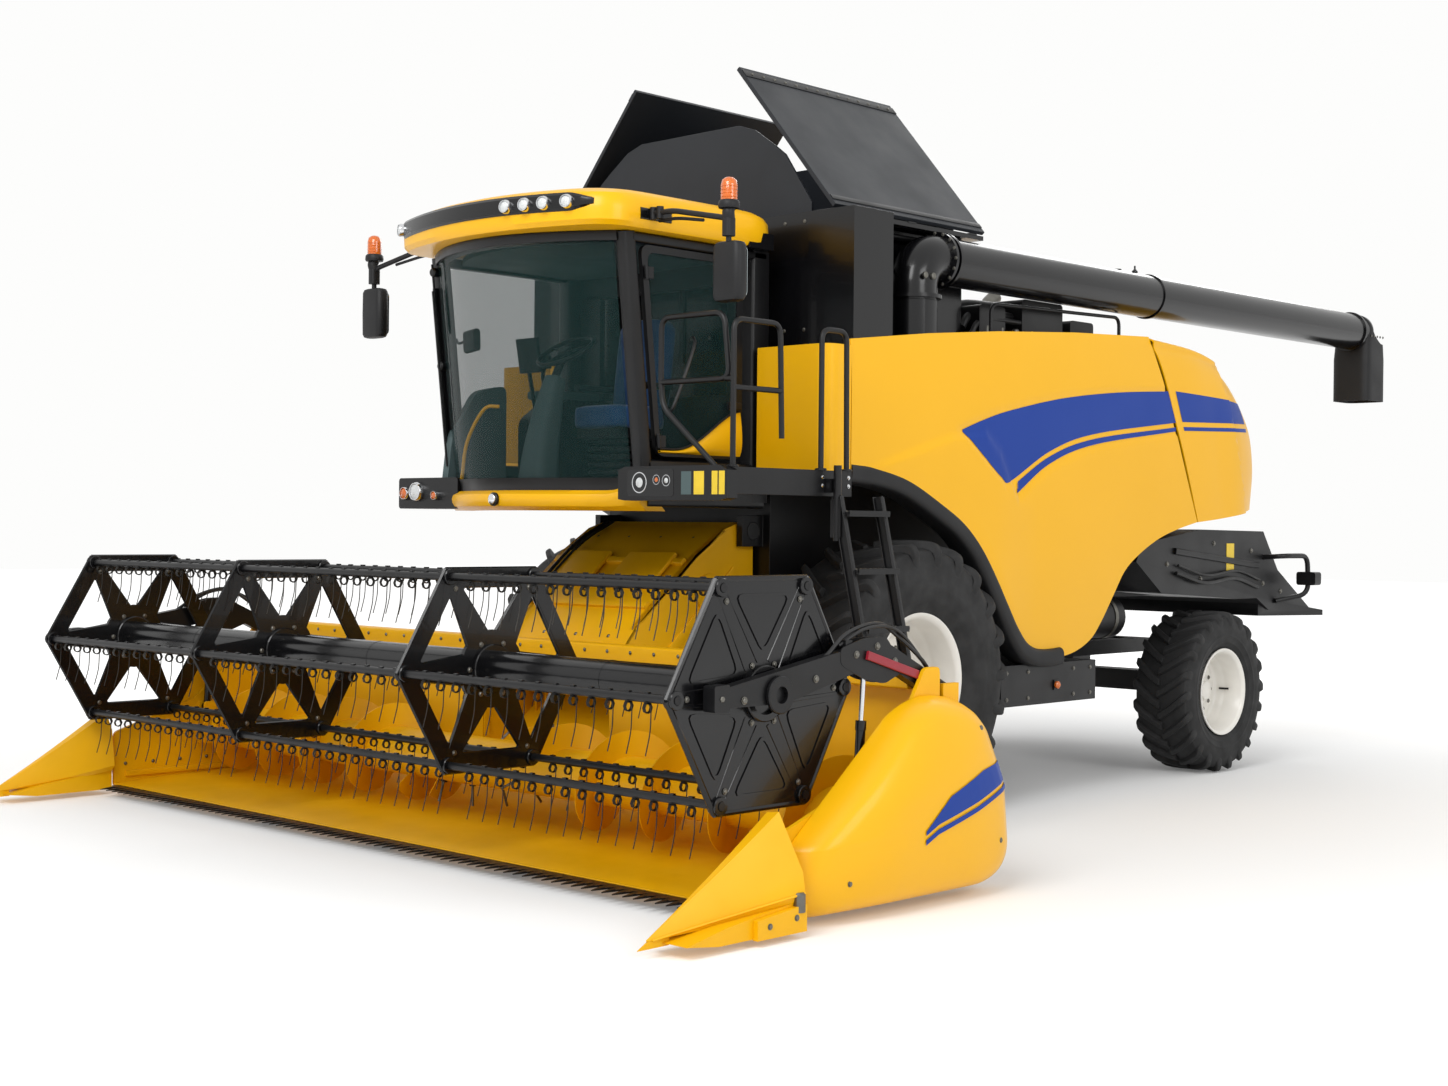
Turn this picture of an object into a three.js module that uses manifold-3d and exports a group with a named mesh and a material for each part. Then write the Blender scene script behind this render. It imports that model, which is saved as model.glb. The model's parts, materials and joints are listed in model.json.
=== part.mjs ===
// A self-propelled combine harvester with its grain header, in millimetres.
// While it is built, +Z is up, the machine drives towards -Y, its left side is +X, the ground is z = 0 and the
// front axle is at y = 0. The finished group is moved along Y so that the origin is under the middle of its box.
import * as THREE from "three";
import { ConvexGeometry } from "three/addons/geometries/ConvexGeometry.js";
import { mergeVertices } from "three/addons/utils/BufferGeometryUtils.js";
import Module from "manifold-3d";

const wasm = await Module();
wasm.setup();

// ---------------------------------------------------------------- driving dimensions

const touch = 0.3; // between two faces that bear on each other
const clear = 6; // between pieces that move past each other
const sheet = 45; // a body panel with its stiffening frame
const thin = 20; // a flap, lip or header sheet

const wheelbase = 3860;
const frontWheel = { radius: 910, width: 650, rimRadius: 440, beadRadius: 412, rimWidth: 520, track: 2600 };
const rearWheel = { radius: 632, width: 470, rimRadius: 335, beadRadius: 312, rimWidth: 430, track: 2630 };
const wheelSides = 24;

const body = { halfWidth: 1550, casingHalf: 760, casingTop: 2400, casingBottom: 1000 };
const tank = {
  front: -600,
  rear: 950,
  halfWidth: 1140,
  rimHalf: 1320,
  rim: 3860,
  wall: 30,
  floor: 2440,
  hopperTop: 3050,
};
const cover = { slant: 1290, lean: 49.4, plate: 30 };
const flap = { height: 625, topHalf: 460, gap: 10, foot: 54 };

const unloading = {
  x: 1330,
  y: 180,
  radius: 160,
  swivel: 3350,
  centre: 3640,
  bend: 180,
  end: 6720,
  mouth: 3030,
};

const cab = {
  halfWidth: 920,
  rear: -740,
  floor: 2000,
  top: 3600,
  pillarFoot: -1780,
  pillarTop: -1960,
  bulge: 360,
  doorRear: -970,
};
const roof = { overhang: 90, mid: 3730, top: 3875 };
const lampPanel = { bottom: 2020, thick: 90 };
const walkwayPlate = { inner: 935, outer: 1790, front: -1960, rear: -960, top: 2210, thick: 60 };

const feeder = { half: 640, pivot: [-640, 1850], front: -1740, rear: -560, shaft: 55, shaftEnd: 60 };
const headerHalf = 3065;
const header = {
  half: headerHalf,
  back: -1780,
  front: -3040,
  beamTop: 1170,
  beam: 120,
  floor: 70,
  knifeFront: -3215,
  shieldHalf: headerHalf + 295,
  dividerTip: -3950,
};
const auger = { y: -2200, z: 425, tube: 150, flight: 300, pitch: 520, fingers: 620 };
const reel = {
  y: -2966,
  z: 1089,
  radius: 584,
  tube: 100,
  bar: 22,
  plate: 30,
  margin: 55,
  plateX: [125 - headerHalf, -1114, 921, headerHalf - 125],
  barHalf: headerHalf - 93,
};
const reelArm = { pivot: [-1680, 1020], kink: [-2230, 1270], thick: 70, x: headerHalf - 80 };
const reelRam = { foot: [-2345, 560], eye: [-2310, 1160], barrel: 26, rod: 14, pin: 31 };
const liftRam = { x: 480, foot: [-215, 640], eye: [-1330, 575], barrel: 55, rod: 32, cross: 38, pin: 30 };

// ---------------------------------------------------------------- materials

function paint(color, roughness = 0.4, metalness = 0.1) {
  return new THREE.MeshStandardMaterial({ color, roughness, metalness });
}

const yellow = paint(0xf5b400, 0.3);
const black = paint(0x1b1b1d, 0.45, 0.2);
const graphite = paint(0x3a3d42, 0.5, 0.2);
const cream = paint(0xe6e3dc, 0.4);
const rubber = paint(0x18181a, 0.85, 0);
const chrome = paint(0xd0d2d4, 0.15, 1);
const fabric = paint(0x1c5f9c, 0.9, 0);
const glass = new THREE.MeshStandardMaterial({ color: 0x9fb8b8, roughness: 0.05, transparent: true, opacity: 0.4 });

// ---------------------------------------------------------------- shapes

// A closed three.js geometry as a manifold-3d solid.
function solid(geometry) {
  const bare = geometry.clone();
  bare.deleteAttribute("normal");
  bare.deleteAttribute("uv");
  const merged = mergeVertices(bare, 1e-3);
  const mesh = new wasm.Mesh({
    numProp: 3,
    vertProperties: merged.attributes.position.array,
    triVerts: new Uint32Array(merged.index.array),
  });
  return new wasm.Manifold(mesh);
}

function join(...pieces) {
  return pieces.flat().reduce((whole, piece) => whole.add(piece));
}

function cut(from, ...pieces) {
  return pieces.flat().reduce((whole, piece) => whole.subtract(piece), from);
}

function box(x0, x1, y0, y1, z0, z1) {
  const geometry = new THREE.BoxGeometry(x1 - x0, y1 - y0, z1 - z0);
  return solid(geometry.translate((x0 + x1) / 2, (y0 + y1) / 2, (z0 + z1) / 2));
}

// An outline is a list of points or a THREE.Shape.
function extruded(outline, depth) {
  const isShape = outline instanceof THREE.Shape;
  const shape = isShape ? outline : new THREE.Shape(outline.map(([a, b]) => new THREE.Vector2(a, b)));
  return new THREE.ExtrudeGeometry(shape, { depth, bevelEnabled: false, curveSegments: 6 });
}

// The outline's axes are Y and Z, and it runs from x0 to x1.
function alongX(outline, x0, x1) {
  const turn = new THREE.Matrix4().makeBasis(
    new THREE.Vector3(0, 1, 0),
    new THREE.Vector3(0, 0, 1),
    new THREE.Vector3(1, 0, 0),
  );
  return solid(extruded(outline, x1 - x0).applyMatrix4(turn).translate(x0, 0, 0));
}

// The outline's axes are X and Z, and it runs from y0 to y1.
function alongY(outline, y0, y1) {
  const geometry = extruded(outline, y1 - y0).rotateX(Math.PI / 2);
  return solid(geometry.translate(0, y1, 0));
}

function alongZ(outline, z0, z1) {
  return solid(extruded(outline, z1 - z0).translate(0, 0, z0));
}

function hull(points) {
  return solid(new ConvexGeometry(points.map((p) => new THREE.Vector3(...p))));
}

// A round bar from one point to another.
function rod(from, to, radius, sides = 12, endRadius = radius) {
  const start = new THREE.Vector3(...from);
  const run = new THREE.Vector3(...to).sub(start);
  const geometry = new THREE.CylinderGeometry(endRadius, radius, run.length(), sides);
  const turn = new THREE.Quaternion().setFromUnitVectors(new THREE.Vector3(0, 1, 0), run.clone().normalize());
  geometry.applyQuaternion(turn);
  return solid(geometry.translate(...start.addScaledVector(run, 0.5)));
}

// A rail: round bars from point to point, with a ball in each bend.
function rail(points, radius, sides = 6) {
  const bars = points.slice(1).map((p, i) => rod(points[i], p, radius, sides));
  const bends = points.slice(1, -1).map((p) => solid(new THREE.IcosahedronGeometry(radius * 1.15).translate(...p)));
  return join(bars, bends);
}

// A round section swept along a curve.
function swept(curve, radius, steps, sides = 16) {
  const section = new THREE.Shape();
  for (let i = 0; i < sides; i += 1) {
    const angle = (2 * Math.PI * i) / sides;
    const point = [radius * Math.cos(angle), radius * Math.sin(angle)];
    if (i === 0) section.moveTo(...point);
    else section.lineTo(...point);
  }
  return solid(new THREE.ExtrudeGeometry(section, { steps, extrudePath: curve }));
}

// A body turned about an axis along X through the point [y, z]. Its profile is [radius, x] points.
function turned(profile, y, z, sides = wheelSides) {
  const points = profile.map(([radius, along]) => new THREE.Vector2(radius, along));
  const geometry = new THREE.LatheGeometry(points, sides, Math.PI / sides).rotateZ(-Math.PI / 2);
  return solid(geometry.translate(0, y, z));
}

function regular(sides, radius, cy = 0, cz = 0, phase = 0) {
  return Array.from({ length: sides }, (_, i) => {
    const angle = phase + (2 * Math.PI * i) / sides;
    return [cy + radius * Math.cos(angle), cz + radius * Math.sin(angle)];
  });
}

function mirrorX(points) {
  return points.map(([x, other]) => [-x, other]).reverse();
}

// ---------------------------------------------------------------- scene graph

const machine = new THREE.Group();

function group(parent = machine) {
  const made = new THREE.Group();
  parent.add(made);
  return made;
}

function piece(parent, name, manifold, material) {
  const mesh = manifold.getMesh();
  const geometry = new THREE.BufferGeometry();
  geometry.setAttribute("position", new THREE.BufferAttribute(Float32Array.from(mesh.vertProperties), 3));
  geometry.setIndex(new THREE.BufferAttribute(Uint32Array.from(mesh.triVerts), 1));
  geometry.computeVertexNormals();
  const made = new THREE.Mesh(geometry, material);
  made.name = name;
  parent.add(made);
  return made;
}

// A left-hand piece and its mirror image on the right.
function pair(parent, name, manifold, material) {
  piece(parent, `left_${name}`, manifold, material);
  piece(parent, `right_${name}`, manifold, material).scale.x = -1;
}

// ---------------------------------------------------------------- wheels and axles

function hubHeight(wheel) {
  return wheel.radius * Math.cos(Math.PI / wheelSides);
}

function dish(wheel) {
  return { inner: wheel.track / 2 - 40, outer: wheel.track / 2 - 10 };
}

function rimSolid(wheel, y) {
  const centre = wheel.track / 2;
  const half = wheel.rimWidth / 2;
  const lip = 12;
  const wall = 14;
  const inner = wheel.beadRadius - wall;
  const web = dish(wheel);
  const profile = [
    [0, web.inner],
    [inner, web.inner],
    [inner, centre - half],
    [wheel.rimRadius, centre - half],
    [wheel.rimRadius, centre - half + lip],
    [wheel.beadRadius, centre - half + 2 * lip],
    [wheel.beadRadius, centre + half - 2 * lip],
    [wheel.rimRadius, centre + half - lip],
    [wheel.rimRadius, centre + half],
    [inner, centre + half],
    [inner, web.outer],
    [0, web.outer],
  ];
  return turned(profile, y, hubHeight(wheel));
}

function tyreSolid(wheel, y) {
  const centre = wheel.track / 2;
  const bead = wheel.rimWidth / 2 - 26;
  const half = wheel.width / 2;
  const shoulder = wheel.radius - 45;
  const side = [
    [wheel.beadRadius + touch, bead],
    [wheel.rimRadius + 8, bead],
    [wheel.rimRadius + 50, half - 12],
    [(wheel.rimRadius + wheel.radius) / 2, half],
    [shoulder, half - 15],
    [wheel.radius, half - 60],
  ];
  const profile = [
    ...side.map(([r, x]) => [r, centre - x]),
    ...side.toReversed().map(([r, x]) => [r, centre + x]),
    [wheel.beadRadius + touch, centre - bead],
  ];
  return turned(profile, y, hubHeight(wheel));
}

function wheels() {
  const rolling = group();
  pair(rolling, "front_rim", rimSolid(frontWheel, 0), cream);
  pair(rolling, "front_tyre", tyreSolid(frontWheel, 0), rubber);
  pair(rolling, "rear_rim", rimSolid(rearWheel, wheelbase), cream);
  pair(rolling, "rear_tyre", tyreSolid(rearWheel, wheelbase), rubber);
}

const frameRail = { inner: 560, outer: 680, depth: 110 };
const gearboxRear = 190;
const kingpin = { x: 1010, arm: 130 };

function frontAxle() {
  const z = hubHeight(frontWheel);
  const hubEnd = dish(frontWheel).inner - touch;
  const sides = [1, -1].map((s) => [
    rod([s * (body.casingHalf + clear), 0, z], [s * 960, 0, z], 250, 16),
    rod([s * 950, 0, z], [s * hubEnd, 0, z], 130, 16),
    liftBracket(s, z),
  ]);
  const gearbox = box(-190, 190, -150, gearboxRear, z - 200, z + 60);
  const tube = rod([-800, 0, z - 20], [800, 0, z - 20], 105, 12);
  return join(tube, gearbox, ...sides.flat());
}

// The lug under the axle that carries the lift rams' cross tube.
function liftBracket(s, z) {
  const [fy, fz] = liftRam.foot;
  const across = [s * 300, s * 380];
  const lug = box(Math.min(...across), Math.max(...across), fy - 55, -60, fz - 55, z);
  return cut(lug, rod([across[0], fy, fz], [across[1], fy, fz], liftRam.cross + 0.9, 24));
}

function rearAxle() {
  const z = hubHeight(rearWheel);
  const beam = box(-(kingpin.x - 75), kingpin.x - 75, wheelbase - 90, wheelbase + 90, z - 30, z + 130);
  const forks = [1, -1].map((s) => {
    const inner = Math.min(s * (kingpin.x - 80), s * (kingpin.x + 55));
    const outer = Math.max(s * (kingpin.x - 80), s * (kingpin.x + 55));
    return join(
      box(inner, outer, wheelbase - 70, wheelbase + 70, z + kingpin.arm + touch, z + kingpin.arm + 45),
      box(inner, outer, wheelbase - 70, wheelbase + 70, z - kingpin.arm - 45, z - kingpin.arm - touch),
      box(s > 0 ? inner : outer - 20, s > 0 ? inner + 20 : outer, wheelbase - 70, wheelbase + 70, z - 170, z + 170),
    );
  });
  const saddleTop = body.casingBottom - frameRail.depth - 2 * touch;
  const saddle = box(-220, 220, wheelbase - 130, wheelbase + 130, z + 100, saddleTop);
  const steeringRam = rod([-430, wheelbase + 150, z + 20], [430, wheelbase + 150, z + 20], 45, 12);
  const ramBracket = box(-60, 60, wheelbase + 60, wheelbase + 140, z - 20, z + 60);
  return join(beam, ...forks, saddle, steeringRam, ramBracket);
}

// The steered post of a rear wheel, with its spindle.
function knuckle() {
  const z = hubHeight(rearWheel);
  const post = box(
    kingpin.x - 36,
    kingpin.x + 36,
    wheelbase - 40,
    wheelbase + 40,
    z - kingpin.arm,
    z + kingpin.arm,
  );
  const spindle = rod([kingpin.x, wheelbase, z], [dish(rearWheel).inner - touch, wheelbase, z], 75, 16);
  const steeringArm = box(kingpin.x + 2, kingpin.x + 34, wheelbase + 30, wheelbase + 190, z - 25, z + 25);
  return join(post, spindle, steeringArm);
}

// ---------------------------------------------------------------- frame, casing and engine

function chassisFrame() {
  const top = body.casingBottom - touch;
  const rails = [1, -1].map((s) =>
    box(Math.min(s * frameRail.inner, s * frameRail.outer), Math.max(s * frameRail.inner, s * frameRail.outer),
      250, wheelbase + 300, top - frameRail.depth, top));
  const crossings = [250, 1300, 2300, 3000, wheelbase - 130, wheelbase + 180].map((y) =>
    box(-frameRail.outer, frameRail.outer, y, y + 120, top - frameRail.depth, top));
  const axleSeat = box(-400, 400, gearboxRear + touch, 300, 760, top - 5);
  const sideBoxes = [1, -1].map((s) =>
    box(Math.min(s * frameRail.inner, s * 1480), Math.max(s * frameRail.inner, s * 1480), 985, 2130, 670, 950));
  return join(rails, crossings, axleSeat, sideBoxes);
}

const rearCasing = { bottom: 1350, start: 2350, full: 2900, end: 4250 };

function thresherCasing() {
  const outline = [
    [-550, body.casingBottom],
    [rearCasing.start, body.casingBottom],
    [rearCasing.full, rearCasing.bottom],
    [rearCasing.end, rearCasing.bottom],
    [rearCasing.end, body.casingTop],
    [-550, body.casingTop],
  ];
  const [py, pz] = feeder.pivot;
  const bearings = [1, -1].map((s) => {
    const across = [s * (feeder.half + clear), s * (feeder.half + feeder.shaftEnd)];
    return box(Math.min(...across), Math.max(...across), py - 100, -545, pz - 100, pz + 100);
  });
  const bore = rod([-body.casingHalf, py, pz], [body.casingHalf, py, pz], feeder.shaft + 0.9, 24);
  return join(alongX(outline, -body.casingHalf, body.casingHalf), cut(join(bearings), bore));
}

const engine = { front: 1250, rear: 2620, half: 700, top: 3200 };

function engineBlock() {
  const bottom = body.casingTop + touch;
  const block = box(-engine.half, engine.half, engine.front, engine.rear, bottom, engine.top);
  const radiator = box(-1400, -engine.half + 5, engine.front + 100, engine.rear - 80, 2470, engine.top + 40);
  const pump = box(engine.half - 5, 1280, engine.front + 60, engine.rear - 150, 2560, 3080);
  const hood = box(-520, 640, engine.front + 80, engine.rear - 60, engine.top - 5, engine.top + 150);
  const airFilter = rod([760, engine.front + 160, 3190], [760, engine.rear - 260, 3190], 165, 14);
  const exhaust = rail([[-620, 2380, 3150], [-620, 2380, 3560], [-620, 2540, 3680]], 62, 10);
  return join(block, radiator, pump, hood, airFilter, exhaust);
}

// ---------------------------------------------------------------- body panels

const panelTop = [
  [-680, 3030],
  [880, 3200],
  [2760, 3310],
];
const seamGap = 15; // behind the lifting side panel
const panelSeam = [
  [3130, 2560],
  [3400, 1945],
];

// The lower edge: over the front wheel, down behind it and up again over the rear wheel.
function sidePanel() {
  const shape = new THREE.Shape();
  shape.moveTo(-680, 2205);
  shape.bezierCurveTo(40, 2150, 560, 1950, 900, 1450);
  shape.lineTo(1160, 1130);
  shape.quadraticCurveTo(1280, 975, 1500, 980);
  shape.quadraticCurveTo(1960, 985, 2110, 1190);
  shape.bezierCurveTo(2330, 1500, 2480, 1860, ...panelSeam[1]);
  shape.lineTo(...panelSeam[0]);
  shape.lineTo(...panelTop[2]);
  shape.lineTo(...panelTop[1]);
  shape.lineTo(...panelTop[0]);
  return alongX(shape, body.halfWidth - sheet, body.halfWidth);
}

const quarter = { front: -900, inner: 960, bottom: 2215, top: 2990 };

// The panel beside the cab: it faces forward and wraps round to meet the side panel.
function frontPanel() {
  const outer = body.halfWidth;
  const inner = body.halfWidth - sheet;
  const radius = 90;
  const shape = new THREE.Shape();
  shape.moveTo(quarter.inner, tank.front - touch);
  shape.lineTo(quarter.inner, quarter.front);
  shape.lineTo(outer - radius, quarter.front);
  shape.quadraticCurveTo(outer, quarter.front, outer, quarter.front + radius);
  shape.lineTo(outer, panelTop[0][0] - clear);
  shape.lineTo(inner, panelTop[0][0] - clear);
  shape.lineTo(inner, quarter.front + sheet);
  shape.lineTo(quarter.inner + sheet, quarter.front + sheet);
  shape.lineTo(quarter.inner + sheet, tank.front - touch);
  return alongZ(shape, quarter.bottom, quarter.top);
}

function rearHood() {
  const outline = new THREE.Shape();
  const [midSeam, lowSeam] = panelSeam;
  outline.moveTo(lowSeam[0] + seamGap, lowSeam[1]);
  outline.lineTo(4050, 2010);
  outline.lineTo(4760, 2090);
  outline.quadraticCurveTo(4850, 2110, 4850, 2300);
  outline.lineTo(4840, 2650);
  outline.quadraticCurveTo(4780, 3200, 4100, 3285);
  outline.lineTo(panelTop[2][0] + seamGap, panelTop[2][1]);
  outline.lineTo(midSeam[0] + seamGap, midSeam[1]);
  const plan = new THREE.Shape();
  plan.moveTo(2600, -body.halfWidth);
  plan.lineTo(4070, -body.halfWidth);
  plan.bezierCurveTo(4600, -body.halfWidth + 60, 4850, -1150, 4850, -900);
  plan.lineTo(4850, 900);
  plan.bezierCurveTo(4850, 1150, 4600, body.halfWidth - 60, 4070, body.halfWidth);
  plan.lineTo(2600, body.halfWidth);
  const planSolid = (inset) => {
    const scale = new THREE.Matrix4().makeBasis(
      new THREE.Vector3(0, 1, 0),
      new THREE.Vector3(1, 0, 0),
      new THREE.Vector3(0, 0, -1),
    );
    const geometry = extruded(plan, 3000).applyMatrix4(scale);
    geometry.scale((body.halfWidth - inset) / body.halfWidth, 1, 1);
    return solid(geometry.translate(0, -inset, 4000));
  };
  const outer = alongX(outline, -body.halfWidth, body.halfWidth).intersect(planSolid(0));
  const room = alongX(
    [
      [2000, 1500],
      [4640, 1500],
      [4790, 2200],
      [4780, 2620],
      [4640, 2960],
      [4080, 3235],
      [2000, 3275],
    ],
    -body.halfWidth,
    body.halfWidth,
  ).intersect(planSolid(sheet));
  const shell = cut(outer, room);
  const ribs = [1, -1].map((s) =>
    box(Math.min(s * 640, s * 690), Math.max(s * 640, s * 690), 3150, 4200, body.casingTop + touch, 3262));
  return join(shell, ribs);
}

// Its wings clear the rear tyres, and its spreader floor starts behind them.
function strawChopper() {
  const wing = 2 * rearWheel.radius + 66;
  const back = wheelbase + 1880;
  const outline = [
    [2960, Math.min(wing + 310, 1700)],
    [3320, wing + 70],
    [back - 1290, wing],
    [back - 940, wing],
    [back - 740, 1230],
    [back - 40, 1170],
    [back, 1215],
    [back - 590, 1560],
    [back - 840, 1880],
    [3900, 1890],
    [3050, 1780],
  ];
  const sides = alongX(outline, -1290, 1290);
  const tail = hull([
    ...[1180, 1330].map((z) => [[-1250, back - 840, z], [1250, back - 840, z]]).flat(),
    [-1400, back, 1170],
    [1400, back, 1170],
    [-1400, back, 1215],
    [1400, back, 1215],
  ]);
  const casing = box(-body.casingHalf - touch, body.casingHalf + touch, 2000, rearCasing.end + touch, 1000, 2500);
  return cut(join(sides, tail), casing);
}

// ---------------------------------------------------------------- grain tank and unloading tube

const hingeLug = 5.5;

// The end flaps stand just inside the tank's end walls and fold down into the tank.
const flapFront = tank.front + tank.wall + flap.gap;
const flapRear = tank.rear - tank.wall - flap.gap - thin;

function tankOutline(inset) {
  return [
    [-tank.halfWidth + inset, tank.rim + (inset ? 100 : 0)],
    [-tank.halfWidth + inset, tank.hopperTop],
    [-740 + inset, tank.floor + inset],
    [740 - inset, tank.floor + inset],
    [tank.halfWidth - inset, tank.hopperTop],
    [tank.halfWidth - inset, tank.rim + (inset ? 100 : 0)],
  ];
}

function grainTank() {
  const walls = cut(
    alongY(tankOutline(0), tank.front, tank.rear),
    alongY(tankOutline(tank.wall), tank.front + tank.wall, tank.rear - tank.wall),
  );
  const foot = box(-700, 700, tank.front + 20, tank.rear - 20, body.casingTop + touch, tank.floor + 5);
  const ledge = cut(
    box(-tank.rimHalf, tank.rimHalf, tank.front, tank.rear, tank.rim - 30, tank.rim),
    box(-tank.halfWidth + 20, tank.halfWidth - 20, tank.front + 20, tank.rear - 20, tank.rim - 80, tank.rim + 80),
  );
  const lugs = [];
  for (const y of [-520, 135, 790]) {
    for (const s of [1, -1]) {
      const edge = s * (tank.rimHalf - 10);
      lugs.push(box(edge - 15, edge + 15, y, y + 80, tank.rim - 5, tank.rim + hingeLug));
    }
  }
  const flapLug = { bottom: tank.rim - flap.foot - 16, top: tank.rim - flap.foot + 24 };
  for (const x of [-700, -40, 620]) {
    for (const [y0, y1] of [
      [tank.front + tank.wall - 5, flapFront - touch],
      [flapRear + thin + touch, tank.rear - tank.wall + 5],
    ]) {
      lugs.push(box(x, x + 80, y0, y1, flapLug.bottom, flapLug.top));
    }
  }
  const towers = [1, -1].map((s) => {
    const outer = s * (body.halfWidth - sheet - touch);
    const inner = s * (tank.halfWidth - 10);
    return box(Math.min(inner, outer), Math.max(inner, outer), tank.front - 20, -240, 2900, tank.rim - 5);
  });
  const shelf = box(tank.halfWidth - 10, 1480, 0, 420, 2960, 3060);
  const { x: postX, y: postY, swivel } = unloading;
  const riser = rod([postX, postY, 3000], [postX, postY, swivel], unloading.radius, 16);
  const panelRests = [1, -1].map((s) => {
    const outer = s * (body.halfWidth - sheet - touch);
    const inner = s * (tank.halfWidth - 10);
    return box(Math.min(inner, outer), Math.max(inner, outer), 820, 900, 2950, 3080);
  });
  return join(walls, foot, ledge, lugs, towers, shelf, riser, panelRests);
}

// The cover leans inward over the tank. Its hinge is at its lower, inner edge.
const coverHinge = { x: tank.rimHalf - 10, z: tank.rim + 6 };

function tankCover() {
  const lean = THREE.MathUtils.degToRad(cover.lean);
  const along = [-Math.cos(lean), Math.sin(lean)];
  const out = [Math.sin(lean), Math.cos(lean)];
  const corner = (t, s) => [coverHinge.x + t * along[0] + s * out[0], coverHinge.z + t * along[1] + s * out[1]];
  const outline = [corner(0, 0), corner(0, cover.plate), corner(cover.slant, cover.plate), corner(cover.slant, 0)];
  return alongY(outline.toReversed(), tank.front, tank.rear);
}

// The end flap fills the gap between the two leaning covers.
function tankFlap(y0) {
  const z = coverHinge.z;
  const footHalf = tank.halfWidth - tank.wall - flap.gap;
  const right = [
    [footHalf, tank.rim - flap.foot],
    [footHalf, z + 60],
    [870, z + 390],
    [770, z + 465],
    [600, z + 580],
    [flap.topHalf, z + flap.height],
  ];
  return alongY([...right, ...mirrorX(right)], y0, y0 + thin);
}

function unloadingTube() {
  const { x, y, radius, centre, bend, swivel, end, mouth } = unloading;
  const start = centre - bend;
  const riser = rod([x, y, swivel + touch], [x, y, start + 5], radius, 16);
  const arc = new THREE.QuadraticBezierCurve3(
    new THREE.Vector3(x, y, start),
    new THREE.Vector3(x, y, centre),
    new THREE.Vector3(x, y + bend + 60, centre),
  );
  const elbow = swept(arc, radius - 1, 6);
  const collar = rod([x, y + bend + 50, centre], [x, y + bend + 110, centre], radius + 15, 16);
  const tube = rod([x, y + bend, centre], [x, end - 40, centre], radius, 16);
  const cap = hull([
    ...regular(12, radius).map(([a, b]) => [x + a, end - 430, centre + b]),
    ...regular(12, radius).map(([a, b]) => [x + a, end - 10, centre + b]),
    ...[-1, 1].flatMap((s) => [
      [x + s * 168, end - 390, mouth],
      [x + s * 168, end - 30, mouth],
      [x + s * 178, end - 400, centre - 60],
      [x + s * 178, end, centre - 60],
    ]),
  ]);
  const bore = hull(
    [-1, 1].flatMap((s) => [
      [x + s * 140, end - 360, mouth - 20],
      [x + s * 140, end - 60, mouth - 20],
      [x + s * 140, end - 360, centre - 220],
      [x + s * 140, end - 60, centre - 220],
    ]),
  );
  return cut(join(riser, elbow, collar, tube, cap), bore);
}

// ---------------------------------------------------------------- cab

// The cab's plan at its foot or its top, as points at height z: straight sides and a bowed front.
function cabRing(inset, share, z) {
  const half = cab.halfWidth - inset;
  const pillar = cab.pillarFoot + (cab.pillarTop - cab.pillarFoot) * share + inset * 0.4;
  const bulge = cab.bulge;
  const steps = 8;
  const bow = Array.from({ length: steps + 1 }, (_, i) => {
    const across = 1 - (2 * i) / steps;
    return [half * across, pillar - (bulge - inset * 0.6) * (1 - across * across), z];
  });
  return [[half, cab.rear - inset, z], ...bow, [-half, cab.rear - inset, z]];
}

function cabBody(inset, z0, z1) {
  const share = (z) => (z - cab.floor) / (cab.top - cab.floor);
  return hull([...cabRing(inset, share(z0), z0), ...cabRing(inset, share(z1), z1)]);
}

// The line of the front pillar, y at height z, moved back by gap.
function pillarY(z, gap = 0) {
  return cab.pillarFoot + ((cab.pillarTop - cab.pillarFoot) * (z - cab.floor)) / (cab.top - cab.floor) + gap;
}

// The leaning door drops as it opens, so its sill stands well above the walkway.
const doorSill = 70;

// A side opening, from the front pillar back to the rear post, as Y and Z points.
function sideOpening(gap) {
  const low = walkwayPlate.top + doorSill + gap;
  const high = 3550 - 2 * gap;
  return [
    [pillarY(low, 90 + gap), low],
    [cab.doorRear - gap, low],
    [cab.doorRear - gap, high],
    [pillarY(high, 90 + gap), high],
  ];
}

// The front opening reaches from pillar to pillar and from the sill to the roof rail.
function frontOpening(gap) {
  const half = cab.halfWidth - 85 - gap;
  return box(-half, half, -3000, -1500, 2150 + gap, 3545 - gap);
}

const doorHinge = {
  x: cab.halfWidth + 13,
  back: 90 + clear + 10,
  radius: 12.5,
  half: 40,
  heights: [2380, 3370],
};

function steeringColumn() {
  const stand = hull([
    [-130, -1960, cab.floor + 60],
    [130, -1960, cab.floor + 60],
    [-130, -1740, cab.floor + 60],
    [130, -1740, cab.floor + 60],
    [-70, -1790, 2800],
    [70, -1790, 2800],
    [-70, -1690, 2830],
    [70, -1690, 2830],
  ]);
  const shaft = rod([0, -1745, 2780], [0, -1632, 2972], 32, 10);
  const wheel = new THREE.TorusGeometry(185, 16, 6, 16).rotateX(-0.55).translate(0, -1632, 2972);
  const spoke = new THREE.BoxGeometry(366, 40, 14).rotateX(-0.55).translate(0, -1632, 2972);
  return join(stand, shaft, solid(wheel), solid(spoke));
}

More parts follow.
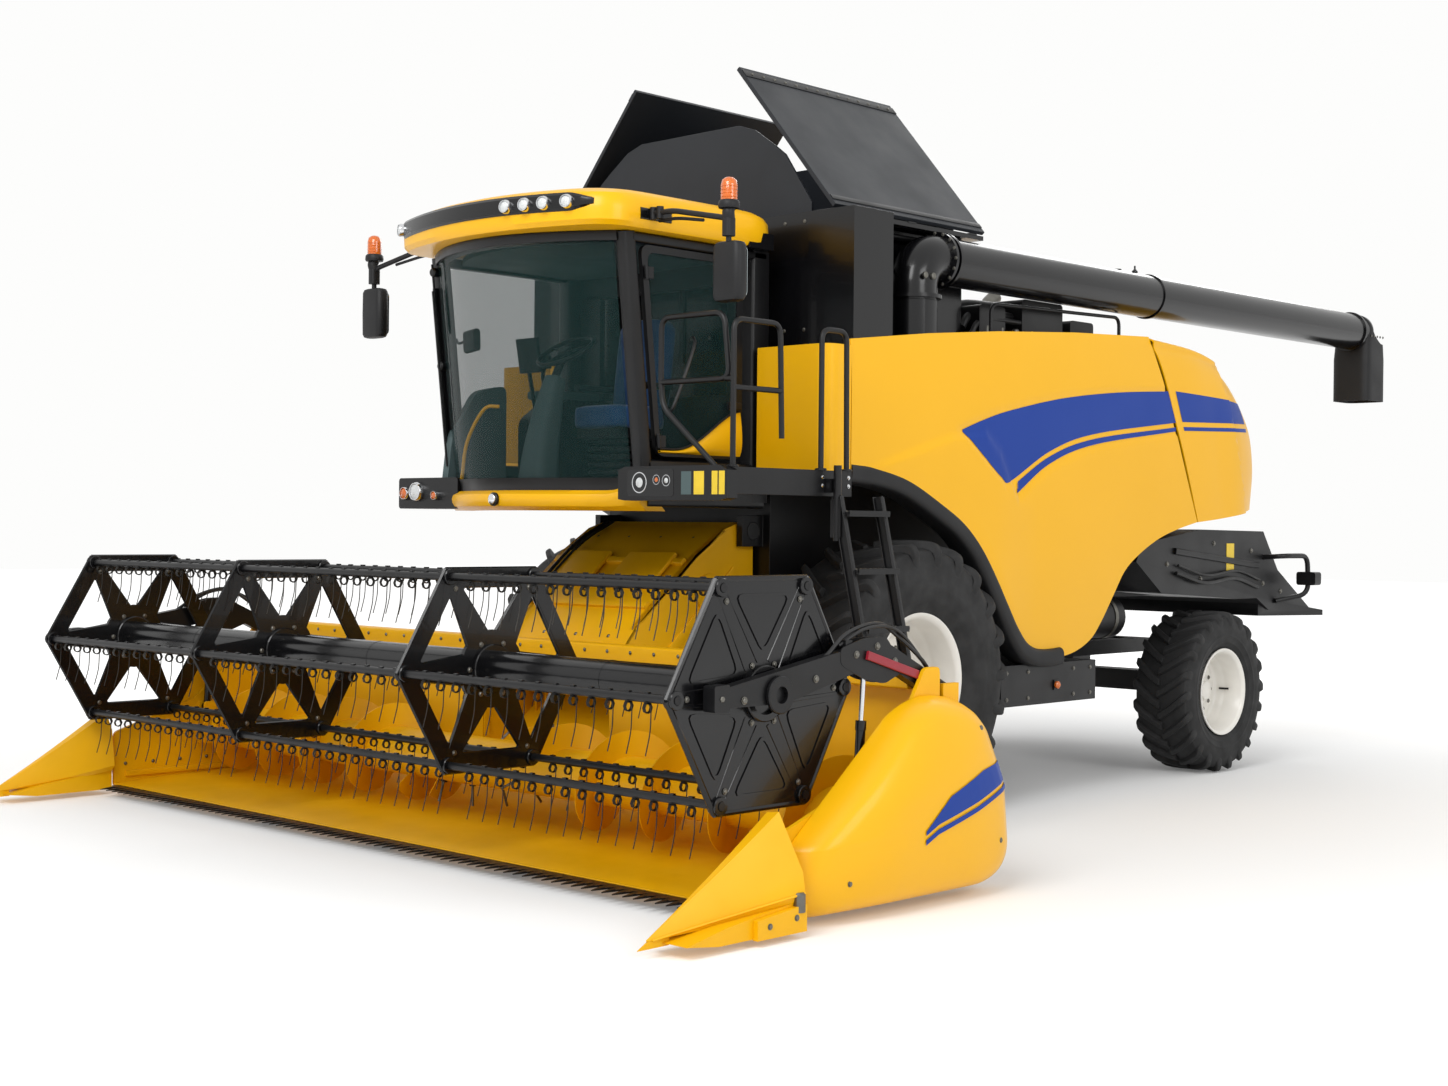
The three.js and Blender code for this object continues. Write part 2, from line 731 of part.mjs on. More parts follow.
function cabShell() {
  const outer = cabBody(0, cab.floor, cab.top);
  const room = cabBody(sheet, cab.floor + 70, cab.top + 40);
  const openings = [
    frontOpening(0),
    alongX(sideOpening(0), cab.halfWidth - 150, cab.halfWidth + 150),
    alongX(sideOpening(0), -cab.halfWidth - 150, -cab.halfWidth + 150),
    box(-600, 600, cab.rear - 200, cab.rear + 200, 2750, 3450),
  ];
  const console = box(-620, -330, -1500, -900, cab.floor + 60, 2720);
  const subframe = box(-700, 700, -1750, -560, 1950, cab.floor + 20);
  const rearMount = box(-600, 600, cab.rear - 30, tank.front - touch, 2450, 2600);
  const rightLamps = box(-1200, -cab.halfWidth + 20, -2010, -1700, lampPanel.bottom - 40, 2180);
  const shell = cut(outer, room, ...openings);
  return join(shell, console, subframe, rearMount, rightLamps, steeringColumn(), doorBrackets());
}

// A pane lies inside the wall and fills the opening that the cutter marks.
function pane(cutter) {
  return cut(cabBody(14, cab.floor, cab.top), cabBody(28, cab.floor - 100, cab.top + 100)).intersect(cutter);
}

function windscreen() {
  return pane(frontOpening(touch));
}

function rightWindow() {
  return pane(alongX(sideOpening(touch), -cab.halfWidth - 150, -cab.halfWidth + 150));
}

// The pillar's two hinge brackets, each with an ear above and an ear below the door's knuckle.
function doorBrackets() {
  const reach = doorHinge.half + 1.8; // the knuckle's ends lean with the pillar
  return doorHinge.heights.flatMap((z) =>
    [z - reach - 30, z + reach].flatMap((low) => {
      const y = pillarY(low + 15, doorHinge.back);
      return [
        box(cab.halfWidth - 8, doorHinge.x + doorHinge.radius, y - 90, y - 24, low, low + 30),
        box(cab.halfWidth + 2, doorHinge.x + doorHinge.radius, y - 30, y + 1, low, low + 30),
      ];
    }),
  );
}

// The door is a frame with a glazed middle, one solid, flush with the cab's side.
function cabDoor() {
  const slab = cut(cabBody(0, cab.floor, cab.top), cabBody(sheet, cab.floor - 100, cab.top + 100));
  const leaf = slab.intersect(alongX(sideOpening(clear), cab.halfWidth - 150, cab.halfWidth + 150));
  const x = doorHinge.x;
  const hinges = doorHinge.heights.flatMap((z) => {
    const at = (height) => pillarY(height, doorHinge.back);
    return [
      rod([x, at(z - doorHinge.half), z - doorHinge.half], [x, at(z + doorHinge.half), z + doorHinge.half], doorHinge.radius, 10),
      box(cab.halfWidth - 20, x, at(z) + 12, at(z) + 60, z - 35, z + 35),
      box(cab.halfWidth + touch + 2, x, at(z), at(z) + 20, z - 30, z + 30),
    ];
  });
  return join(leaf, hinges);
}

function cabRoof() {
  const layer = (inset, z) =>
    cabRing(-roof.overhang + inset, 1, z).map(([x, y]) => [x, Math.min(y, cab.rear - 20 - inset * 0.5), z]);
  const lower = [...layer(30, cab.top + touch), ...layer(0, roof.mid - 40)];
  return hull([...lower, ...layer(12, roof.mid + 40), ...layer(120, roof.top)]);
}

function operatorSeat() {
  const pedestal = box(-190, 190, -1420, -1030, cab.floor + 70 + touch, 2450);
  const cushion = box(-250, 250, -1500, -1000, 2440, 2580);
  const back = hull([
    [-240, -1040, 2500],
    [240, -1040, 2500],
    [-240, -900, 2500],
    [240, -900, 2500],
    [-200, -960, 3180],
    [200, -960, 3180],
    [-200, -850, 3180],
    [200, -850, 3180],
  ]);
  return join(pedestal, cushion, back);
}

const mirror = { x: 1670, y: -1900, halfWidth: 155, bottom: 3130, top: 3480, depth: 110 };

function sideMirror() {
  const { x, y, halfWidth, bottom, top, depth } = mirror;
  const head = box(x - halfWidth, x + halfWidth, y - depth / 2, y + depth / 2, bottom, top);
  const foot = [cab.halfWidth + roof.overhang + touch, -1860, 3700];
  const arm = rail([foot, [1180, -1860, 3700], [x, y, 3640], [x, y, top - 5]], 24, 8);
  const beacon = rod([x, y, 3640], [x, y, 3870], 52, 12);
  const wide = box(x - 90, x + 110, y - 150, y - 40, 3500, 3640);
  return join(head, arm, beacon, wide);
}

// ---------------------------------------------------------------- walkway and ladder

const ladderPost = { x: 1862, y: -1170, radius: 24 };

function walkway() {
  const { inner, outer, front, rear, top, thick } = walkwayPlate;
  const plate = box(inner, outer, front, rear, top - thick, top);
  const lamps = box(inner, outer + 30, front - lampPanel.thick, front + 5, lampPanel.bottom, top + 10);
  const sill = box(outer - 60, outer, front, rear, lampPanel.bottom + 40, top);
  const brackets = [-1700, -1200].map((y) =>
    box(cab.halfWidth + touch, inner + 120, y, y + 80, lampPanel.bottom + 20, top - 5));
  const z = 3030;
  const rails = [
    rail([[1200, front, 2680], [1200, front, z + 40], [1700, front, z + 40], [1745, front, 2700]], 17),
    rail([[1200, front, 2720], [1775, front, 2720]], 17),
    rail([[1200, front, 2720], [1215, front, 2560], [1680, front, 2200]], 17),
    rail([[1775, front, top - 20], [1775, front, z], [1775, front + 380, z], [1775, front + 400, 2380]], 17),
    rail([[1775, front, 2650], [1775, front + 390, 2650]], 17),
    rail([[1775, rear - 260, top - 20], [1775, rear - 260, z], [1775, rear - 40, z], [1775, rear - 30, top - 20]], 17),
  ];
  const bracketEnd = ladderPost.x - ladderPost.radius - touch;
  const bracket = box(outer - 10, bracketEnd, ladderPost.y - 30, ladderPost.y + 30, 2080, 2160);
  const wallBracket = box(quarter.inner + 60, quarter.inner + 200, rear - 5, quarter.front - touch, top - thick, top);
  return join(plate, lamps, sill, brackets, rails, bracket, wallBracket);
}

const ladderFrame = { bottom: 560, top: 2060, width: 370, lean: 0.23, steps: 5 };

function ladder() {
  const { bottom, top, width, lean, steps } = ladderFrame;
  const x0 = ladderPost.x;
  const xAt = (z) => x0 + (top - z) * lean;
  const y0 = ladderPost.y;
  const y1 = ladderPost.y + width;
  const stile = (y) => hull([
    ...[-18, 18].flatMap((dy) => [
      [xAt(top) - 35, y + dy, top],
      [xAt(top) + 35, y + dy, top],
      [xAt(bottom) - 35, y + dy, bottom],
      [xAt(bottom) + 35, y + dy, bottom],
    ]),
  ]);
  const treads = Array.from({ length: steps }, (_, i) => {
    const z = bottom + 60 + (i * (top - bottom - 160)) / (steps - 1);
    return box(xAt(z) - 75, xAt(z) + 75, y0, y1, z - 18, z + 18);
  });
  const post = rod([ladderPost.x, y0, top - 260], [ladderPost.x, y0, 2240], ladderPost.radius, 12);
  const tie = box(ladderPost.x - 40, ladderPost.x + 40, y0 - 18, y0 + 18, top - 240, top - 20);
  return join(stile(y0), stile(y1), treads, post, tie);
}

// ---------------------------------------------------------------- feeder house and header lift

function feederHouse() {
  const [py, pz] = feeder.pivot;
  const outline = [
    [feeder.rear, pz + 20],
    [py - 40, pz + 70],
    [-1100, 1720],
    [-1620, 1260],
    [feeder.front, 1120],
    [feeder.front, 330],
    [feeder.rear, 1330],
  ];
  const trunk = alongX(outline, -feeder.half, feeder.half);
  const tunnel = alongX(
    [
      [feeder.front - 10, 420],
      [feeder.front - 10, 1020],
      [-1250, 1390],
      [-1250, 860],
    ],
    -feeder.half + sheet,
    feeder.half - sheet,
  );
  const shaftEnd = feeder.half + feeder.shaftEnd;
  const shaft = rod([-shaftEnd, py, pz], [shaftEnd, py, pz], feeder.shaft, 24);
  const lugs = [1, -1].flatMap((s) =>
    [-1, 1].map((t) => {
      const middle = s * liftRam.x + t * 50;
      return box(middle - 12, middle + 12, liftRam.eye[0] - 75, liftRam.eye[0] + 75, liftRam.eye[1] - 70, 800);
    }),
  );
  const pinHole = rod([-700, ...liftRam.eye], [700, ...liftRam.eye], liftRam.pin + 15, 12);
  return join(cut(trunk, tunnel), shaft, cut(join(lugs), pinHole));
}

// Both barrels hang on one cross tube under the front axle, and both rods end in one cross bar.
function liftBarrels() {
  const [fy, fz] = liftRam.foot;
  const [ey, ez] = liftRam.eye;
  const cross = rod([-liftRam.x - 55, fy, fz], [liftRam.x + 55, fy, fz], liftRam.cross, 24);
  const barrels = [1, -1].map((s) => {
    const x = s * liftRam.x;
    const bore = rod([x, fy + (ey - fy) * 0.05, fz + (ez - fz) * 0.05], [x, ey - 1, ez], liftRam.rod + 1, 12);
    const tube = rod([x, fy, fz], [x, fy + (ey - fy) * 0.72, fz + (ez - fz) * 0.72], liftRam.barrel, 12);
    return { tube, bore };
  });
  return join(cut(join(barrels.map((b) => b.tube)), barrels.map((b) => b.bore)), cross);
}

function liftRods() {
  const [fy, fz] = liftRam.foot;
  const [ey, ez] = liftRam.eye;
  const start = armTo(0.16, liftRam.foot, liftRam.eye);
  const rods = [1, -1].map((s) => rod([s * liftRam.x, ...start], [s * liftRam.x, ey, ez], liftRam.rod, 12));
  const bar = rod([-liftRam.x - 75, ey, ez], [liftRam.x + 75, ey, ez], liftRam.pin, 12);
  return join(rods, bar);
}

// ---------------------------------------------------------------- header

function headerFrame() {
  const { half, back, front, beamTop, beam, floor } = header;
  const armNotch = [1, -1].map((s) => {
    const across = [s * (reelArm.x - clear), s * (half - 1)];
    return box(Math.min(...across), Math.max(...across), back - beam - 1, back + 1, 900, beamTop + 1);
  });
  const beamBox = box(-half, half, back - beam, back, beamTop - beam, beamTop);
  const backSheet = box(-half, half, back - thin, back, floor, beamTop);
  const mouth = box(-feeder.half + sheet, feeder.half - sheet, back - 400, back + 100, 420, 1000);
  const pan = alongX(
    [
      [back, floor],
      [front, floor - 25],
      [front, floor - 5],
      [-2600, floor + 22],
      [back - 330, floor + 24],
      [back - thin, floor + 180],
      [back, floor + 180],
    ],
    -half,
    half,
  );
  const endOutline = [
    [back, floor - 30],
    [front, floor - 30],
    [front, 420],
    [-2620, 560],
    [-2420, 620],
    [-2060, 930],
    [back - beam, beamTop],
    [back, beamTop],
  ];
  const ends = [1, -1].map((s) => {
    const across = [s * half, s * (half + 25)];
    return alongX(endOutline, Math.min(...across), Math.max(...across));
  });
  const neck = cut(
    box(-feeder.half, feeder.half, back, feeder.front - touch, 360, 1090),
    box(-feeder.half + sheet, feeder.half - sheet, back - 50, feeder.front + 50, 420, 1000),
  );
  const armPosts = [1, -1].flatMap((s) => {
    const outer = [s * (reelArm.x + reelArm.thick + 3), s * (half + 25)];
    const inner = [s * (half - 165), s * (half + 25)];
    const [y, z] = reelArm.pivot;
    return [
      box(Math.min(...outer), Math.max(...outer), y - 70, y + 60, z - 260, z + 60),
      box(Math.min(...inner), Math.max(...inner), back - 5, y + 60, z - 260, z - 100),
      rod([s * (reelArm.x + reelArm.thick + touch), y, z], [s * (half + 5), y, z], 36, 12),
    ];
  });
  const ramFeet = [1, -1].map((s) => {
    const across = [s * (reelArm.x - 10), s * (half + 5)];
    const [y, z] = reelRam.foot;
    const block = box(Math.min(...across), Math.max(...across), y - 45, y + 45, 300, z);
    return cut(block, rod([s * (half - 165), y, z], [s * (half - 1), y, z], reelRam.pin + 0.9, 12));
  });
  return join(cut(join(beamBox, backSheet, pan), mouth, armNotch), ends, neck, armPosts, ramFeet);
}

function endShield() {
  const shape = new THREE.Shape();
  shape.moveTo(-1640, 30);
  shape.lineTo(-2850, 30);
  shape.quadraticCurveTo(-3060, 40, -3025, 190);
  shape.lineTo(-2950, 360);
  shape.lineTo(-2240, 930);
  shape.quadraticCurveTo(-2080, 1030, -1900, 1030);
  shape.quadraticCurveTo(-1600, 1020, -1530, 880);
  shape.lineTo(-1400, 560);
  shape.lineTo(-1365, 250);
  shape.quadraticCurveTo(-1360, 60, -1640, 30);
  const slab = alongX(shape, header.half + 25 + touch, header.shieldHalf);
  const bevel = hull([
    ...[-1300, -3100].flatMap((y) => [0, 1100].map((z) => [header.half, y, z])),
    ...[-1480, -2900].flatMap((y) => [90, 930].map((z) => [header.shieldHalf, y, z])),
  ]);
  return slab.intersect(bevel);
}

function crossDivider() {
  const tip = [header.half + 65, header.dividerTip, 60];
  const base = header.front - touch;
  const inner = header.half - 60;
  const outer = header.shieldHalf - 40;
  return hull([
    [tip[0] - 8, tip[1], tip[2] - 25],
    [tip[0] + 8, tip[1], tip[2] - 25],
    [tip[0], tip[1], tip[2] + 12],
    [inner, base, 30],
    [outer, base, 30],
    [inner, base, 330],
    [header.half + 10, base, 560],
    [header.half + 110, base, 570],
    [outer, base, 200],
  ]);
}

function cutterbar() {
  return box(-header.half + 62, header.half - 62, header.knifeFront, header.front - touch, 48, 72);
}

const flightSteps = 10; // in one turn

// Two flights wound towards the middle, with a plain drum and retracting fingers between them.
function headerAuger() {
  const end = reelArm.x - 30;
  const drum = rod([-end, auger.y, auger.z], [end, auger.y, auger.z], auger.tube, 14);
  const bearing = header.half - touch;
  const shaft = rod([-bearing, auger.y, auger.z], [bearing, auger.y, auger.z], 40, 10);
  const flights = [1, -1].map((side) => flighting(side, end - 30, auger.fingers + 30));
  const fingers = [];
  for (let i = 0; i < 8; i += 1) {
    const x = -auger.fingers + 160 + i * 130;
    const angle = (i * 2 * Math.PI) / 3;
    const tip = [x, auger.y + 285 * Math.cos(angle), auger.z + 285 * Math.sin(angle)];
    fingers.push(rod([x, auger.y, auger.z], tip, 11, 6));
  }
  return join(drum, shaft, flights, fingers);
}

// A helical strip of rectangular section, wound inwards from one end of the tube.
function flighting(side, from, to) {
  const half = 7;
  const inner = auger.tube - 15;
  const section = [
    [inner, -half],
    [auger.flight, -half],
    [auger.flight, half],
    [inner, half],
  ];
  const steps = Math.round(((from - to) / auger.pitch) * flightSteps);
  const positions = [];
  const faces = [];
  const quad = (a, b, c, d) => faces.push(a, c, b, a, d, c);
  for (let i = 0; i <= steps; i += 1) {
    const angle = side * ((2 * Math.PI * i) / flightSteps);
    const x = side * (from - ((from - to) * i) / steps);
    for (const [radius, shift] of section) {
      positions.push(x + side * shift, auger.y + radius * Math.cos(angle), auger.z + radius * Math.sin(angle));
    }
    for (let k = 0; k < 4 && i < steps; k += 1) {
      const next = (k + 1) % 4;
      quad(4 * i + k, 4 * i + next, 4 * i + 4 + next, 4 * i + 4 + k);
    }
  }
  quad(3, 2, 1, 0);
  quad(4 * steps, 4 * steps + 1, 4 * steps + 2, 4 * steps + 3);
  const geometry = new THREE.BufferGeometry();
  geometry.setAttribute("position", new THREE.Float32BufferAttribute(positions, 3));
  geometry.setIndex(faces);
  return solid(geometry);
}

// ---------------------------------------------------------------- reel

const barHole = reel.bar + 0.85;

function reelPlate(x, open) {
  const shape = new THREE.Shape(regular(6, reel.radius + reel.margin).map(([a, b]) => new THREE.Vector2(a, b)));
  if (open) {
    for (let i = 0; i < 6; i += 1) {
      const turn = Math.PI / 6 + (i * Math.PI) / 3;
      const hole = [
        [200, 0],
        [450, -175],
        [450, 175],
      ].map(([r, t]) => new THREE.Vector2(r, t).rotateAround(new THREE.Vector2(), turn));
      shape.holes.push(new THREE.Path(hole));
    }
  }
  return alongX(shape, x - reel.plate / 2, x + reel.plate / 2);
}

function reelSolid() {
  const plates = reel.plateX.map((x, i) => reelPlate(x, i < 3));
  const reach = reelArm.x - touch;
  const tube = rod([-reel.plateX[3], 0, 0], [reel.plateX[3], 0, 0], reel.tube, 16);
  const shaft = rod([-reach, 0, 0], [reach, 0, 0], 40, 12);
  const whole = join(plates, tube, shaft);
  const holes = regular(6, reel.radius).map(([a, b]) => rod([-headerHalf, a, b], [headerHalf, a, b], barHole, 12));
  return cut(whole, holes);
}

function placedReel(manifold) {
  return manifold.translate([0, reel.y, reel.z]);
}

function tineBar(index) {
  const [a, b] = regular(6, reel.radius)[index];
  return rod([-reel.barHalf, a, b], [reel.barHalf, a, b], reel.bar, 12);
}

function reelArmSolid() {
  const [py, pz] = reelArm.pivot;
  const [ky, kz] = reelArm.kink;
  const outline = [
    [py + 60, pz - 40],
    [py + 60, pz + 40],
    [ky, kz + 60],
    [reel.y - 380, reel.z + 50],
    [reel.y - 380, reel.z - 50],
    [reel.y + 60, reel.z - 50],
    [ky, kz - 50],
    [py, pz - 50],
  ];
  const arm = alongX(outline, reelArm.x, reelArm.x + reelArm.thick);
  const lugY = reelRam.eye[0];
  const lugX = [reelArm.x, reelArm.x + reelArm.thick - 8];
  const lugs = lugX.map((x) => box(x, x + 8, lugY - 32, lugY + 32, reelRam.eye[1] - 25, kz));
  return join(arm, lugs);
}

function armTo(share, from, to) {
  return from.map((v, i) => v + (to[i] - v) * share);
}

function reelBarrel() {
  const x = reelArm.x + reelArm.thick / 2;
  const [fy, fz] = reelRam.foot;
  const top = armTo(0.6, reelRam.foot, reelRam.eye);
  const low = armTo(0.06, reelRam.foot, reelRam.eye);
  const tube = rod([x, fy, fz], [x, ...top], reelRam.barrel, 12);
  const bore = rod([x, ...low], [x, ...reelRam.eye], reelRam.rod + 1, 12);
  const eye = rod([x - 26, fy, fz], [x + 26, fy, fz], reelRam.pin, 12);
  const eyeEnd = armTo(0.065, reelRam.foot, reelRam.eye);
  return join(cut(tube, bore), cut(eye, rod([x, ...eyeEnd], [x, ...reelRam.eye], reelRam.rod + 1, 12)));
}

function reelRod() {
  const x = reelArm.x + reelArm.thick / 2;
  const [ey, ez] = reelRam.eye;
  const start = armTo(0.25, reelRam.foot, reelRam.eye);
  return join(rod([x, ...start], [x, ey, ez], reelRam.rod, 12), rod([x - 22, ey, ez], [x + 22, ey, ez], 20, 12));
}

// ---------------------------------------------------------------- assembly

wheels();
const structure = group();
piece(structure, "front_axle", frontAxle(), black);
piece(structure, "rear_axle", rearAxle(), black);
pair(structure, "steering_knuckle", knuckle(), black);
piece(structure, "chassis_frame", chassisFrame(), black);
piece(structure, "thresher_casing", thresherCasing(), black);
piece(structure, "engine_block", engineBlock(), black);
piece(structure, "straw_chopper", strawChopper(), black);

const panels = group();
pair(panels, "side_panel", sidePanel(), yellow);
pair(panels, "front_panel", frontPanel(), yellow);
piece(panels, "rear_hood", rearHood(), yellow);

const grain = group();
piece(grain, "grain_tank", grainTank(), black);
pair(grain, "tank_cover", tankCover(), graphite);
piece(grain, "front_tank_flap", tankFlap(flapFront), graphite);
piece(grain, "rear_tank_flap", tankFlap(flapRear), graphite);
piece(grain, "unloading_tube", unloadingTube(), black);

const cabin = group();
piece(cabin, "cab_shell", cabShell(), black);
piece(cabin, "cab_roof", cabRoof(), yellow);
piece(cabin, "windscreen", windscreen(), glass);
piece(cabin, "right_cab_window", rightWindow(), glass);
piece(cabin, "cab_door", cabDoor(), black);
piece(cabin, "operator_seat", operatorSeat(), fabric);
pair(cabin, "mirror", sideMirror(), black);
piece(cabin, "walkway", walkway(), black);
piece(cabin, "ladder", ladder(), black);

const harvesting = group();
piece(harvesting, "feeder_house", feederHouse(), yellow);
piece(harvesting, "lift_barrels", liftBarrels(), black);
piece(harvesting, "lift_rods", liftRods(), chrome);
piece(harvesting, "header_frame", headerFrame(), yellow);
pair(harvesting, "end_shield", endShield(), yellow);
pair(harvesting, "crop_divider", crossDivider(), yellow);
piece(harvesting, "cutterbar", cutterbar(), black);
piece(harvesting, "header_auger", headerAuger(), yellow);

const reeling = group(harvesting);
piece(reeling, "reel", placedReel(reelSolid()), black);
for (let i = 0; i < 6; i += 1) piece(reeling, `tine_bar_${i + 1}`, placedReel(tineBar(i)), black);
pair(reeling, "reel_arm", reelArmSolid(), black);
pair(reeling, "reel_barrel", reelBarrel(), black);
pair(reeling, "reel_rod", reelRod(), chrome);

machine.updateMatrixWorld(true);
const extent = new THREE.Box3().setFromObject(machine);
machine.position.y = -(extent.min.y + extent.max.y) / 2;

export default machine;
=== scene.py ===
"""A combine harvester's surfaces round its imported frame, as an add-on. Metres, +Z up, driving towards -Y.

Points are worked out with y measured from the front axle, and build() moves them into the frame's own origin.
"""

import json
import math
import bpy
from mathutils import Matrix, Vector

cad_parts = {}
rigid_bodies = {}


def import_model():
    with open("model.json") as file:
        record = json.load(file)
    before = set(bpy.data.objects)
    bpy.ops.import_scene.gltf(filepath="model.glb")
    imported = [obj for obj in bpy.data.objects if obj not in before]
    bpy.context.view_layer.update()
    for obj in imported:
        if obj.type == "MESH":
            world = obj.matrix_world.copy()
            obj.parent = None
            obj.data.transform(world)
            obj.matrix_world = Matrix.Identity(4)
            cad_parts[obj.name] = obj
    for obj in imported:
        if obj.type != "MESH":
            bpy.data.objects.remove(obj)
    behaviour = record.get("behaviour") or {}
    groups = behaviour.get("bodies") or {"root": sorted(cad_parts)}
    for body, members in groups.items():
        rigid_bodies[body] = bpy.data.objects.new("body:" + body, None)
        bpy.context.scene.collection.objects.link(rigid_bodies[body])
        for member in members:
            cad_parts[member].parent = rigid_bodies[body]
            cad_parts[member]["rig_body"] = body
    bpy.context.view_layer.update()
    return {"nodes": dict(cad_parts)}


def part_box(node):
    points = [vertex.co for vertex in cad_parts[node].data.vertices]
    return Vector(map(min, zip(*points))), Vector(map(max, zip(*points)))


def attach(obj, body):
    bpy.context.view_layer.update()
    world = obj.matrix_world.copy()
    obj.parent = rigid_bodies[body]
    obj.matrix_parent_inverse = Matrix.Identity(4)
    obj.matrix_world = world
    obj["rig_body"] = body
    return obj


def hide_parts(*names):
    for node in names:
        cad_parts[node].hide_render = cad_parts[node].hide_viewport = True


bl_info = {
    "name": "Combine harvester",
    "version": (1, 0, 0),
    "blender": (4, 5, 0),
    "location": "View3D > Sidebar > Harvester",
    "description": "Builds the panels, wheels, cab, header and reel of a combine harvester",
    "category": "Object",
}

import bmesh
import bpy
import numpy as np
from mathutils import Euler, Matrix, Vector

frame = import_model()


def middle(node):
    """The middle of a node's box."""
    low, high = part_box(node)
    return (np.array(low) + np.array(high)) / 2


AXLE_Y = middle("left_front_rim")[1]
FRONT_HUB = middle("left_front_rim") - (0, AXLE_Y, 0)
REAR_HUB = middle("left_rear_rim") - (0, AXLE_Y, 0)


# ---------------------------------------------------------------- surfaces


def grid_faces(rows, columns, wrap=False):
    """Quads between the points of a rows by columns grid. With wrap, the last column meets the first."""
    row, column = np.meshgrid(np.arange(rows - 1), np.arange(columns if wrap else columns - 1), indexing="ij")
    a = row * columns + column
    b = row * columns + (column + 1) % columns
    return np.stack([a, b, b + columns, a + columns], -1).reshape(-1, 4)


def smooth(points, steps=8):
    """A Catmull-Rom spline along the points' first axis: each span is a cubic of its four neighbours."""
    p = np.asarray(points, float)
    ends = [2 * p[:1] - p[1:2], p, 2 * p[-1:] - p[-2:-1]]
    q = np.concatenate(ends)
    t = (np.arange(steps) / steps).reshape((1, steps) + (1,) * (p.ndim - 1))
    a, b, c, d = (q[i : len(q) - 3 + i][:, None] for i in range(4))
    spans = 0.5 * (2 * b + (c - a) * t + (2 * a - 5 * b + 4 * c - d) * t**2 + (3 * b - a - 3 * c + d) * t**3)
    return np.concatenate([spans.reshape((-1,) + p.shape[1:]), p[-1:]])


def rounded(points, radius, steps=5):
    """A polyline whose inner corners become quadratic curves, each starting radius before its corner."""
    p = np.asarray(points, float)
    into = p[1:-1] - p[:-2]
    out = p[2:] - p[1:-1]
    length_in = np.linalg.norm(into, axis=1, keepdims=True)
    length_out = np.linalg.norm(out, axis=1, keepdims=True)
    start = p[1:-1] - into / length_in * np.minimum(radius, 0.48 * length_in)
    end = p[1:-1] + out / length_out * np.minimum(radius, 0.48 * length_out)
    t = np.linspace(0, 1, steps)[None, :, None]
    curve = (1 - t) ** 2 * start[:, None] + 2 * t * (1 - t) * p[1:-1][:, None] + t**2 * end[:, None]
    return np.concatenate([p[:1], curve.reshape(-1, p.shape[1]), p[-1:]])


def xyz(x, y, z):
    """Points from three lists of coordinates. A single number is repeated for every point."""
    return np.stack(np.broadcast_arrays(x, y, z), -1)


def at_x(x, line):
    """A line of y and z points placed at one x."""
    return xyz(x, *np.asarray(line, float).T)


def curve(a, b, c, steps):
    """A quadratic curve from a to c, drawn towards b."""
    t = np.linspace(0, 1, steps)[:, None]
    return (1 - t) ** 2 * np.asarray(a, float) + 2 * t * (1 - t) * np.asarray(b, float) + t**2 * np.asarray(c,
        float)


def unit(vectors):
    """The vectors at length 1."""
    return vectors / np.maximum(np.linalg.norm(vectors, axis=-1, keepdims=True), 1e-12)


def sweep(path, section, up=None, scale=1.0):
    """A section's points carried along a path: each ring is path + side * s + over * t. The ends are flat."""
    path = np.asarray(path, float)
    section = np.asarray(section, float)
    steps = np.diff(path, axis=0)
    tangent = unit(np.concatenate([steps[:1], unit(steps[:-1]) + unit(steps[1:]), steps[-1:]]))
    if up is None:
        up = np.eye(3)[np.argmin(np.abs(tangent).max(0))]
    side = unit(np.cross(tangent, np.asarray(up, float)))
    over = np.cross(side, tangent)
    size = np.broadcast_to(np.asarray(scale, float), (len(path),))[:, None, None]
    rings = path[:, None] + size * (side[:, None] * section[None, :, :1]
                                    + over[:, None] * section[None, :, 1:])
    count = len(section)
    last = (len(path) - 1) * count
    caps = [np.arange(count)[None, :], np.arange(last + count - 1, last - 1, -1)[None, :]]
    return rings.reshape(-1, 3), [grid_faces(len(path), count, True), *caps]


def circle(radius, sides):
    """Points evenly round a circle: radius times the cosine and the sine of the angle."""
    angle = np.arange(sides) * 2 * np.pi / sides
    return radius * np.stack([np.cos(angle), np.sin(angle)], 1)


def tube(path, radius, sides=12, scale=1.0, up=None):
    """A round bar along a path, which is a circle swept along it."""
    return sweep(path, circle(radius, sides), up, scale)


def strut(path, width, height, corner, up=(0, 0, 1), scale=1.0):
    """A bar of rounded rectangular section along a path."""
    return sweep(path, oblong(width, height, corner), up, scale)


def oblong(width, height, corner, steps=3):
    """A rectangle with round corners, as a section."""
    quarter = np.linspace(0, np.pi / 2, steps + 1)
    centres = np.array([[1, 1], [-1, 1], [-1, -1], [1, -1]]) * (width / 2 - corner, height / 2 - corner)
    turns = np.arange(4)[:, None] * np.pi / 2 + quarter[None]
    arcs = centres[:, None] + corner * np.stack([np.cos(turns), np.sin(turns)], -1)
    return arcs.reshape(-1, 2)


def revolve(profile, centre, axis="x", segments=64):
    """A closed profile of radius and along, turned round an axis: centre + along * axis + radius * spoke."""
    profile = np.asarray(profile, float)
    number = "xyz".index(axis)
    along, u, v = np.eye(3)[number], np.eye(3)[(number + 1) % 3], np.eye(3)[(number + 2) % 3]
    angle = np.arange(segments) * 2 * np.pi / segments
    spoke = np.cos(angle)[:, None] * u + np.sin(angle)[:, None] * v
    points = np.asarray(centre, float) + profile[:, None, 1:] * along + profile[:, None, :1] * spoke[None]
    rows = np.concatenate([points, points[:1]])
    faces = grid_faces(len(rows), segments, True) % (len(profile) * segments)
    return points.reshape(-1, 3), faces


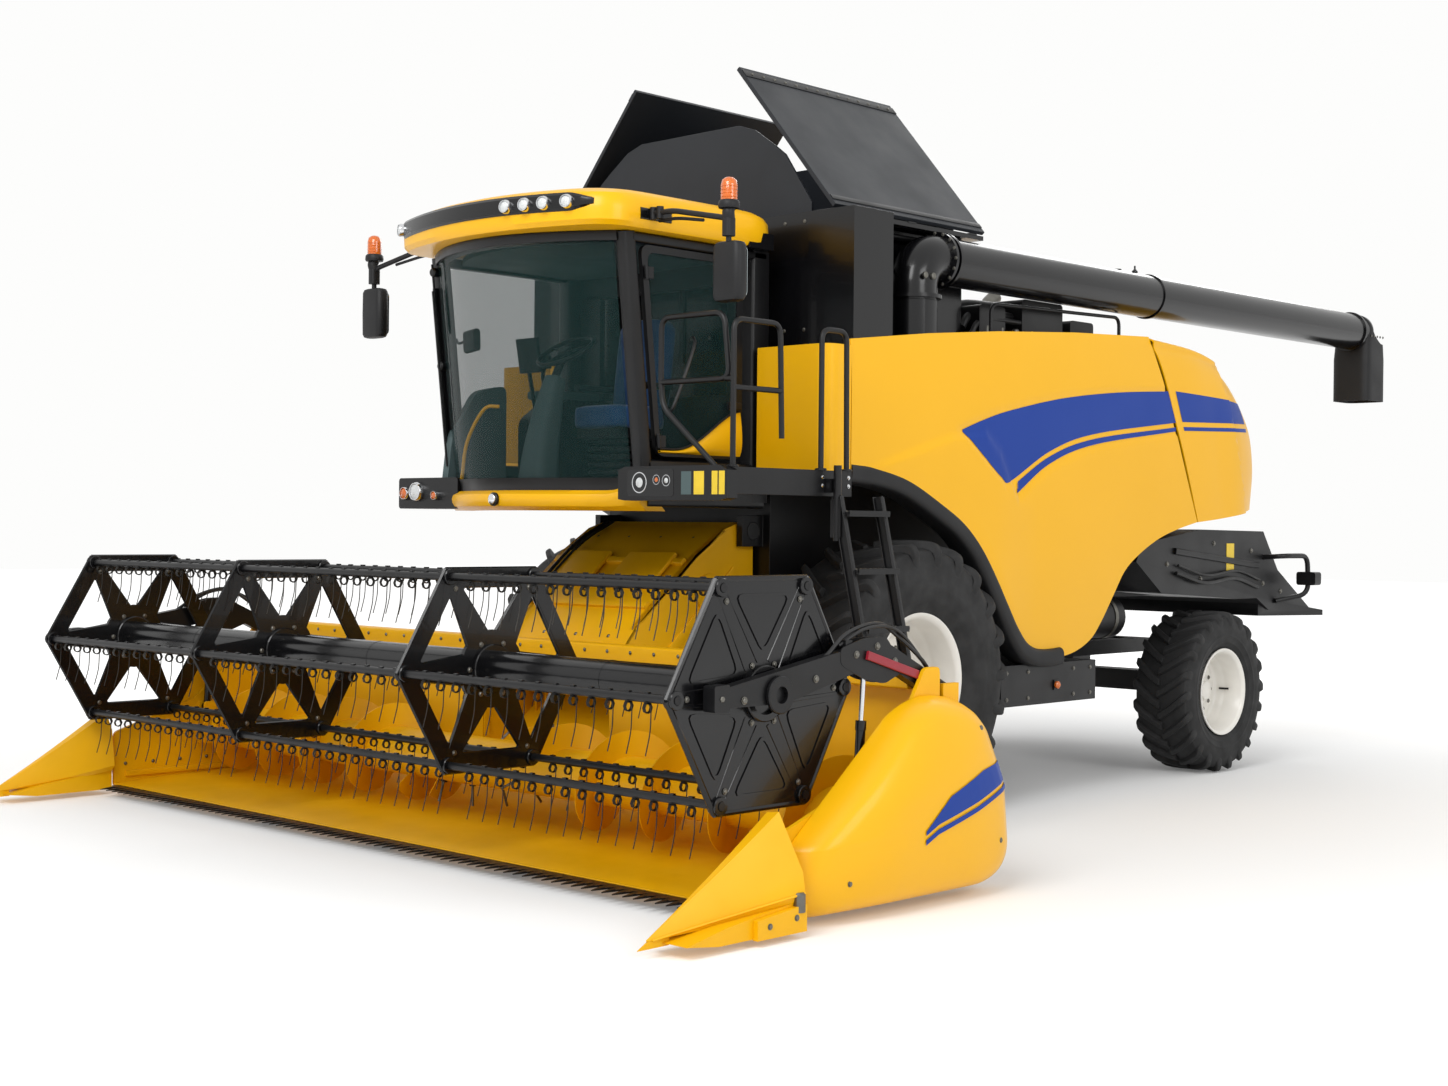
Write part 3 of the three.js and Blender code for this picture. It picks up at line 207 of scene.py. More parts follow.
def slab(outline, low, high, axis="x"):
    """A flat outline given a thickness along an axis. Its two numbers are the other two axes, in order."""
    outline = np.asarray(outline, float)
    others = [i for i in range(3) if i != "xyz".index(axis)]
    points = np.zeros((2, len(outline), 3))
    points[:, :, others] = outline
    points[0, :, "xyz".index(axis)] = low
    points[1, :, "xyz".index(axis)] = high
    count = len(outline)
    caps = [np.arange(count - 1, -1, -1)[None, :], np.arange(count, 2 * count)[None, :]]
    return points.reshape(-1, 3), [grid_faces(2, count, True), *caps]


def block(low, high):
    """A box between two corners."""
    x, y, z = zip(low, high)
    return slab([(y[0], z[0]), (y[1], z[0]), (y[1], z[1]), (y[0], z[1])], x[0], x[1])


def hoop(inner, outer, half, centre, axis, segments):
    """A flat-sided ring: a rectangle from inner to outer radius, half thick each way, turned round."""
    return revolve([(inner, -half), (outer, -half), (outer, half), (inner, half)], centre, axis, segments)


def loft(rings):
    """Rings with equally many points, joined in their order and closed at both ends by flat caps."""
    rings = np.asarray(rings, float)
    steps, count = rings.shape[:2]
    around = np.arange(count)[None, :]
    return rings.reshape(-1, 3), [grid_faces(steps, count, True), around[:, ::-1],
                                  (steps - 1) * count + around]


def normals(points):
    """Unit normals of a grid of points, from the cross product of its two slopes."""
    return unit(np.cross(np.gradient(points, axis=0), np.gradient(points, axis=1)))


def thick(points, depth):
    """A closed sheet: the grid, the same grid moved by depth along its normals, and its four edges."""
    rows, columns = points.shape[:2]
    other = points + depth * normals(points)
    count = rows * columns
    index = np.arange(count).reshape(rows, columns)
    rim = np.concatenate([index[0, :-1], index[:-1, -1], index[-1, :0:-1], index[:0:-1, 0]])
    after = np.roll(rim, -1)
    edge = np.stack([rim, after, after + count, rim + count], -1)
    front = grid_faces(rows, columns)
    return np.concatenate([points.reshape(-1, 3), other.reshape(-1, 3)]), [front[:, ::-1], front + count,
        edge]


def stamp(shape, origins, turns=None):
    """Copies of a shape, each turned by its own 3 by 3 matrix, whose columns are the new axes, and moved."""
    points, faces = shape
    origins = np.asarray(origins, float).reshape(-1, 3)
    turns = np.broadcast_to(np.eye(3) if turns is None else turns, (len(origins), 3, 3))
    copies = origins[:, None] + np.einsum("kij,pj->kpi", turns, points)
    shift = (np.arange(len(origins)) * len(points))[:, None, None]
    blocks = faces if isinstance(faces, list) else [faces]
    return copies.reshape(-1, 3), [(shift + block[None]).reshape(-1, block.shape[1]) for block in blocks]


def facing(direction, count=1):
    """Turns whose third axis is the direction."""
    direction = unit(np.broadcast_to(np.asarray(direction, float), (count, 3)))
    rough = np.where(np.abs(direction[:, 2:]) > 0.9, (1.0, 0, 0), (0, 0, 1.0))
    side = unit(np.cross(rough, direction))
    return np.stack([side, np.cross(direction, side), direction], -1)


def disc(radius, height, sides=16, crown=0.0):
    """A round button on z = 0: a turned profile with its edge rounded and its top raised by crown."""
    edge = min(radius, height) * 0.3
    profile = [
        (1e-4, 0),
        (radius, 0),
        (radius, height - edge),
        (radius - edge, height),
        (radius * 0.5, height + crown * 0.75),
        (1e-4, height + crown),
    ]
    return revolve(profile, (0, 0, 0), "z", sides)


def button(place, direction, radius, height, sides=16, crown=0.0):
    """One round button that faces one way."""
    return stamp(disc(radius, height, sides, crown), [place], facing(direction))


def bolts(origins, direction, size=0.01):
    """Hexagon heads on washers, on the given points and facing one way."""
    origins = np.asarray(origins, float).reshape(-1, 3)
    points, faces = disc(size, size * 0.7, 6)
    washer_points, washer_faces = disc(size * 1.3, size * 0.2, 12)
    joined = np.concatenate([points, washer_points]), np.concatenate([faces, washer_faces + len(points)])
    return stamp(joined, origins, facing(direction, len(origins)))


class Surfaces:
    """The surfaces of one piece: their points, faces and the number of each face's finish."""

    def __init__(self):
        self.points = []
        self.loops = []
        self.totals = []
        self.finish = []
        self.count = 0

    def add(self, shape, finish=0, mirror=False):
        """Adds a shape in one finish, and with mirror also its copy on the machine's other side."""
        points, faces = shape
        blocks = faces if isinstance(faces, list) else [faces]
        for sign in (1, -1) if mirror else (1,):
            self.points.append(points * (sign, 1, 1))
            for faces_of_one_size in blocks:
                ordered = faces_of_one_size[:, ::sign] + self.count
                self.loops.append(ordered.ravel())
                self.totals.append(np.full(len(ordered), ordered.shape[1]))
                self.finish.append(np.full(len(ordered), finish))
            self.count += len(points)
        return self

    def to_side(self, sign):
        """Puts everything on the left side for 1, and on the right side for -1."""
        self.points = [points * (sign, 1, 1) for points in self.points]


def dress(obj, finishes, body, stands_for=(), bevel=0.0, angle=35):
    """Gives a finished mesh its materials, edge rounding, body and the nodes it stands for.

    A finish is a maker function, or a maker with the values it takes.
    """
    for finish in finishes:
        maker, *values = finish if isinstance(finish, tuple) else (finish,)
        obj.data.materials.append(paint(maker, *values))
    obj.data.polygons.foreach_set("use_smooth", np.ones(len(obj.data.polygons), bool))
    obj.data.set_sharp_from_angle(angle=math.radians(angle))
    if bevel:
        modifier = obj.modifiers.new("Rounded edges", "BEVEL")
        modifier.width = bevel
        modifier.segments = 1
        modifier.limit_method = "ANGLE"
        modifier.angle_limit = math.radians(angle)
        modifier.use_clamp_overlap = True
        modifier.harden_normals = True
    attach(obj, body)
    if stands_for:
        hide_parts(*stands_for)
    return obj


def build(name, work, finishes, body, stands_for=(), bevel=0.0, angle=35, turn_out=True):
    """Makes one object of the collected surfaces, moved from the front axle's origin to the frame's."""
    points = np.concatenate(work.points) + (0, AXLE_Y, 0)
    loops = np.concatenate(work.loops)
    totals = np.concatenate(work.totals)
    mesh = bpy.data.meshes.new(name)
    mesh.vertices.add(len(points))
    mesh.vertices.foreach_set("co", points.astype(np.float32).ravel())
    mesh.loops.add(len(loops))
    mesh.loops.foreach_set("vertex_index", loops.astype(np.int32))
    mesh.polygons.add(len(totals))
    mesh.polygons.foreach_set("loop_start", (np.cumsum(totals) - totals).astype(np.int32))
    mesh.polygons.foreach_set("material_index", np.concatenate(work.finish).astype(np.int32))
    mesh.update(calc_edges=True)
    mesh.validate()
    shaped = bmesh.new()
    shaped.from_mesh(mesh)
    bmesh.ops.remove_doubles(shaped, verts=shaped.verts, dist=2e-5)
    bmesh.ops.dissolve_degenerate(shaped, edges=shaped.edges, dist=1e-6)
    if turn_out:
        bmesh.ops.recalc_face_normals(shaped, faces=shaped.faces)
    shaped.to_mesh(mesh)
    shaped.free()
    obj = bpy.data.objects.new(name, mesh)
    bpy.context.scene.collection.objects.link(obj)
    return dress(obj, finishes, body, stands_for, bevel, angle)


def refined(node, finish, bevel=0.004, angle=28):
    """A merged copy of a node, with flat faces joined and edges rounded, which stands for that node."""
    source = frame["nodes"][node]
    mesh = source.data.copy()
    mesh.materials.clear()
    shaped = bmesh.new()
    shaped.from_mesh(mesh)
    bmesh.ops.remove_doubles(shaped, verts=shaped.verts, dist=1e-5)
    bmesh.ops.dissolve_limit(shaped, angle_limit=math.radians(0.5), verts=shaped.verts, edges=shaped.edges,
                             use_dissolve_boundaries=False)
    for attribute in list(shaped.loops.layers.uv):
        shaped.loops.layers.uv.remove(attribute)
    shaped.to_mesh(mesh)
    shaped.free()
    obj = bpy.data.objects.new(f"{node}_body", mesh)
    bpy.context.scene.collection.objects.link(obj)
    return dress(obj, [finish], source["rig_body"], [node], bevel, angle)


# ---------------------------------------------------------------- materials


def linear(hex_colour):
    """An sRGB hex colour as linear red, green, blue and an alpha of 1."""
    share = np.array([int(hex_colour[i : i + 2], 16) for i in (1, 3, 5)]) / 255
    value = np.where(share <= 0.04045, share / 12.92, ((share + 0.055) / 1.055) ** 2.4)
    return (*value.tolist(), 1.0)


def add_node(tree, kind, settings=None, inputs=None):
    """Adds a node. settings are its own values. inputs are sockets to set, or to link when given a socket."""
    node = tree.nodes.new(kind)
    for key, value in (settings or {}).items():
        setattr(node, key, value)
    for key, value in (inputs or {}).items():
        if isinstance(value, bpy.types.NodeSocket):
            tree.links.new(value, node.inputs[key])
        else:
            node.inputs[key].default_value = value
    return node


def surface(name, colour, roughness, mottle=0.06, patch=0.35, grain=0.004, bump=0.15, **sockets):
    """A procedural finish: two scales of colour change, roughness that drifts with them, and a fine bump.

    patch and grain are sizes in metres, of the soft patches and of the surface's own texture.
    """
    material = bpy.data.materials.new(name)
    material.use_nodes = True
    tree = material.node_tree
    shader = tree.nodes["Principled BSDF"]
    place = add_node(tree, "ShaderNodeTexCoord").outputs["Object"]
    soft = add_node(tree, "ShaderNodeTexNoise", inputs={"Vector": place, "Scale": 1 / patch, "Detail": 4.0})
    fine = add_node(tree, "ShaderNodeTexNoise", inputs={"Vector": place, "Scale": 1 / grain, "Detail": 2.0})
    dark = add_node(tree, "ShaderNodeMapRange",
                    inputs={"Value": soft.outputs["Fac"], "From Min": 0.3, "From Max": 0.7,
                            "To Min": 1 - mottle, "To Max": 1.0})
    shade = add_node(tree, "ShaderNodeMix", {"data_type": "RGBA", "blend_type": "MULTIPLY"},
                     {"Factor": 1.0, 6: linear(colour), 7: dark.outputs["Result"]})
    rough = add_node(tree, "ShaderNodeMapRange",
                     inputs={"Value": soft.outputs["Fac"], "From Min": 0.3, "From Max": 0.7,
                             "To Min": roughness * 1.15, "To Max": roughness * 0.88})
    height = add_node(tree, "ShaderNodeBump",
                      inputs={"Strength": bump, "Distance": grain * 0.12, "Height": fine.outputs["Fac"]})
    tree.links.new(shade.outputs[2], shader.inputs["Base Color"])
    tree.links.new(rough.outputs["Result"], shader.inputs["Roughness"])
    tree.links.new(height.outputs["Normal"], shader.inputs["Normal"])
    for socket, value in sockets.items():
        shader.inputs[socket.replace("_", " ")].default_value = value
    return material


def moulded_yellow():
    """Pigmented fibreglass panels under clear coat: glossy, with a faint ripple."""
    return surface("Moulded panel, yellow gelcoat", YELLOW, 0.36, 0.03, 0.9, 0.05, 0.02, Coat_Weight=0.1,
                   Specular_IOR_Level=0.3)


def enamel_yellow():
    """Sprayed enamel on welded sheet: orange peel and slightly uneven gloss."""
    return surface("Sheet steel, yellow enamel", YELLOW, 0.42, 0.08, 0.3, 0.006, 0.1, Specular_IOR_Level=0.3)


def enamel_black():
    """Black chassis enamel: satin, with dust dulling it in patches."""
    return surface("Sheet steel, black enamel", "#0D0D0F", 0.38, 0.35, 0.25, 0.005, 0.1,
                   Specular_IOR_Level=0.35)


def gloss_black():
    """Black gloss enamel on rolled steel, as on the tank front and the unloading tube."""
    return surface("Rolled steel, gloss black", "#0A0A0C", 0.22, 0.2, 0.5, 0.02, 0.03, Coat_Weight=0.15,
                   Specular_IOR_Level=0.35)


def moulded_black():
    """Grained black polypropylene: fine leather-like grain, 1.5 mm drawn as 4 mm so that it shows."""
    return surface("Grained polypropylene, black", "#111113", 0.52, 0.2, 0.3, 0.004, 0.3,
                   Specular_IOR_Level=0.35)


def graphite_coat():
    """Powder-coated aluminium sheet, dark grey with a fine texture."""
    return surface("Powder coat, graphite", "#1E2126", 0.45, 0.12, 0.4, 0.004, 0.2, Specular_IOR_Level=0.35)


def wheel_enamel():
    """Warm white wheel enamel, with a little soil in the patches."""
    return surface("Wheel enamel, warm white", "#E4E1DA", 0.35, 0.08, 0.15, 0.006, 0.06, Coat_Weight=0.2)


def tyre_rubber():
    """Carbon-black tyre rubber: matt, with pale dust in soft patches and a fine pitted skin."""
    return surface("Tyre rubber", "#121213", 0.72, 0.3, 0.12, 0.006, 0.4)


def chromed_steel():
    """Hard chrome on a ground rod."""
    return surface("Hard chrome", "#D9DADC", 0.12, 0.04, 0.1, 0.003, 0.02, Metallic=1.0)


def zinc_steel():
    """Bright zinc plating on fasteners and springs."""
    return surface("Zinc plate", "#77756F", 0.4, 0.2, 0.05, 0.003, 0.1, Metallic=1.0)


def spring_steel():
    """Oil-hardened spring wire, dark and slightly shiny."""
    return surface("Oil-hardened spring wire", "#3A3835", 0.35, 0.3, 0.08, 0.003, 0.1, Metallic=0.8)


def decal_blue():
    """Cast vinyl film, blue: smooth and glossy."""
    return surface("Vinyl film, blue", "#00348C", 0.4, 0.03, 0.5, 0.05, 0.01, Specular_IOR_Level=0.25)


def plate_yellow():
    """Blank sticker, lemon yellow."""
    return surface("Vinyl film, lemon", "#E8C62A", 0.4, 0.1, 0.05, 0.01, 0.03)


def prop_red():
    """Red enamel of the safety prop."""
    return surface("Sheet steel, red enamel", "#8E1B2A", 0.35, 0.15, 0.1, 0.005, 0.08)


def trim_grey():
    """Grey-green moulded ABS of the cab lining and column."""
    return surface("Moulded ABS, grey-green", "#4C5C5D", 0.6, 0.1, 0.3, 0.006, 0.05, Specular_IOR_Level=0.3)


def hose_rubber():
    """Braided hydraulic hose under a smooth rubber cover."""
    return surface("Hose rubber", "#141415", 0.5, 0.25, 0.1, 0.004, 0.25)


def tinted_glass():
    """Green-tinted safety glass with a faint ripple. Light passes by alpha, so that the cab inside shows."""
    material = bpy.data.materials.new("Tinted safety glass")
    material.use_nodes = True
    tree = material.node_tree
    shader = tree.nodes["Principled BSDF"]
    place = add_node(tree, "ShaderNodeTexCoord").outputs["Object"]
    ripple = add_node(tree, "ShaderNodeTexNoise", inputs={"Vector": place, "Scale": 1.5, "Detail": 1.0})
    gloss = add_node(tree, "ShaderNodeMapRange",
                     inputs={"Value": ripple.outputs["Fac"], "To Min": 0.03, "To Max": 0.054})
    tree.links.new(gloss.outputs["Result"], shader.inputs["Roughness"])
    for socket, value in {"Base Color": linear("#1F3534"), "Alpha": 0.3, "Specular IOR Level": 0.08}.items():
        shader.inputs[socket].default_value = value
    return material


def lens(name, colour):
    """Fluted lens plastic over a reflector."""
    return surface(name, colour, 0.12, 0.15, 0.02, 0.006, 0.5, Coat_Weight=0.6, Transmission_Weight=0.25)


def mirror_glass():
    """Silvered mirror glass."""
    return surface("Mirror glass", "#C9D2D4", 0.04, 0.03, 0.2, 0.02, 0.01, Metallic=1.0)


def seat_cloth():
    """Woven seat cloth: two crossed thread waves, 3 mm threads drawn as 8 mm so that they show."""
    material = surface("Woven seat cloth, blue", "#1D4F86", 0.85, 0.15, 0.1, 0.004, 0.3, Sheen_Weight=0.4)
    tree = material.node_tree
    place = next(n for n in tree.nodes if n.type == "TEX_COORD").outputs["Object"]
    height = next(n for n in tree.nodes if n.type == "BUMP")
    threads = [
        add_node(tree, "ShaderNodeTexWave", {"bands_direction": direction},
                 {"Vector": place, "Scale": 40.0}).outputs["Fac"]
        for direction in ("X", "Z")
    ]
    weave = add_node(tree, "ShaderNodeMath", {"operation": "MAXIMUM"}, {0: threads[0], 1: threads[1]})
    tree.links.new(weave.outputs["Value"], height.inputs["Height"])
    return material


YELLOW = "#E8AD00"
HEADLAMP = (lens, "Headlamp lens", "#E9ECEC")
AMBER = (lens, "Amber lens", "#E8731A")
made = {}


def paint(maker, *args):
    """The material of a maker function, made once."""
    key = (maker.__name__, *args)
    if key not in made:
        made[key] = maker(*args)
    return made[key]


# ---------------------------------------------------------------- settings


class WheelSettings(bpy.types.PropertyGroup):
    """Sizes of the tyres and rims."""

    lugs: bpy.props.IntProperty(name="Lugs a side", description="Tread bars on each side of a tyre",
                                default=22, min=8)
    lug_height: bpy.props.FloatProperty(name="Lug height", description="Height of a tread bar", default=0.042,
                                        unit="LENGTH")
    lug_width: bpy.props.FloatProperty(name="Lug width", description="Width of a tread bar at its top",
                                       default=0.052, unit="LENGTH")
    nuts: bpy.props.IntProperty(name="Wheel nuts", description="Nuts in a wheel's bolt circle", default=10,
                                min=4)


class PanelSettings(bpy.types.PropertyGroup):
    """Shape of the moulded side panels."""

    crown: bpy.props.FloatProperty(name="Crown", description="How far the panel curves in at its top",
                                   default=0.05, unit="LENGTH")
    recess: bpy.props.FloatProperty(name="Stripe recess",
                                    description="Depth of the pocket that holds the stripe", default=0.01,
                                    unit="LENGTH")
    flare: bpy.props.FloatProperty(name="Arch flare",
                                   description="How far the arch stands out below the crease", default=0.016,
                                   unit="LENGTH")
    wall: bpy.props.FloatProperty(name="Wall", description="Thickness of a moulding", default=0.012,
                                  unit="LENGTH")


class ReelSettings(bpy.types.PropertyGroup):
    """The reel's tines."""

    pitch: bpy.props.FloatProperty(name="Tine pitch", description="Distance between tines on a bar",
                                   default=0.128, unit="LENGTH")
    length: bpy.props.FloatProperty(name="Tine length", description="Length of a tine below its coil",
                                    default=0.23, unit="LENGTH")
    wire: bpy.props.FloatProperty(name="Tine wire", description="Wire diameter", default=0.0062,
                                  unit="LENGTH")


class StageSettings(bpy.types.PropertyGroup):
    """Camera and light."""

    lens: bpy.props.FloatProperty(name="Lens", description="Focal length in millimetres", default=47.83,
                                  min=10)
    sky: bpy.props.FloatProperty(name="Sky light", description="Strength of the even light", default=0.7,
                                 min=0)
    key: bpy.props.FloatProperty(name="Key light", description="Power of the large softbox in watts",
                                 default=1200)


# ---------------------------------------------------------------- wheels


def tyre(hub, width, bead, settings):
    """A lugged tyre round the hub: a turned spline for the carcass, each lug a bar along its own spline."""
    radius = hub[2]
    half = width / 2
    tread = radius - settings.lug_height * (radius / 0.9)
    shares = [(0.7, 0.0), (0.83, 0.1), (0.93, 0.26), (0.99, 0.48), (0.985, 0.7), (0.93, 0.88), (0.8, 0.965),
              (0.45, 0.99), (0.0, 1.0)]
    side = np.array([(bead + (tread - bead) * up, half * out) for out, up in shares])
    outer = smooth(side, 5)
    rings = np.concatenate([outer, outer[-2::-1] * (1, -1)])
    ridge = 0.004 * (np.abs(((rings[:, :1] - bead) / (tread - bead)) % 0.17 - 0.085) < 0.012)
    rings = rings + ridge * np.sign(rings[:, 1:]) * (0, 1)
    inner = rings[::-1] * (1, 0.86) - (0.02, 0)
    inner[:, 0] = np.maximum(inner[:, 0], bead)
    work = Surfaces().add(revolve(np.concatenate([rings, inner]), hub, "x", 96))
    lift = settings.lug_height * (radius / 0.9)
    line = np.array(
        [
            # out of the middle plane, top radius, turned back
            (0.99, tread - 2.6 * lift, 0.0),
            (1.0, tread - 1.1 * lift, 0.004),
            (0.955, tread + 0.3 * lift, 0.016),
            (0.82, tread + 0.88 * lift, 0.06),
            (0.52, tread + lift, 0.15),
            (0.2, tread + lift, 0.235),
            (-0.04, tread + lift, 0.285),
        ]
    )
    line = smooth(line, 3)
    out, top, back = line.T
    count = settings.lugs
    start = np.arange(count) * 2 * np.pi / count
    shape = settings.lug_width / radius * np.array([-0.85, -0.5, 0.5, 0.85])
    taper = np.interp(np.arange(len(line)), [0, 3, len(line) - 1], [0.7, 1.0, 0.9])
    depth = np.array([-1.35, 0.0, 0.0, -1.35]) * lift
    for sign, stagger in ((1, 0.0), (-1, 0.5)):
        turned = start[:, None] + stagger * 2 * np.pi / count + back
        angle = turned[..., None] + taper[:, None] * shape
        level = np.broadcast_to(top[None, :, None] + depth, angle.shape)
        across = sign * half * np.where(depth < 0, 0.965, 1.0) * out[:, None]
        points = np.stack([hub[0] + np.broadcast_to(across, angle.shape), hub[1] + level * np.cos(angle),
                           hub[2] + level * np.sin(angle)], -1)
        rows = len(line)
        bar = [grid_faces(rows, 4, True), np.array([[0, 1, 2, 3]]), np.array([[3, 2, 1, 0]]) + 4 * (rows - 1)]
        shift = (np.arange(count) * rows * 4)[:, None, None]
        work.add((points.reshape(-1, 3), [(shift + faces[None]).reshape(-1, 4) for faces in bar]))
    return work


def rim(hub, radius, width, settings):
    """A deep-dished wheel: one turned profile with flanges, bead seats, a drop centre and a pressed disc."""
    half = width / 2
    share = radius / 0.44
    outer = [(1.0, -1.0), (1.01, -0.97), (0.965, -0.93), (0.935, -0.89), (0.932, -0.6), (0.86, -0.5),
             (0.86, 0.1), (0.932, 0.24), (0.935, 0.89), (0.965, 0.93), (1.01, 0.97), (1.0, 1.0)]
    inner = [(0.965, 1.0), (0.925, 0.93), (0.9, 0.88), (0.897, 0.28), (0.875, 0.2), (0.828, 0.08),
             (0.82, 0.0), (0.79, -0.07), (0.7, -0.09), (0.62, -0.01), (0.55, 0.03), (0.34, 0.03),
             (0.32, 0.06), (0.3, 0.13), (0.22, 0.16), (0.21, 0.3), (0.18, 0.33), (0.001, 0.34),
             (0.001, -0.22), (0.3, -0.2), (0.78, -0.18), (0.828, -0.56), (0.897, -0.66), (0.9, -0.89),
             (0.925, -0.93), (0.965, -1.0)]
    profile = np.array(outer + inner) * (radius, half)
    work = Surfaces().add(revolve(profile, hub, "x", 96))
    angle = np.arange(settings.nuts) * 2 * np.pi / settings.nuts
    ring = 0.47 * radius
    places = np.stack([np.full(angle.shape, hub[0] + 0.03 * half), hub[1] + ring * np.cos(angle),
                       hub[2] + ring * np.sin(angle)], -1)
    work.add(bolts(places, (1, 0, 0), 0.017 * share), 1)
    valve = [(hub[0] + 0.1 * half, hub[1] + 0.8 * radius, hub[2]),
             (hub[0] + 0.45 * half, hub[1] + 0.84 * radius, hub[2])]
    work.add(tube(valve, 0.008, 8), 2)
    return work


class HARVESTER_OT_wheels(bpy.types.Operator):
    """Lugged tyres and dished rims, front and rear"""

    bl_idname = "harvester.wheels"
    bl_label = "Wheels"

    def execute(self, context):
        settings = context.scene.harvester_wheels
        for axle, hub, body_word in (("front", FRONT_HUB, "front_{}_wheel"),
                                     ("rear", REAR_HUB, "rear_{}_wheel")):
            rim_low, rim_high = (np.array(c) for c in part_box(f"left_{axle}_rim"))
            tyre_low, tyre_high = (np.array(c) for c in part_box(f"left_{axle}_tyre"))
            radius = (rim_high[1] - rim_low[1]) / 2 / math.cos(math.pi / 24)
            for side, sign in (("left", 1), ("right", -1)):
                body = body_word.format(side)
                rubber = tyre(hub, tyre_high[0] - tyre_low[0], 0.935 * radius, settings)
                metal = rim(hub, radius, rim_high[0] - rim_low[0], settings)
                for work in (rubber, metal):
                    work.to_side(sign)
                build(f"{side}_{axle}_tyre_tread", rubber, [tyre_rubber], body,
                      [f"{side}_{axle}_tyre"], bevel=0.007)
                build(f"{side}_{axle}_wheel_disc", metal, [wheel_enamel, zinc_steel, moulded_black],
                      body, [f"{side}_{axle}_rim"], angle=50)
        return {"FINISHED"}


# ---------------------------------------------------------------- body panels

ARCH = smooth([(-0.68, 2.205), (-0.4, 2.185), (-0.12, 2.125), (0.21, 1.985), (0.45, 1.86), (0.64, 1.7),
               (0.8, 1.5), (0.92, 1.33), (1.04, 1.17), (1.16, 1.055), (1.31, 0.995), (1.52, 0.985),
               (1.78, 1.015), (1.99, 1.1), (2.12, 1.23), (2.25, 1.4), (2.4, 1.585), (2.6, 1.71), (2.86, 1.82),
               (3.12, 1.89), (3.4, 1.945)], 8)
CREASE = np.array([(-0.68, 2.215), (-0.19, 2.35), (0.32, 2.49), (0.7, 2.53), (0.86, 2.4), (1.06, 2.09)])
PANEL_TOP = np.array([(-0.68, 3.03), (0.1, 3.125), (0.88, 3.2), (1.8, 3.265), (2.76, 3.31)])
STRIPE_TOP = smooth([(0.43, 2.52), (0.7, 2.605), (1.0, 2.68), (1.6, 2.79), (2.3, 2.87), (3.1, 2.925)], 8)
STRIPE_LOW = smooth([(0.43, 2.52), (0.66, 2.36), (0.86, 2.225), (0.98, 2.2), (1.45, 2.42), (2.0, 2.56),
                     (3.1, 2.69)], 8)
LINE_TOP = smooth([(1.02, 2.175), (1.45, 2.385), (2.0, 2.525), (3.1, 2.655)], 8)
LINE_LOW = smooth([(1.06, 2.12), (1.45, 2.335), (2.0, 2.485), (3.1, 2.625)], 8)


def step(value, low, high):
    """0 below low, 1 above high, and a smooth cubic between them."""
    t = np.clip((value - low) / (high - low), 0, 1)
    return t * t * (3 - 2 * t)


def panel_x(y, z, settings):
    """The side panel's x: flat, curved in at its top and foot, with a flare and a stripe pocket."""
    x = 1.548 - settings.crown * np.clip((z - 2.55) / 0.75, 0, 1) ** 2.6
    x = x - 0.03 * np.clip((1.75 - z) / 0.75, 0, 1) ** 2
    crease = np.interp(y, *CREASE.T)
    below = step(crease - z, -0.01, 0.05) * (1 - step(y, 0.8, 1.3)) * step(y, -0.8, -0.2)
    arch = np.interp(y, *ARCH[:90].T)
    x = x + settings.flare * below - 0.5 * settings.flare * below * step(0.22 - (z - arch), 0.0, 0.22)
    top = np.interp(y, *STRIPE_TOP.T) + 0.035
    low = np.interp(y, *STRIPE_LOW.T) - 0.035
    line = np.interp(y, *LINE_LOW.T, left=9) - 0.045
    low = np.where(y > 1.0, np.minimum(low, line), low)
    pocket = step(top - z, 0.0, 0.03) * step(z - low, 0.0, 0.03) * step(y, 0.36, 0.46)
    return x - settings.recess * pocket


def side_panel_surface(settings):
    """The panel: straight columns from its lower edge up to its top edge, put at the depth panel_x gives."""
    columns = np.linspace(0, 1, 280)
    low_share = np.linspace(0, 1, len(ARCH))
    low = np.stack([np.interp(columns, low_share, ARCH[:, i]) for i in (0, 1)], -1)
    top_share = (PANEL_TOP[:, 0] - PANEL_TOP[0, 0]) / (PANEL_TOP[-1, 0] - PANEL_TOP[0, 0])
    top = np.stack([np.interp(columns**0.93, top_share, PANEL_TOP[:, i]) for i in (0, 1)], -1)
    rise = np.linspace(0, 1, 80)[:, None, None]
    flat = low[None] * (1 - rise) + top[None] * rise
    y, z = flat[..., 0], flat[..., 1]
    return np.stack([panel_x(y, z, settings), y, z], -1)


def between(top, low, y0, y1, settings, lift, columns=150, rows=10):
    """A film between two curves on the panel's face, from y0 to y1, lifted off it by lift."""
    y = np.linspace(y0, y1, columns)
    share = np.linspace(0, 1, rows)[:, None]
    z = np.interp(y, *low.T) * (1 - share) + np.interp(y, *top.T) * share
    y = np.broadcast_to(y, z.shape)
    x = panel_x(y, z, settings) + lift
    return thick(np.stack([x, y, z], -1), 0.001)


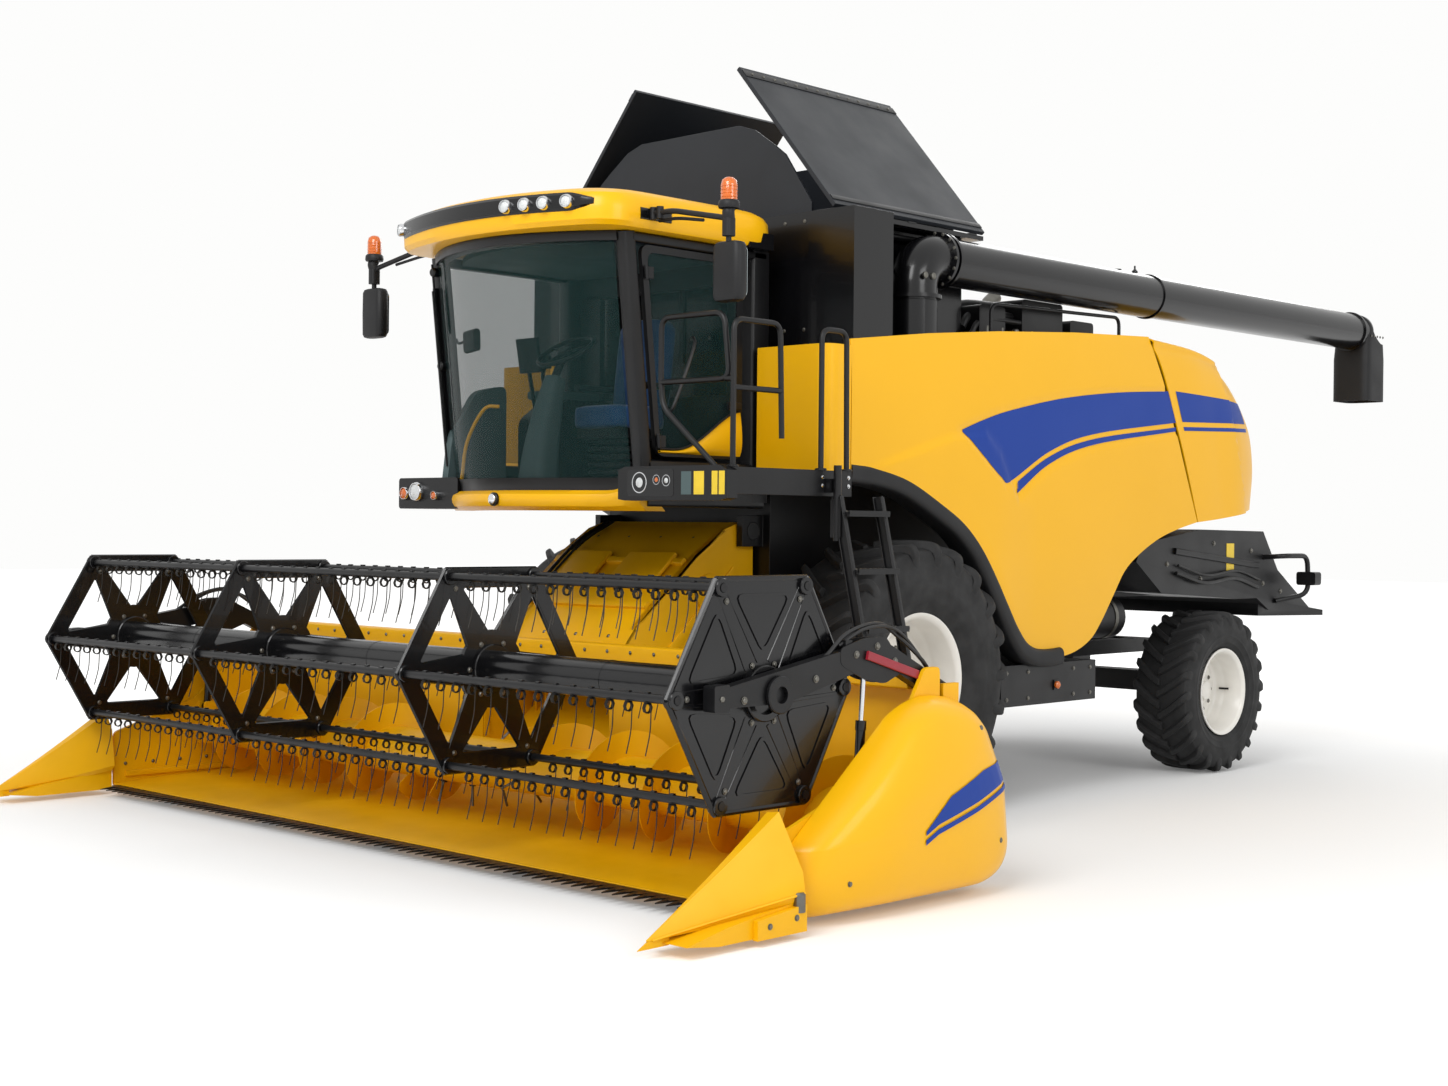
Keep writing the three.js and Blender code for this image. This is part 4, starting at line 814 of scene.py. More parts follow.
HOOD_NET = np.array([[(1.548, 3.415, 1.945), (1.548, 3.23, 2.38), (1.545, 3.08, 2.7), (1.535, 2.93, 3.03),
                      (1.515, 2.82, 3.22), (1.44, 2.785, 3.31), (0.7, 2.77, 3.345), (0, 2.77, 3.35)],
                     [(1.55, 3.75, 1.975), (1.552, 3.66, 2.38), (1.548, 3.6, 2.7), (1.535, 3.53, 3.0),
                      (1.5, 3.48, 3.19), (1.41, 3.45, 3.27), (0.7, 3.4, 3.32), (0, 3.4, 3.33)],
                     [(1.535, 4.15, 2.02), (1.54, 4.15, 2.38), (1.53, 4.12, 2.7), (1.49, 4.05, 2.96),
                      (1.43, 3.98, 3.11), (1.33, 3.92, 3.19), (0.65, 3.8, 3.28), (0, 3.8, 3.3)],
                     [(1.36, 4.58, 2.065), (1.37, 4.6, 2.38), (1.35, 4.56, 2.68), (1.28, 4.46, 2.9),
                      (1.18, 4.33, 3.04), (1.05, 4.22, 3.12), (0.5, 3.95, 3.25), (0, 3.9, 3.28)],
                     [(0.98, 4.8, 2.085), (0.98, 4.82, 2.38), (0.96, 4.79, 2.66), (0.91, 4.7, 2.88),
                      (0.82, 4.55, 3.03), (0.7, 4.38, 3.13), (0.35, 4.08, 3.24), (0, 4.0, 3.275)],
                     [(0, 4.845, 2.09), (0, 4.845, 2.38), (0, 4.83, 2.66), (0, 4.75, 2.88), (0, 4.61, 3.03),
                      (0, 4.44, 3.13), (0, 4.2, 3.23), (0, 4.1, 3.27)]])

HOOD_STEPS = (18, 10)  # steps between two points of the net, along and up


def hood_surface():
    """The rear hood's left half: a net of points splined along the body and up it, with a shallow step."""
    net = smooth(HOOD_NET, HOOD_STEPS[0])
    net = np.swapaxes(smooth(np.swapaxes(net, 0, 1), HOOD_STEPS[1]), 0, 1)
    y, z = net[..., 1], net[..., 2]
    inset = 0.03 * step(y - 0.35 * (2.5 - z), 4.02, 4.04) * step(3.25 - z, 0.0, 0.1)
    side = normals(net)
    outward = np.sign((side * (1, 0.6, 0.3)).sum(-1))[..., None]
    return net - inset[..., None] * side * outward


def film_on(net, low, high, first, last, lift):
    """A film on the hood between two heights: each column of the surface is read where it reaches them."""
    columns = net[first:last, : 4 * HOOD_STEPS[1]]
    share = np.linspace(0, 1, 8)
    rows = []
    for column, z0, z1 in zip(columns, low, high):
        z = z0 + (z1 - z0) * share
        rows.append(np.stack([np.interp(z, column[:, 2], column[:, 0]),
                              np.interp(z, column[:, 2], column[:, 1]), z], -1))
    film = np.array(rows)
    out = normals(film)
    out = out * np.sign((out * (1, 0.6, 0)).sum(-1))[..., None]
    return thick(film + lift * out, 0.001)


class HARVESTER_OT_side_panels(bpy.types.Operator):
    """Moulded side panels with their stripe and the black arch moulding"""

    bl_idname = "harvester.side_panels"
    bl_label = "Side panels"

    def execute(self, context):
        settings = context.scene.harvester_panels
        lip_path = at_x(1.465, ARCH[:92])
        lip_section = oblong(0.125, 0.19, 0.04, 4) - (0.008, 0.0)
        latch = np.array([(1.5, 1.37, 1.35)])
        for side, sign in (("left", 1), ("right", -1)):
            work = Surfaces()
            work.add(thick(side_panel_surface(settings), settings.wall))
            work.add(between(STRIPE_TOP, STRIPE_LOW, 0.445, 3.085, settings, 0.0035), 1)
            work.add(between(LINE_TOP, LINE_LOW, 1.05, 3.085, settings, 0.0035, rows=4), 1)
            work.add(sweep(lip_path, lip_section, up=(1, 0, 0)), 2)
            work.add(stamp(disc(0.028, 0.012, 20), latch + (0.012, 0, 0), facing((1, 0, 0))), 2)
            for y, z in ((0.2, 2.95), (2.3, 3.1)):
                work.add(block((1.4, y - 0.03, z - 0.2), (1.52, y + 0.03, z)), 2)
            work.to_side(sign)
            build(f"{side}_side_moulding", work, [moulded_yellow, decal_blue, moulded_black],
                  f"{side}_panel", [f"{side}_side_panel"], angle=30)
        return {"FINISHED"}


class HARVESTER_OT_rear_hood(bpy.types.Operator):
    """The rear hood, with the stripe's end on each side"""

    bl_idname = "harvester.rear_hood"
    bl_label = "Rear hood"

    def execute(self, context):
        settings = context.scene.harvester_panels
        net = hood_surface()
        work = Surfaces().add(thick(net, -settings.wall), 0, True)
        first = 3
        reach = 43
        y = net[first:reach, 2 * HOOD_STEPS[1], 1]
        low = np.interp(y, [3.1, 4.4], [2.695, 2.735])
        high = np.interp(y, [3.1, 4.4], [2.925, 2.885])
        work.add(film_on(net, low, high, first, reach, 0.002), 1, True)
        work.add(film_on(net, low - 0.065, low - 0.037, first, reach, 0.002), 1, True)
        for s in (1, -1):
            work.add(block((s * 0.64 if s > 0 else -0.69, 3.15, 2.42), (0.69 if s > 0 else -0.64, 4.0, 3.2)),
                     2)
        build("rear_hood_moulding", work, [moulded_yellow, decal_blue, enamel_black],
              "chassis", ["rear_hood"], angle=30)
        return {"FINISHED"}


# ---------------------------------------------------------------- reel and header

REEL_Y, REEL_Z = ((middle("reel") - (0, AXLE_Y, 0))[1:]).tolist()
REEL_RADIUS = 0.584
PLATE_X = (-2.94, -1.114, 0.921, 2.94)


def spokes(radius, count=6):
    """Evenly spaced y and z points on a circle."""
    angle = np.arange(count) * 2 * np.pi / count
    return radius * np.stack([np.cos(angle), np.sin(angle)], -1)


def frame_between(outline, hole, low, high):
    """A flat ring across x between an outline and a hole with as many points, both in y and z."""
    count = len(outline)
    rings = [(outline, low), (outline, high), (hole, high), (hole, low)]
    points = np.concatenate([at_x(x, line) for line, x in rings])
    return points, grid_faces(5, count, True) % (4 * count)


def corner_round(points, radius, steps=4):
    """A closed polygon whose corners are turned into quadratic curves."""
    p = np.asarray(points, float)
    closed = np.concatenate([(p[-1:] + p[:1]) / 2, p, (p[-1:] + p[:1]) / 2])
    return rounded(closed, radius, steps)[:-1]


def open_plate(work, x):
    """A hexagonal plate of channel bars: an outer ring, six spokes between cut triangles, and a hub."""
    outer = spokes(REEL_RADIUS + 0.052)
    inner = spokes(REEL_RADIUS - 0.052)
    work.add(frame_between(outer, inner, x - 0.013, x + 0.013))
    for edge in (outer, inner):
        rim = edge * (1 - 0.006 / REEL_RADIUS)
        path = at_x(x, rim)
        for start, end in zip(path, np.roll(path, -1, axis=0)):
            work.add(tube([start, end], 0.013, 6))
    hub = spokes(0.215, 24)
    bore = spokes(0.1, 24)
    work.add(frame_between(hub, bore, x - 0.013, x + 0.013))
    for angle in np.arange(6) * np.pi / 3:
        out = np.array([math.cos(angle), math.sin(angle)])
        across = np.array([-out[1], out[0]])
        spoke = [0.17 * out + 0.075 * across, 0.56 * out + 0.03 * across,
                          0.56 * out - 0.03 * across, 0.17 * out - 0.075 * across]
        work.add(slab(spoke, x - 0.012, x + 0.012))
        for sign in (1, -1):
            ends = [0.19 * out + sign * 0.074 * across, 0.575 * out + sign * 0.026 * across]
            work.add(tube(at_x(x, ends), 0.014, 6))
            knee = np.array([0.575 * out + sign * 0.02 * across, 0.5 * out + sign * 0.17 * across])
            gusset = [0.6 * out, knee[1] + 0.035 * out, 0.47 * out + sign * 0.04 * across]
            work.add(slab(gusset, x - 0.009, x + 0.009))


def solid_plate(work, x):
    """The pressed end plate: a hexagon with a rolled rim, six ribs and six pressed triangles."""
    work.add(slab(spokes(REEL_RADIUS + 0.048), x - 0.01, x + 0.01))
    rim = spokes(REEL_RADIUS + 0.044)
    for start, end in zip(rim, np.roll(rim, -1, axis=0)):
        work.add(tube([(x, *start), (x, *end)], 0.016, 8))
    for angle in np.arange(6) * np.pi / 3:
        out = np.array([math.cos(angle), math.sin(angle)])
        start, end = 0.15 * out, 0.575 * out
        across = np.array([-out[1], out[0]])
        for sign in (1, -1):
            shift = sign * 0.045 * across
            line = [(x, *(start + shift)), (x, *(end + shift * 0.6))]
            work.add(tube(line, 0.0165, 6, [1.0, 0.8]))
        middle_out = np.array([math.cos(angle + np.pi / 6), math.sin(angle + np.pi / 6)])
        side = np.array([-middle_out[1], middle_out[0]])
        pressed = np.array([0.18 * middle_out, 0.475 * middle_out + 0.2 * side,
                            0.475 * middle_out - 0.2 * side])
        pressed = corner_round(pressed, 0.06)
        centre = pressed.mean(0)
        work.add(frame_between(pressed, centre + 0.9 * (pressed - centre), x - 0.016, x + 0.016))


class HARVESTER_OT_reel(bpy.types.Operator):
    """Reel tube, plates, bosses, and the six tine bars with their spring tines"""

    bl_idname = "harvester.reel"
    bl_label = "Reel"

    def execute(self, context):
        settings = context.scene.harvester_reel
        work = Surfaces()
        work.add(tube([(-2.94, 0, 0), (2.94, 0, 0)], 0.1, 32))
        work.add(tube([(-2.984, 0, 0), (2.984, 0, 0)], 0.04, 20))
        for x in PLATE_X:
            work.add(revolve([(0.1, -0.035), (0.13, -0.035), (0.135, -0.03), (0.135, 0.03), (0.13, 0.035),
                              (0.1, 0.035)],
                             (x, 0, 0), "x", 32))
        for x in (-2.0, -0.1, 1.9):
            work.add(hoop(0.095, 0.1015, 0.006, (x, 0, 0), "x", 32))
        for x in PLATE_X[:3]:
            open_plate(work, x)
        solid_plate(work, PLATE_X[3])
        knots = spokes(REEL_RADIUS)
        for x in PLATE_X:
            bearings = at_x(x - 0.028, knots)
            boss = revolve([(0.0235, 0), (0.042, 0), (0.045, 0.004), (0.045, 0.052), (0.042, 0.056),
                            (0.0235, 0.056)],
                           (0, 0, 0), "z", 20)
            work.add(stamp(boss, bearings, facing((1, 0, 0), 6)))
            for sign in (1, -1):
                heads = at_x(x + sign * 0.013, np.concatenate([spokes(0.155), spokes(0.51)]))
                work.add(bolts(heads, (sign, 0, 0), 0.012), 1)
        work.points = [points + (0, REEL_Y, REEL_Z) for points in work.points]
        build("reel_frame", work, [gloss_black, zinc_steel], "reel_rotor", ["reel"],
              bevel=0.002)
        self.tine_bars(settings)
        return {"FINISHED"}

    def tine_bars(self, settings):
        """Six bars. Each tine is one wire: a coil round the bar, and a leg that hangs and bends forward."""
        turns = np.linspace(0, 3 * 2 * np.pi, 25)
        coil = np.stack([turns / turns[-1] * 0.022 - 0.011, 0.025 * np.sin(turns),
                         0.025 * np.cos(turns) - 0.045], -1)
        leg = [(0.011, 0.012, -0.052), (0.012, 0.01, -0.1), (0.012, 0.004, -0.17),
               (0.012, -0.022, -0.035 - settings.length)]
        wire = np.concatenate([coil, smooth(leg, 4)])
        tine = tube(wire, settings.wire / 2, 5)
        clip = block((-0.014, -0.009, -0.03), (0.014, 0.009, 0.027))
        places = np.arange(-2.86, 2.87, settings.pitch)
        near = np.min(np.abs(places[:, None] - np.array(PLATE_X)), axis=1)
        places = places[near > 0.06]
        for index, (out_y, out_z) in enumerate(spokes(REEL_RADIUS)):
            y, z = REEL_Y + out_y, REEL_Z + out_z
            work = Surfaces()
            work.add(tube([(-2.972, y, z), (2.972, y, z)], 0.0215, 14))
            work.add(stamp(tine, xyz(places, y, z)), 1)
            work.add(stamp(clip, xyz(places, y, z)))
            build(f"tine_bar_{index + 1}_with_tines", work, [enamel_black, spring_steel],
                  f"tines_{index + 1}", [f"tine_bar_{index + 1}"], angle=40)


def ram(foot, top, x, share, radius, rod_radius):
    """A ram's barrel and rod between two eyes. share is how far up the barrel reaches."""
    foot = np.array([x, *foot])
    top = np.array([x, *top])
    head = foot + share * (top - foot)
    along = facing(top - foot)[0][:, 2]
    barrel = tube([foot + 0.03 * along, head], radius, 20)
    gland = tube([head - 0.045 * along, head + 0.004 * along], radius * 1.12, 20)
    rod = tube([foot + 0.2 * (top - foot), top], rod_radius, 16)
    return barrel, gland, rod


class HARVESTER_OT_reel_arms(bpy.types.Operator):
    """Reel arms with their rams, hoses, red prop and end brackets"""

    bl_idname = "harvester.reel_arms"
    bl_label = "Reel arms"

    def execute(self, context):
        outline = corner_round(
            [(-1.625, 0.985), (-1.625, 1.055), (-2.2, 1.325), (-2.36, 1.3), (-3.34, 1.135), (-3.34, 1.045),
             (-2.9, 1.045), (-2.26, 1.2), (-2.2, 1.21), (-1.7, 0.975)], 0.03, 4)
        for side, sign in (("left", 1), ("right", -1)):
            work = Surfaces()
            work.add(slab(outline, 2.987, 3.05))
            work.add(slab(corner_round([(-3.4, 1.03), (-3.4, 1.15), (-3.3, 1.155), (-3.3, 1.025)], 0.012),
                          2.982, 3.056))
            hub = revolve([(0.041, -0.0), (0.085, 0.0), (0.09, 0.005), (0.09, 0.02), (0.085, 0.025),
                           (0.041, 0.025)],
                          (3.05, REEL_Y, REEL_Z), "x", 28)
            work.add(hub)
            gusset = corner_round([(-2.02, 1.16), (-2.17, 1.335), (-2.34, 1.335), (-2.52, 1.29),
                                   (-2.52, 1.21), (-2.34, 1.13), (-2.18, 1.1)], 0.03)
            work.add(slab(gusset, 2.9855, 2.993))
            work.add(slab(gusset, 3.044, 3.0515))
            lug = corner_round([(-2.345, 1.13), (-2.345, 1.22), (-2.275, 1.22), (-2.275, 1.13)], 0.02)
            for x in (2.986, 3.042):
                work.add(slab(lug, x, x + 0.009))
            heads = [(3.0515, y, z) for y,
                     z in ((-2.1, 1.21), (-2.24, 1.29), (-2.4, 1.255), (-3.35, 1.09), (-3.2, 1.075),
                           (-2.7, 1.15))]
            work.add(bolts(heads, (1, 0, 0), 0.015), 1)
            prop = [(3.062, -1.93, 1.135), (3.062, -2.33, 1.25)]
            work.add(strut(prop, 0.016, 0.045, 0.006), 2)
            hoses = (([(3.02, -1.74, 1.06), (3.04, -1.85, 1.19), (3.03, -2.05, 1.33), (3.02, -2.2, 1.4),
                       (3.01, -2.42, 1.36), (3.02, -2.6, 1.25), (3.02, -2.75, 1.185)], 0.011),
                     ([(3.02, -1.72, 1.06), (3.01, -1.86, 1.23), (3.05, -2.1, 1.37), (3.03, -2.3, 1.38),
                       (3.02, -2.5, 1.3)], 0.009))
            for line, radius in hoses:
                work.add(tube(smooth(line, 8), radius, 8), 3)
            for y, z in ((-2.45, 1.305), (-2.75, 1.19)):
                work.add(block((2.99, y - 0.025, z - 0.01), (3.045, y + 0.025, z + 0.022)))
            work.to_side(sign)
            build(f"{side}_arm", work, [enamel_black, zinc_steel, prop_red, hose_rubber],
                  "reel_arms", [f"{side}_reel_arm"], bevel=0.003)
            barrel, gland, rod = ram((-2.345, 0.56), (-2.31, 1.16), 3.02, 0.6, 0.025, 0.0135)
            parts = (
                ("reel_barrel", [barrel, gland], 0.026, 0.031, (-2.345, 0.56), gloss_black, "black_paint",
                 "reel_ram_barrels"),
                ("reel_rod", [rod], 0.022, 0.0195, (-2.31, 1.16), chromed_steel, "chromed_rod",
                 "reel_ram_rods"),
            )
            for word, shapes, half, eye, (y, z), maker, slot, body in parts:
                work = Surfaces()
                for shape in shapes:
                    work.add(shape)
                work.add(tube([(3.02 - half, y, z), (3.02 + half, y, z)], eye, 20))
                work.to_side(sign)
                build(f"{side}_{word}_ram", work, [maker], body, [f"{side}_{word}"], bevel=0.002)
        return {"FINISHED"}


def shield_profile(steps=24):
    """The end shield's outline in y and z, walked once. Parts of two points are straight, of three curved."""
    parts = [
        [(-1.64, 0.03), (-2.85, 0.03)],
        [(-2.85, 0.03), (-3.06, 0.04), (-3.025, 0.19)],
        [(-3.025, 0.19), (-2.95, 0.36)],
        [(-2.95, 0.36), (-2.24, 0.93)],
        [(-2.24, 0.93), (-2.08, 1.03), (-1.9, 1.03)],
        [(-1.9, 1.03), (-1.6, 1.02), (-1.53, 0.88)],
        [(-1.53, 0.88), (-1.4, 0.56)],
        [(-1.4, 0.56), (-1.365, 0.25)],
        [(-1.365, 0.25), (-1.36, 0.06), (-1.64, 0.03)],
    ]
    lines = [curve(*part, steps) if len(part) == 3 else np.linspace(*part, steps) for part in parts]
    return np.concatenate([line[:-1] for line in lines])


SHIELD_CENTRE = (-2.16, 0.44)
SHIELD_FOOT = 3.1  # x of the dome's outline
SHIELD_RINGS = np.array([0.0, 0.004, 0.022, 0.05, 0.1, 0.17, 0.26, 0.36, 0.46, 0.58, 0.7, 0.82, 0.92, 0.985])
SHIELD_RISE = np.array([SHIELD_FOOT, 3.112, 3.165, 3.222, 3.28, 3.305, 3.319, 3.33, 3.339, 3.345, 3.349,
                        3.351, 3.3515, 3.352])


def leaned(x, y, z):
    """The dome's x pulled in towards its top and its front, more where it stands out further."""
    lean = 0.09 * np.clip((z - 0.55) / 0.5, 0, 1) ** 1.5 + 0.1 * np.clip((-2.35 - y) / 0.7, 0, 1) ** 1.6
    return x - lean * (x - SHIELD_FOOT) / 0.26


def shield_x(y, z, edge):
    """The shield face's x at given points: how deep each lies inside the outline gives its rise."""
    from_centre = np.stack([y, z], -1) - SHIELD_CENTRE
    angle = np.arctan2(from_centre[..., 1], from_centre[..., 0])
    edge_from = edge - SHIELD_CENTRE
    edge_angle = np.arctan2(edge_from[:, 1], edge_from[:, 0])
    order = np.argsort(edge_angle)
    reach = np.interp(angle, edge_angle[order], np.linalg.norm(edge_from[order], axis=1), period=2 * np.pi)
    inside = 1 - np.linalg.norm(from_centre, axis=-1) / reach
    return leaned(np.interp(inside, SHIELD_RINGS, SHIELD_RISE), y, z)


class HARVESTER_OT_end_shields(bpy.types.Operator):
    """Domed header end shields with their blue stripe, and the folded crop dividers"""

    bl_idname = "harvester.end_shields"
    bl_label = "End shields and dividers"

    def execute(self, context):
        edge = shield_profile()
        rings = SHIELD_RINGS[:, None, None]
        grid = edge[None] * (1 - rings) + SHIELD_CENTRE * rings
        y, z = grid[..., 0], grid[..., 1]
        points = np.stack([leaned(SHIELD_RISE[:, None], y, z), y, z], -1).reshape(-1, 3)
        count = len(edge)
        faces = grid_faces(len(SHIELD_RINGS), count, True)
        hub = (len(SHIELD_RINGS) - 1) * count + np.arange(count)
        back = at_x(3.0915, edge)
        for side, sign in (("left", 1), ("right", -1)):
            work = Surfaces()
            shell = np.concatenate([points, back])
            join = np.stack([np.arange(count), np.roll(np.arange(count), -1)], -1)
            side_faces = np.stack([join[:, 0], join[:, 1], join[:, 1] + len(points),
                                   join[:, 0] + len(points)], -1)
            work.add((shell, [faces, hub[None, :], side_faces, (len(points) + np.arange(count))[None, ::-1]]))
            y = np.linspace(-2.22, -1.455, 60)
            top_z = np.interp(y, [-2.22, -2.02, -1.72, -1.44], [0.4, 0.555, 0.655, 0.7])
            low_z = np.interp(y, [-2.22, -2.12, -1.8, -1.44], [0.38, 0.425, 0.5, 0.6])
            for z0, z1 in ((low_z, top_z), (low_z - 0.048, low_z - 0.022)):
                share = np.linspace(0, 1, 10)[:, None]
                z = z0 * (1 - share) + z1 * share
                grid_y = np.broadcast_to(y, z.shape)
                out = shield_x(grid_y, z, edge) + 0.006
                work.add(thick(np.stack([out, grid_y, z], -1), 0.0006), 1)
            screws = np.array([(-1.66, 0.86), (-1.55, 0.28), (-2.72, 0.2)])
            out = shield_x(screws[:, 0], screws[:, 1], edge) - 0.002
            work.add(bolts(at_x(out, screws), (1, 0, 0), 0.012), 2)
            work.to_side(sign)
            build(f"{side}_shield_moulding", work, [moulded_yellow, decal_blue, zinc_steel],
                  "header", [f"{side}_end_shield"], bevel=0.004, angle=40)
            self.divider(side, sign)
        return {"FINISHED"}

    def divider(self, side, sign):
        """A folded sheet nose: a long upper cone with a ridge, a lower skirt set back, and a cast tip."""
        work = Surfaces()
        tip = np.array([3.13, -3.9, 0.075])
        ring = np.array([(3.01, -3.06, 0.2), (3.05, -3.06, 0.44), (3.09, -3.08, 0.553), (3.165, -3.08, 0.563),
                         (3.3, -3.06, 0.3), (3.315, -3.06, 0.21), (3.3, -3.07, 0.165), (3.03, -3.07, 0.165)])
        share = np.linspace(0, 0.985, 10)[:, None, None]
        rows = ring[None] * (1 - share) + tip * share
        rows[..., 2] -= 0.012 * np.sin(np.pi * share[..., 0])
        work.add(loft(rows))
        nose = np.array([(3.118, -3.76, 0.045), (3.118, -3.76, 0.135), (3.143, -3.76, 0.135),
                         (3.143, -3.76, 0.045)])
        shares = np.array([0, 0.5, 0.97])[:, None, None]
        point = np.array([3.13, -3.948, 0.04])
        work.add(loft(nose[None] * (1 - shares) + point * shares))
        skirt = [(-3.06, 0.035), (-3.06, 0.17), (-3.55, 0.11), (-3.8, 0.06), (-3.6, 0.035)]
        work.add(slab(skirt, 3.05, 3.29))
        work.add(slab([(-3.05, 0.03), (-3.05, 0.155), (-3.38, 0.12), (-3.38, 0.03)], 3.288, 3.3185))
        seam = [(3.318, -3.062, 0.205), (3.14, -3.86, 0.078)]
        work.add(tube(seam, 0.006, 6))
        work.add(bolts([(3.3185, -3.12, 0.1), (3.3185, -3.3, 0.085)], (1, 0, 0), 0.012), 1)
        work.add(button((3.3, -3.085, 0.12), (0, 0, 1), 0.03, 0.09, 18), 1)
        work.to_side(sign)
        build(f"{side}_divider_nose", work, [enamel_yellow, zinc_steel], "header",
              [f"{side}_crop_divider"], bevel=0.004, angle=20)


# ---------------------------------------------------------------- cab

CAB_HALF = 0.92


def bow(x, z, inset=0.0):
    """The y of the cab's bowed front at x and z: a parabola from pillar to pillar that leans with height."""
    share = (z - 2.0) / 1.6
    pillar = -1.78 - 0.18 * share + 0.4 * inset
    half = CAB_HALF - inset
    return pillar - (0.36 - 0.6 * inset) * (1 - (x / half) ** 2)


def bowed_band(x0, x1, z0, z1, out, deep, columns=48, rows=6, top_shape=None):
    """A band along the bowed front from x0 to x1, standing out by out and going in by deep."""
    x = np.linspace(x0, x1, columns)[None]
    low = np.full(columns, z0)
    high = np.full(columns, z1) if top_shape is None else top_shape(x[0])
    share = np.linspace(0, 1, rows)[:, None]
    z = low * (1 - share) + high * share
    crown = np.sin(np.pi * share) ** 0.4
    y = bow(x, z) - out * crown
    face = np.stack([np.broadcast_to(x, z.shape), y, z], -1)
    back = face + (0, deep, 0)
    return loft(np.swapaxes(np.concatenate([face, back[::-1]]), 0, 1))


def glass_front(x0, x1, z0, z1, inset, depth):
    """A bowed pane."""
    x = np.linspace(x0, x1, 40)[None]
    z = np.linspace(z0, z1, 12)[:, None]
    x, z = np.broadcast_arrays(x, z)
    return thick(np.stack([x, bow(x, z, inset), z], -1), depth)


ROOF_HALF = 1.005
ROOF_FRONT = -2.19  # y of the roof's front corners
ROOF_BOW = 0.225  # how far the middle of the front stands before its corners
ROOF_LEVELS = (
    # height, inset, rounding of the corners
    (3.605, 0.055, 0.16),
    (3.612, 0.02, 0.17),
    (3.64, 0.002, 0.17),
    (3.7, 0.0, 0.17),
    (3.762, 0.004, 0.17),
    (3.8, 0.022, 0.18),
    (3.828, 0.06, 0.2),
    (3.848, 0.13, 0.24),
    (3.862, 0.26, 0.3),
    (3.871, 0.44, 0.24),
    (3.874, 0.6, 0.1),
)


def roof_ring(inset, corner, steps=96):
    """The roof's plan at one level: straight sides, a bowed front, and rounded corners, as x and y."""
    share = np.linspace(0, 1, 25)
    half = ROOF_HALF - inset
    front = np.stack([half * (1 - 2 * share), ROOF_FRONT - ROOF_BOW * (1 - (1 - 2 * share) ** 2) + inset], -1)
    rear = -0.765 - inset
    outline = np.concatenate([[(half, rear)], front, [(-half, rear)]])
    reach = min(corner, half * 0.9)
    turned = corner_round_open(outline, reach)
    length = np.concatenate([[0], np.cumsum(np.linalg.norm(np.diff(turned, axis=0), axis=1))])
    at = np.linspace(0, length[-1], steps, endpoint=False)
    return np.stack([np.interp(at, length, turned[:, i]) for i in (0, 1)], -1)


def corner_round_open(outline, reach):
    """The plan's outline walked from the middle of its rear edge, with its four corners rounded by reach."""
    rear_mid = (outline[0] + outline[-1]) / 2
    right, *bowed, left = outline
    inner = [point for point in bowed if abs(point[0]) < abs(right[0]) - reach * 0.9]
    short = min(reach, 0.2)
    front_right = curve(bowed[0] + (0, reach), bowed[0], inner[0], 9)
    front_left = curve(inner[-1], bowed[-1], bowed[-1] + (0, reach), 9)
    rear_right = curve(right - (short, 0), right, right - (0, short), 9)
    rear_left = curve(left - (0, short), left, left + (short, 0), 9)
    return np.concatenate([[rear_mid], rear_right, front_right, inner[1:-1], front_left, rear_left,
                           [rear_mid]])


def ring_loft(rings, heights):
    """Rings of x and y points stacked at heights, closed flat at both ends."""
    return loft([xyz(*ring.T, z) for ring, z in zip(rings, heights)])


def round_lamp(radius, bezel=1.22, depth=0.035):
    """A lamp facing its own z: a bezel ring and a domed lens, as two shapes."""
    ring = revolve(
        [(radius * 0.98, 0), (radius * bezel, 0), (radius * bezel, depth * 0.6), (radius * 1.08, depth),
         (radius * 0.98, depth)],
        (0, 0, 0), "z", 32)
    glass = revolve(
        [(1e-4, depth * 0.2), (radius, depth * 0.2), (radius, depth * 0.7), (radius * 0.7, depth * 0.95),
         (1e-4, depth * 1.08)],
        (0, 0, 0), "z", 32)
    return ring, glass


def lamp_at(work, place, direction, radius, bezel_finish, lens_finish):
    """Adds a round lamp that faces one way."""
    ring, glass = round_lamp(radius)
    turn = facing(direction)
    work.add(stamp(ring, [place], turn), bezel_finish)
    work.add(stamp(glass, [place], turn), lens_finish)


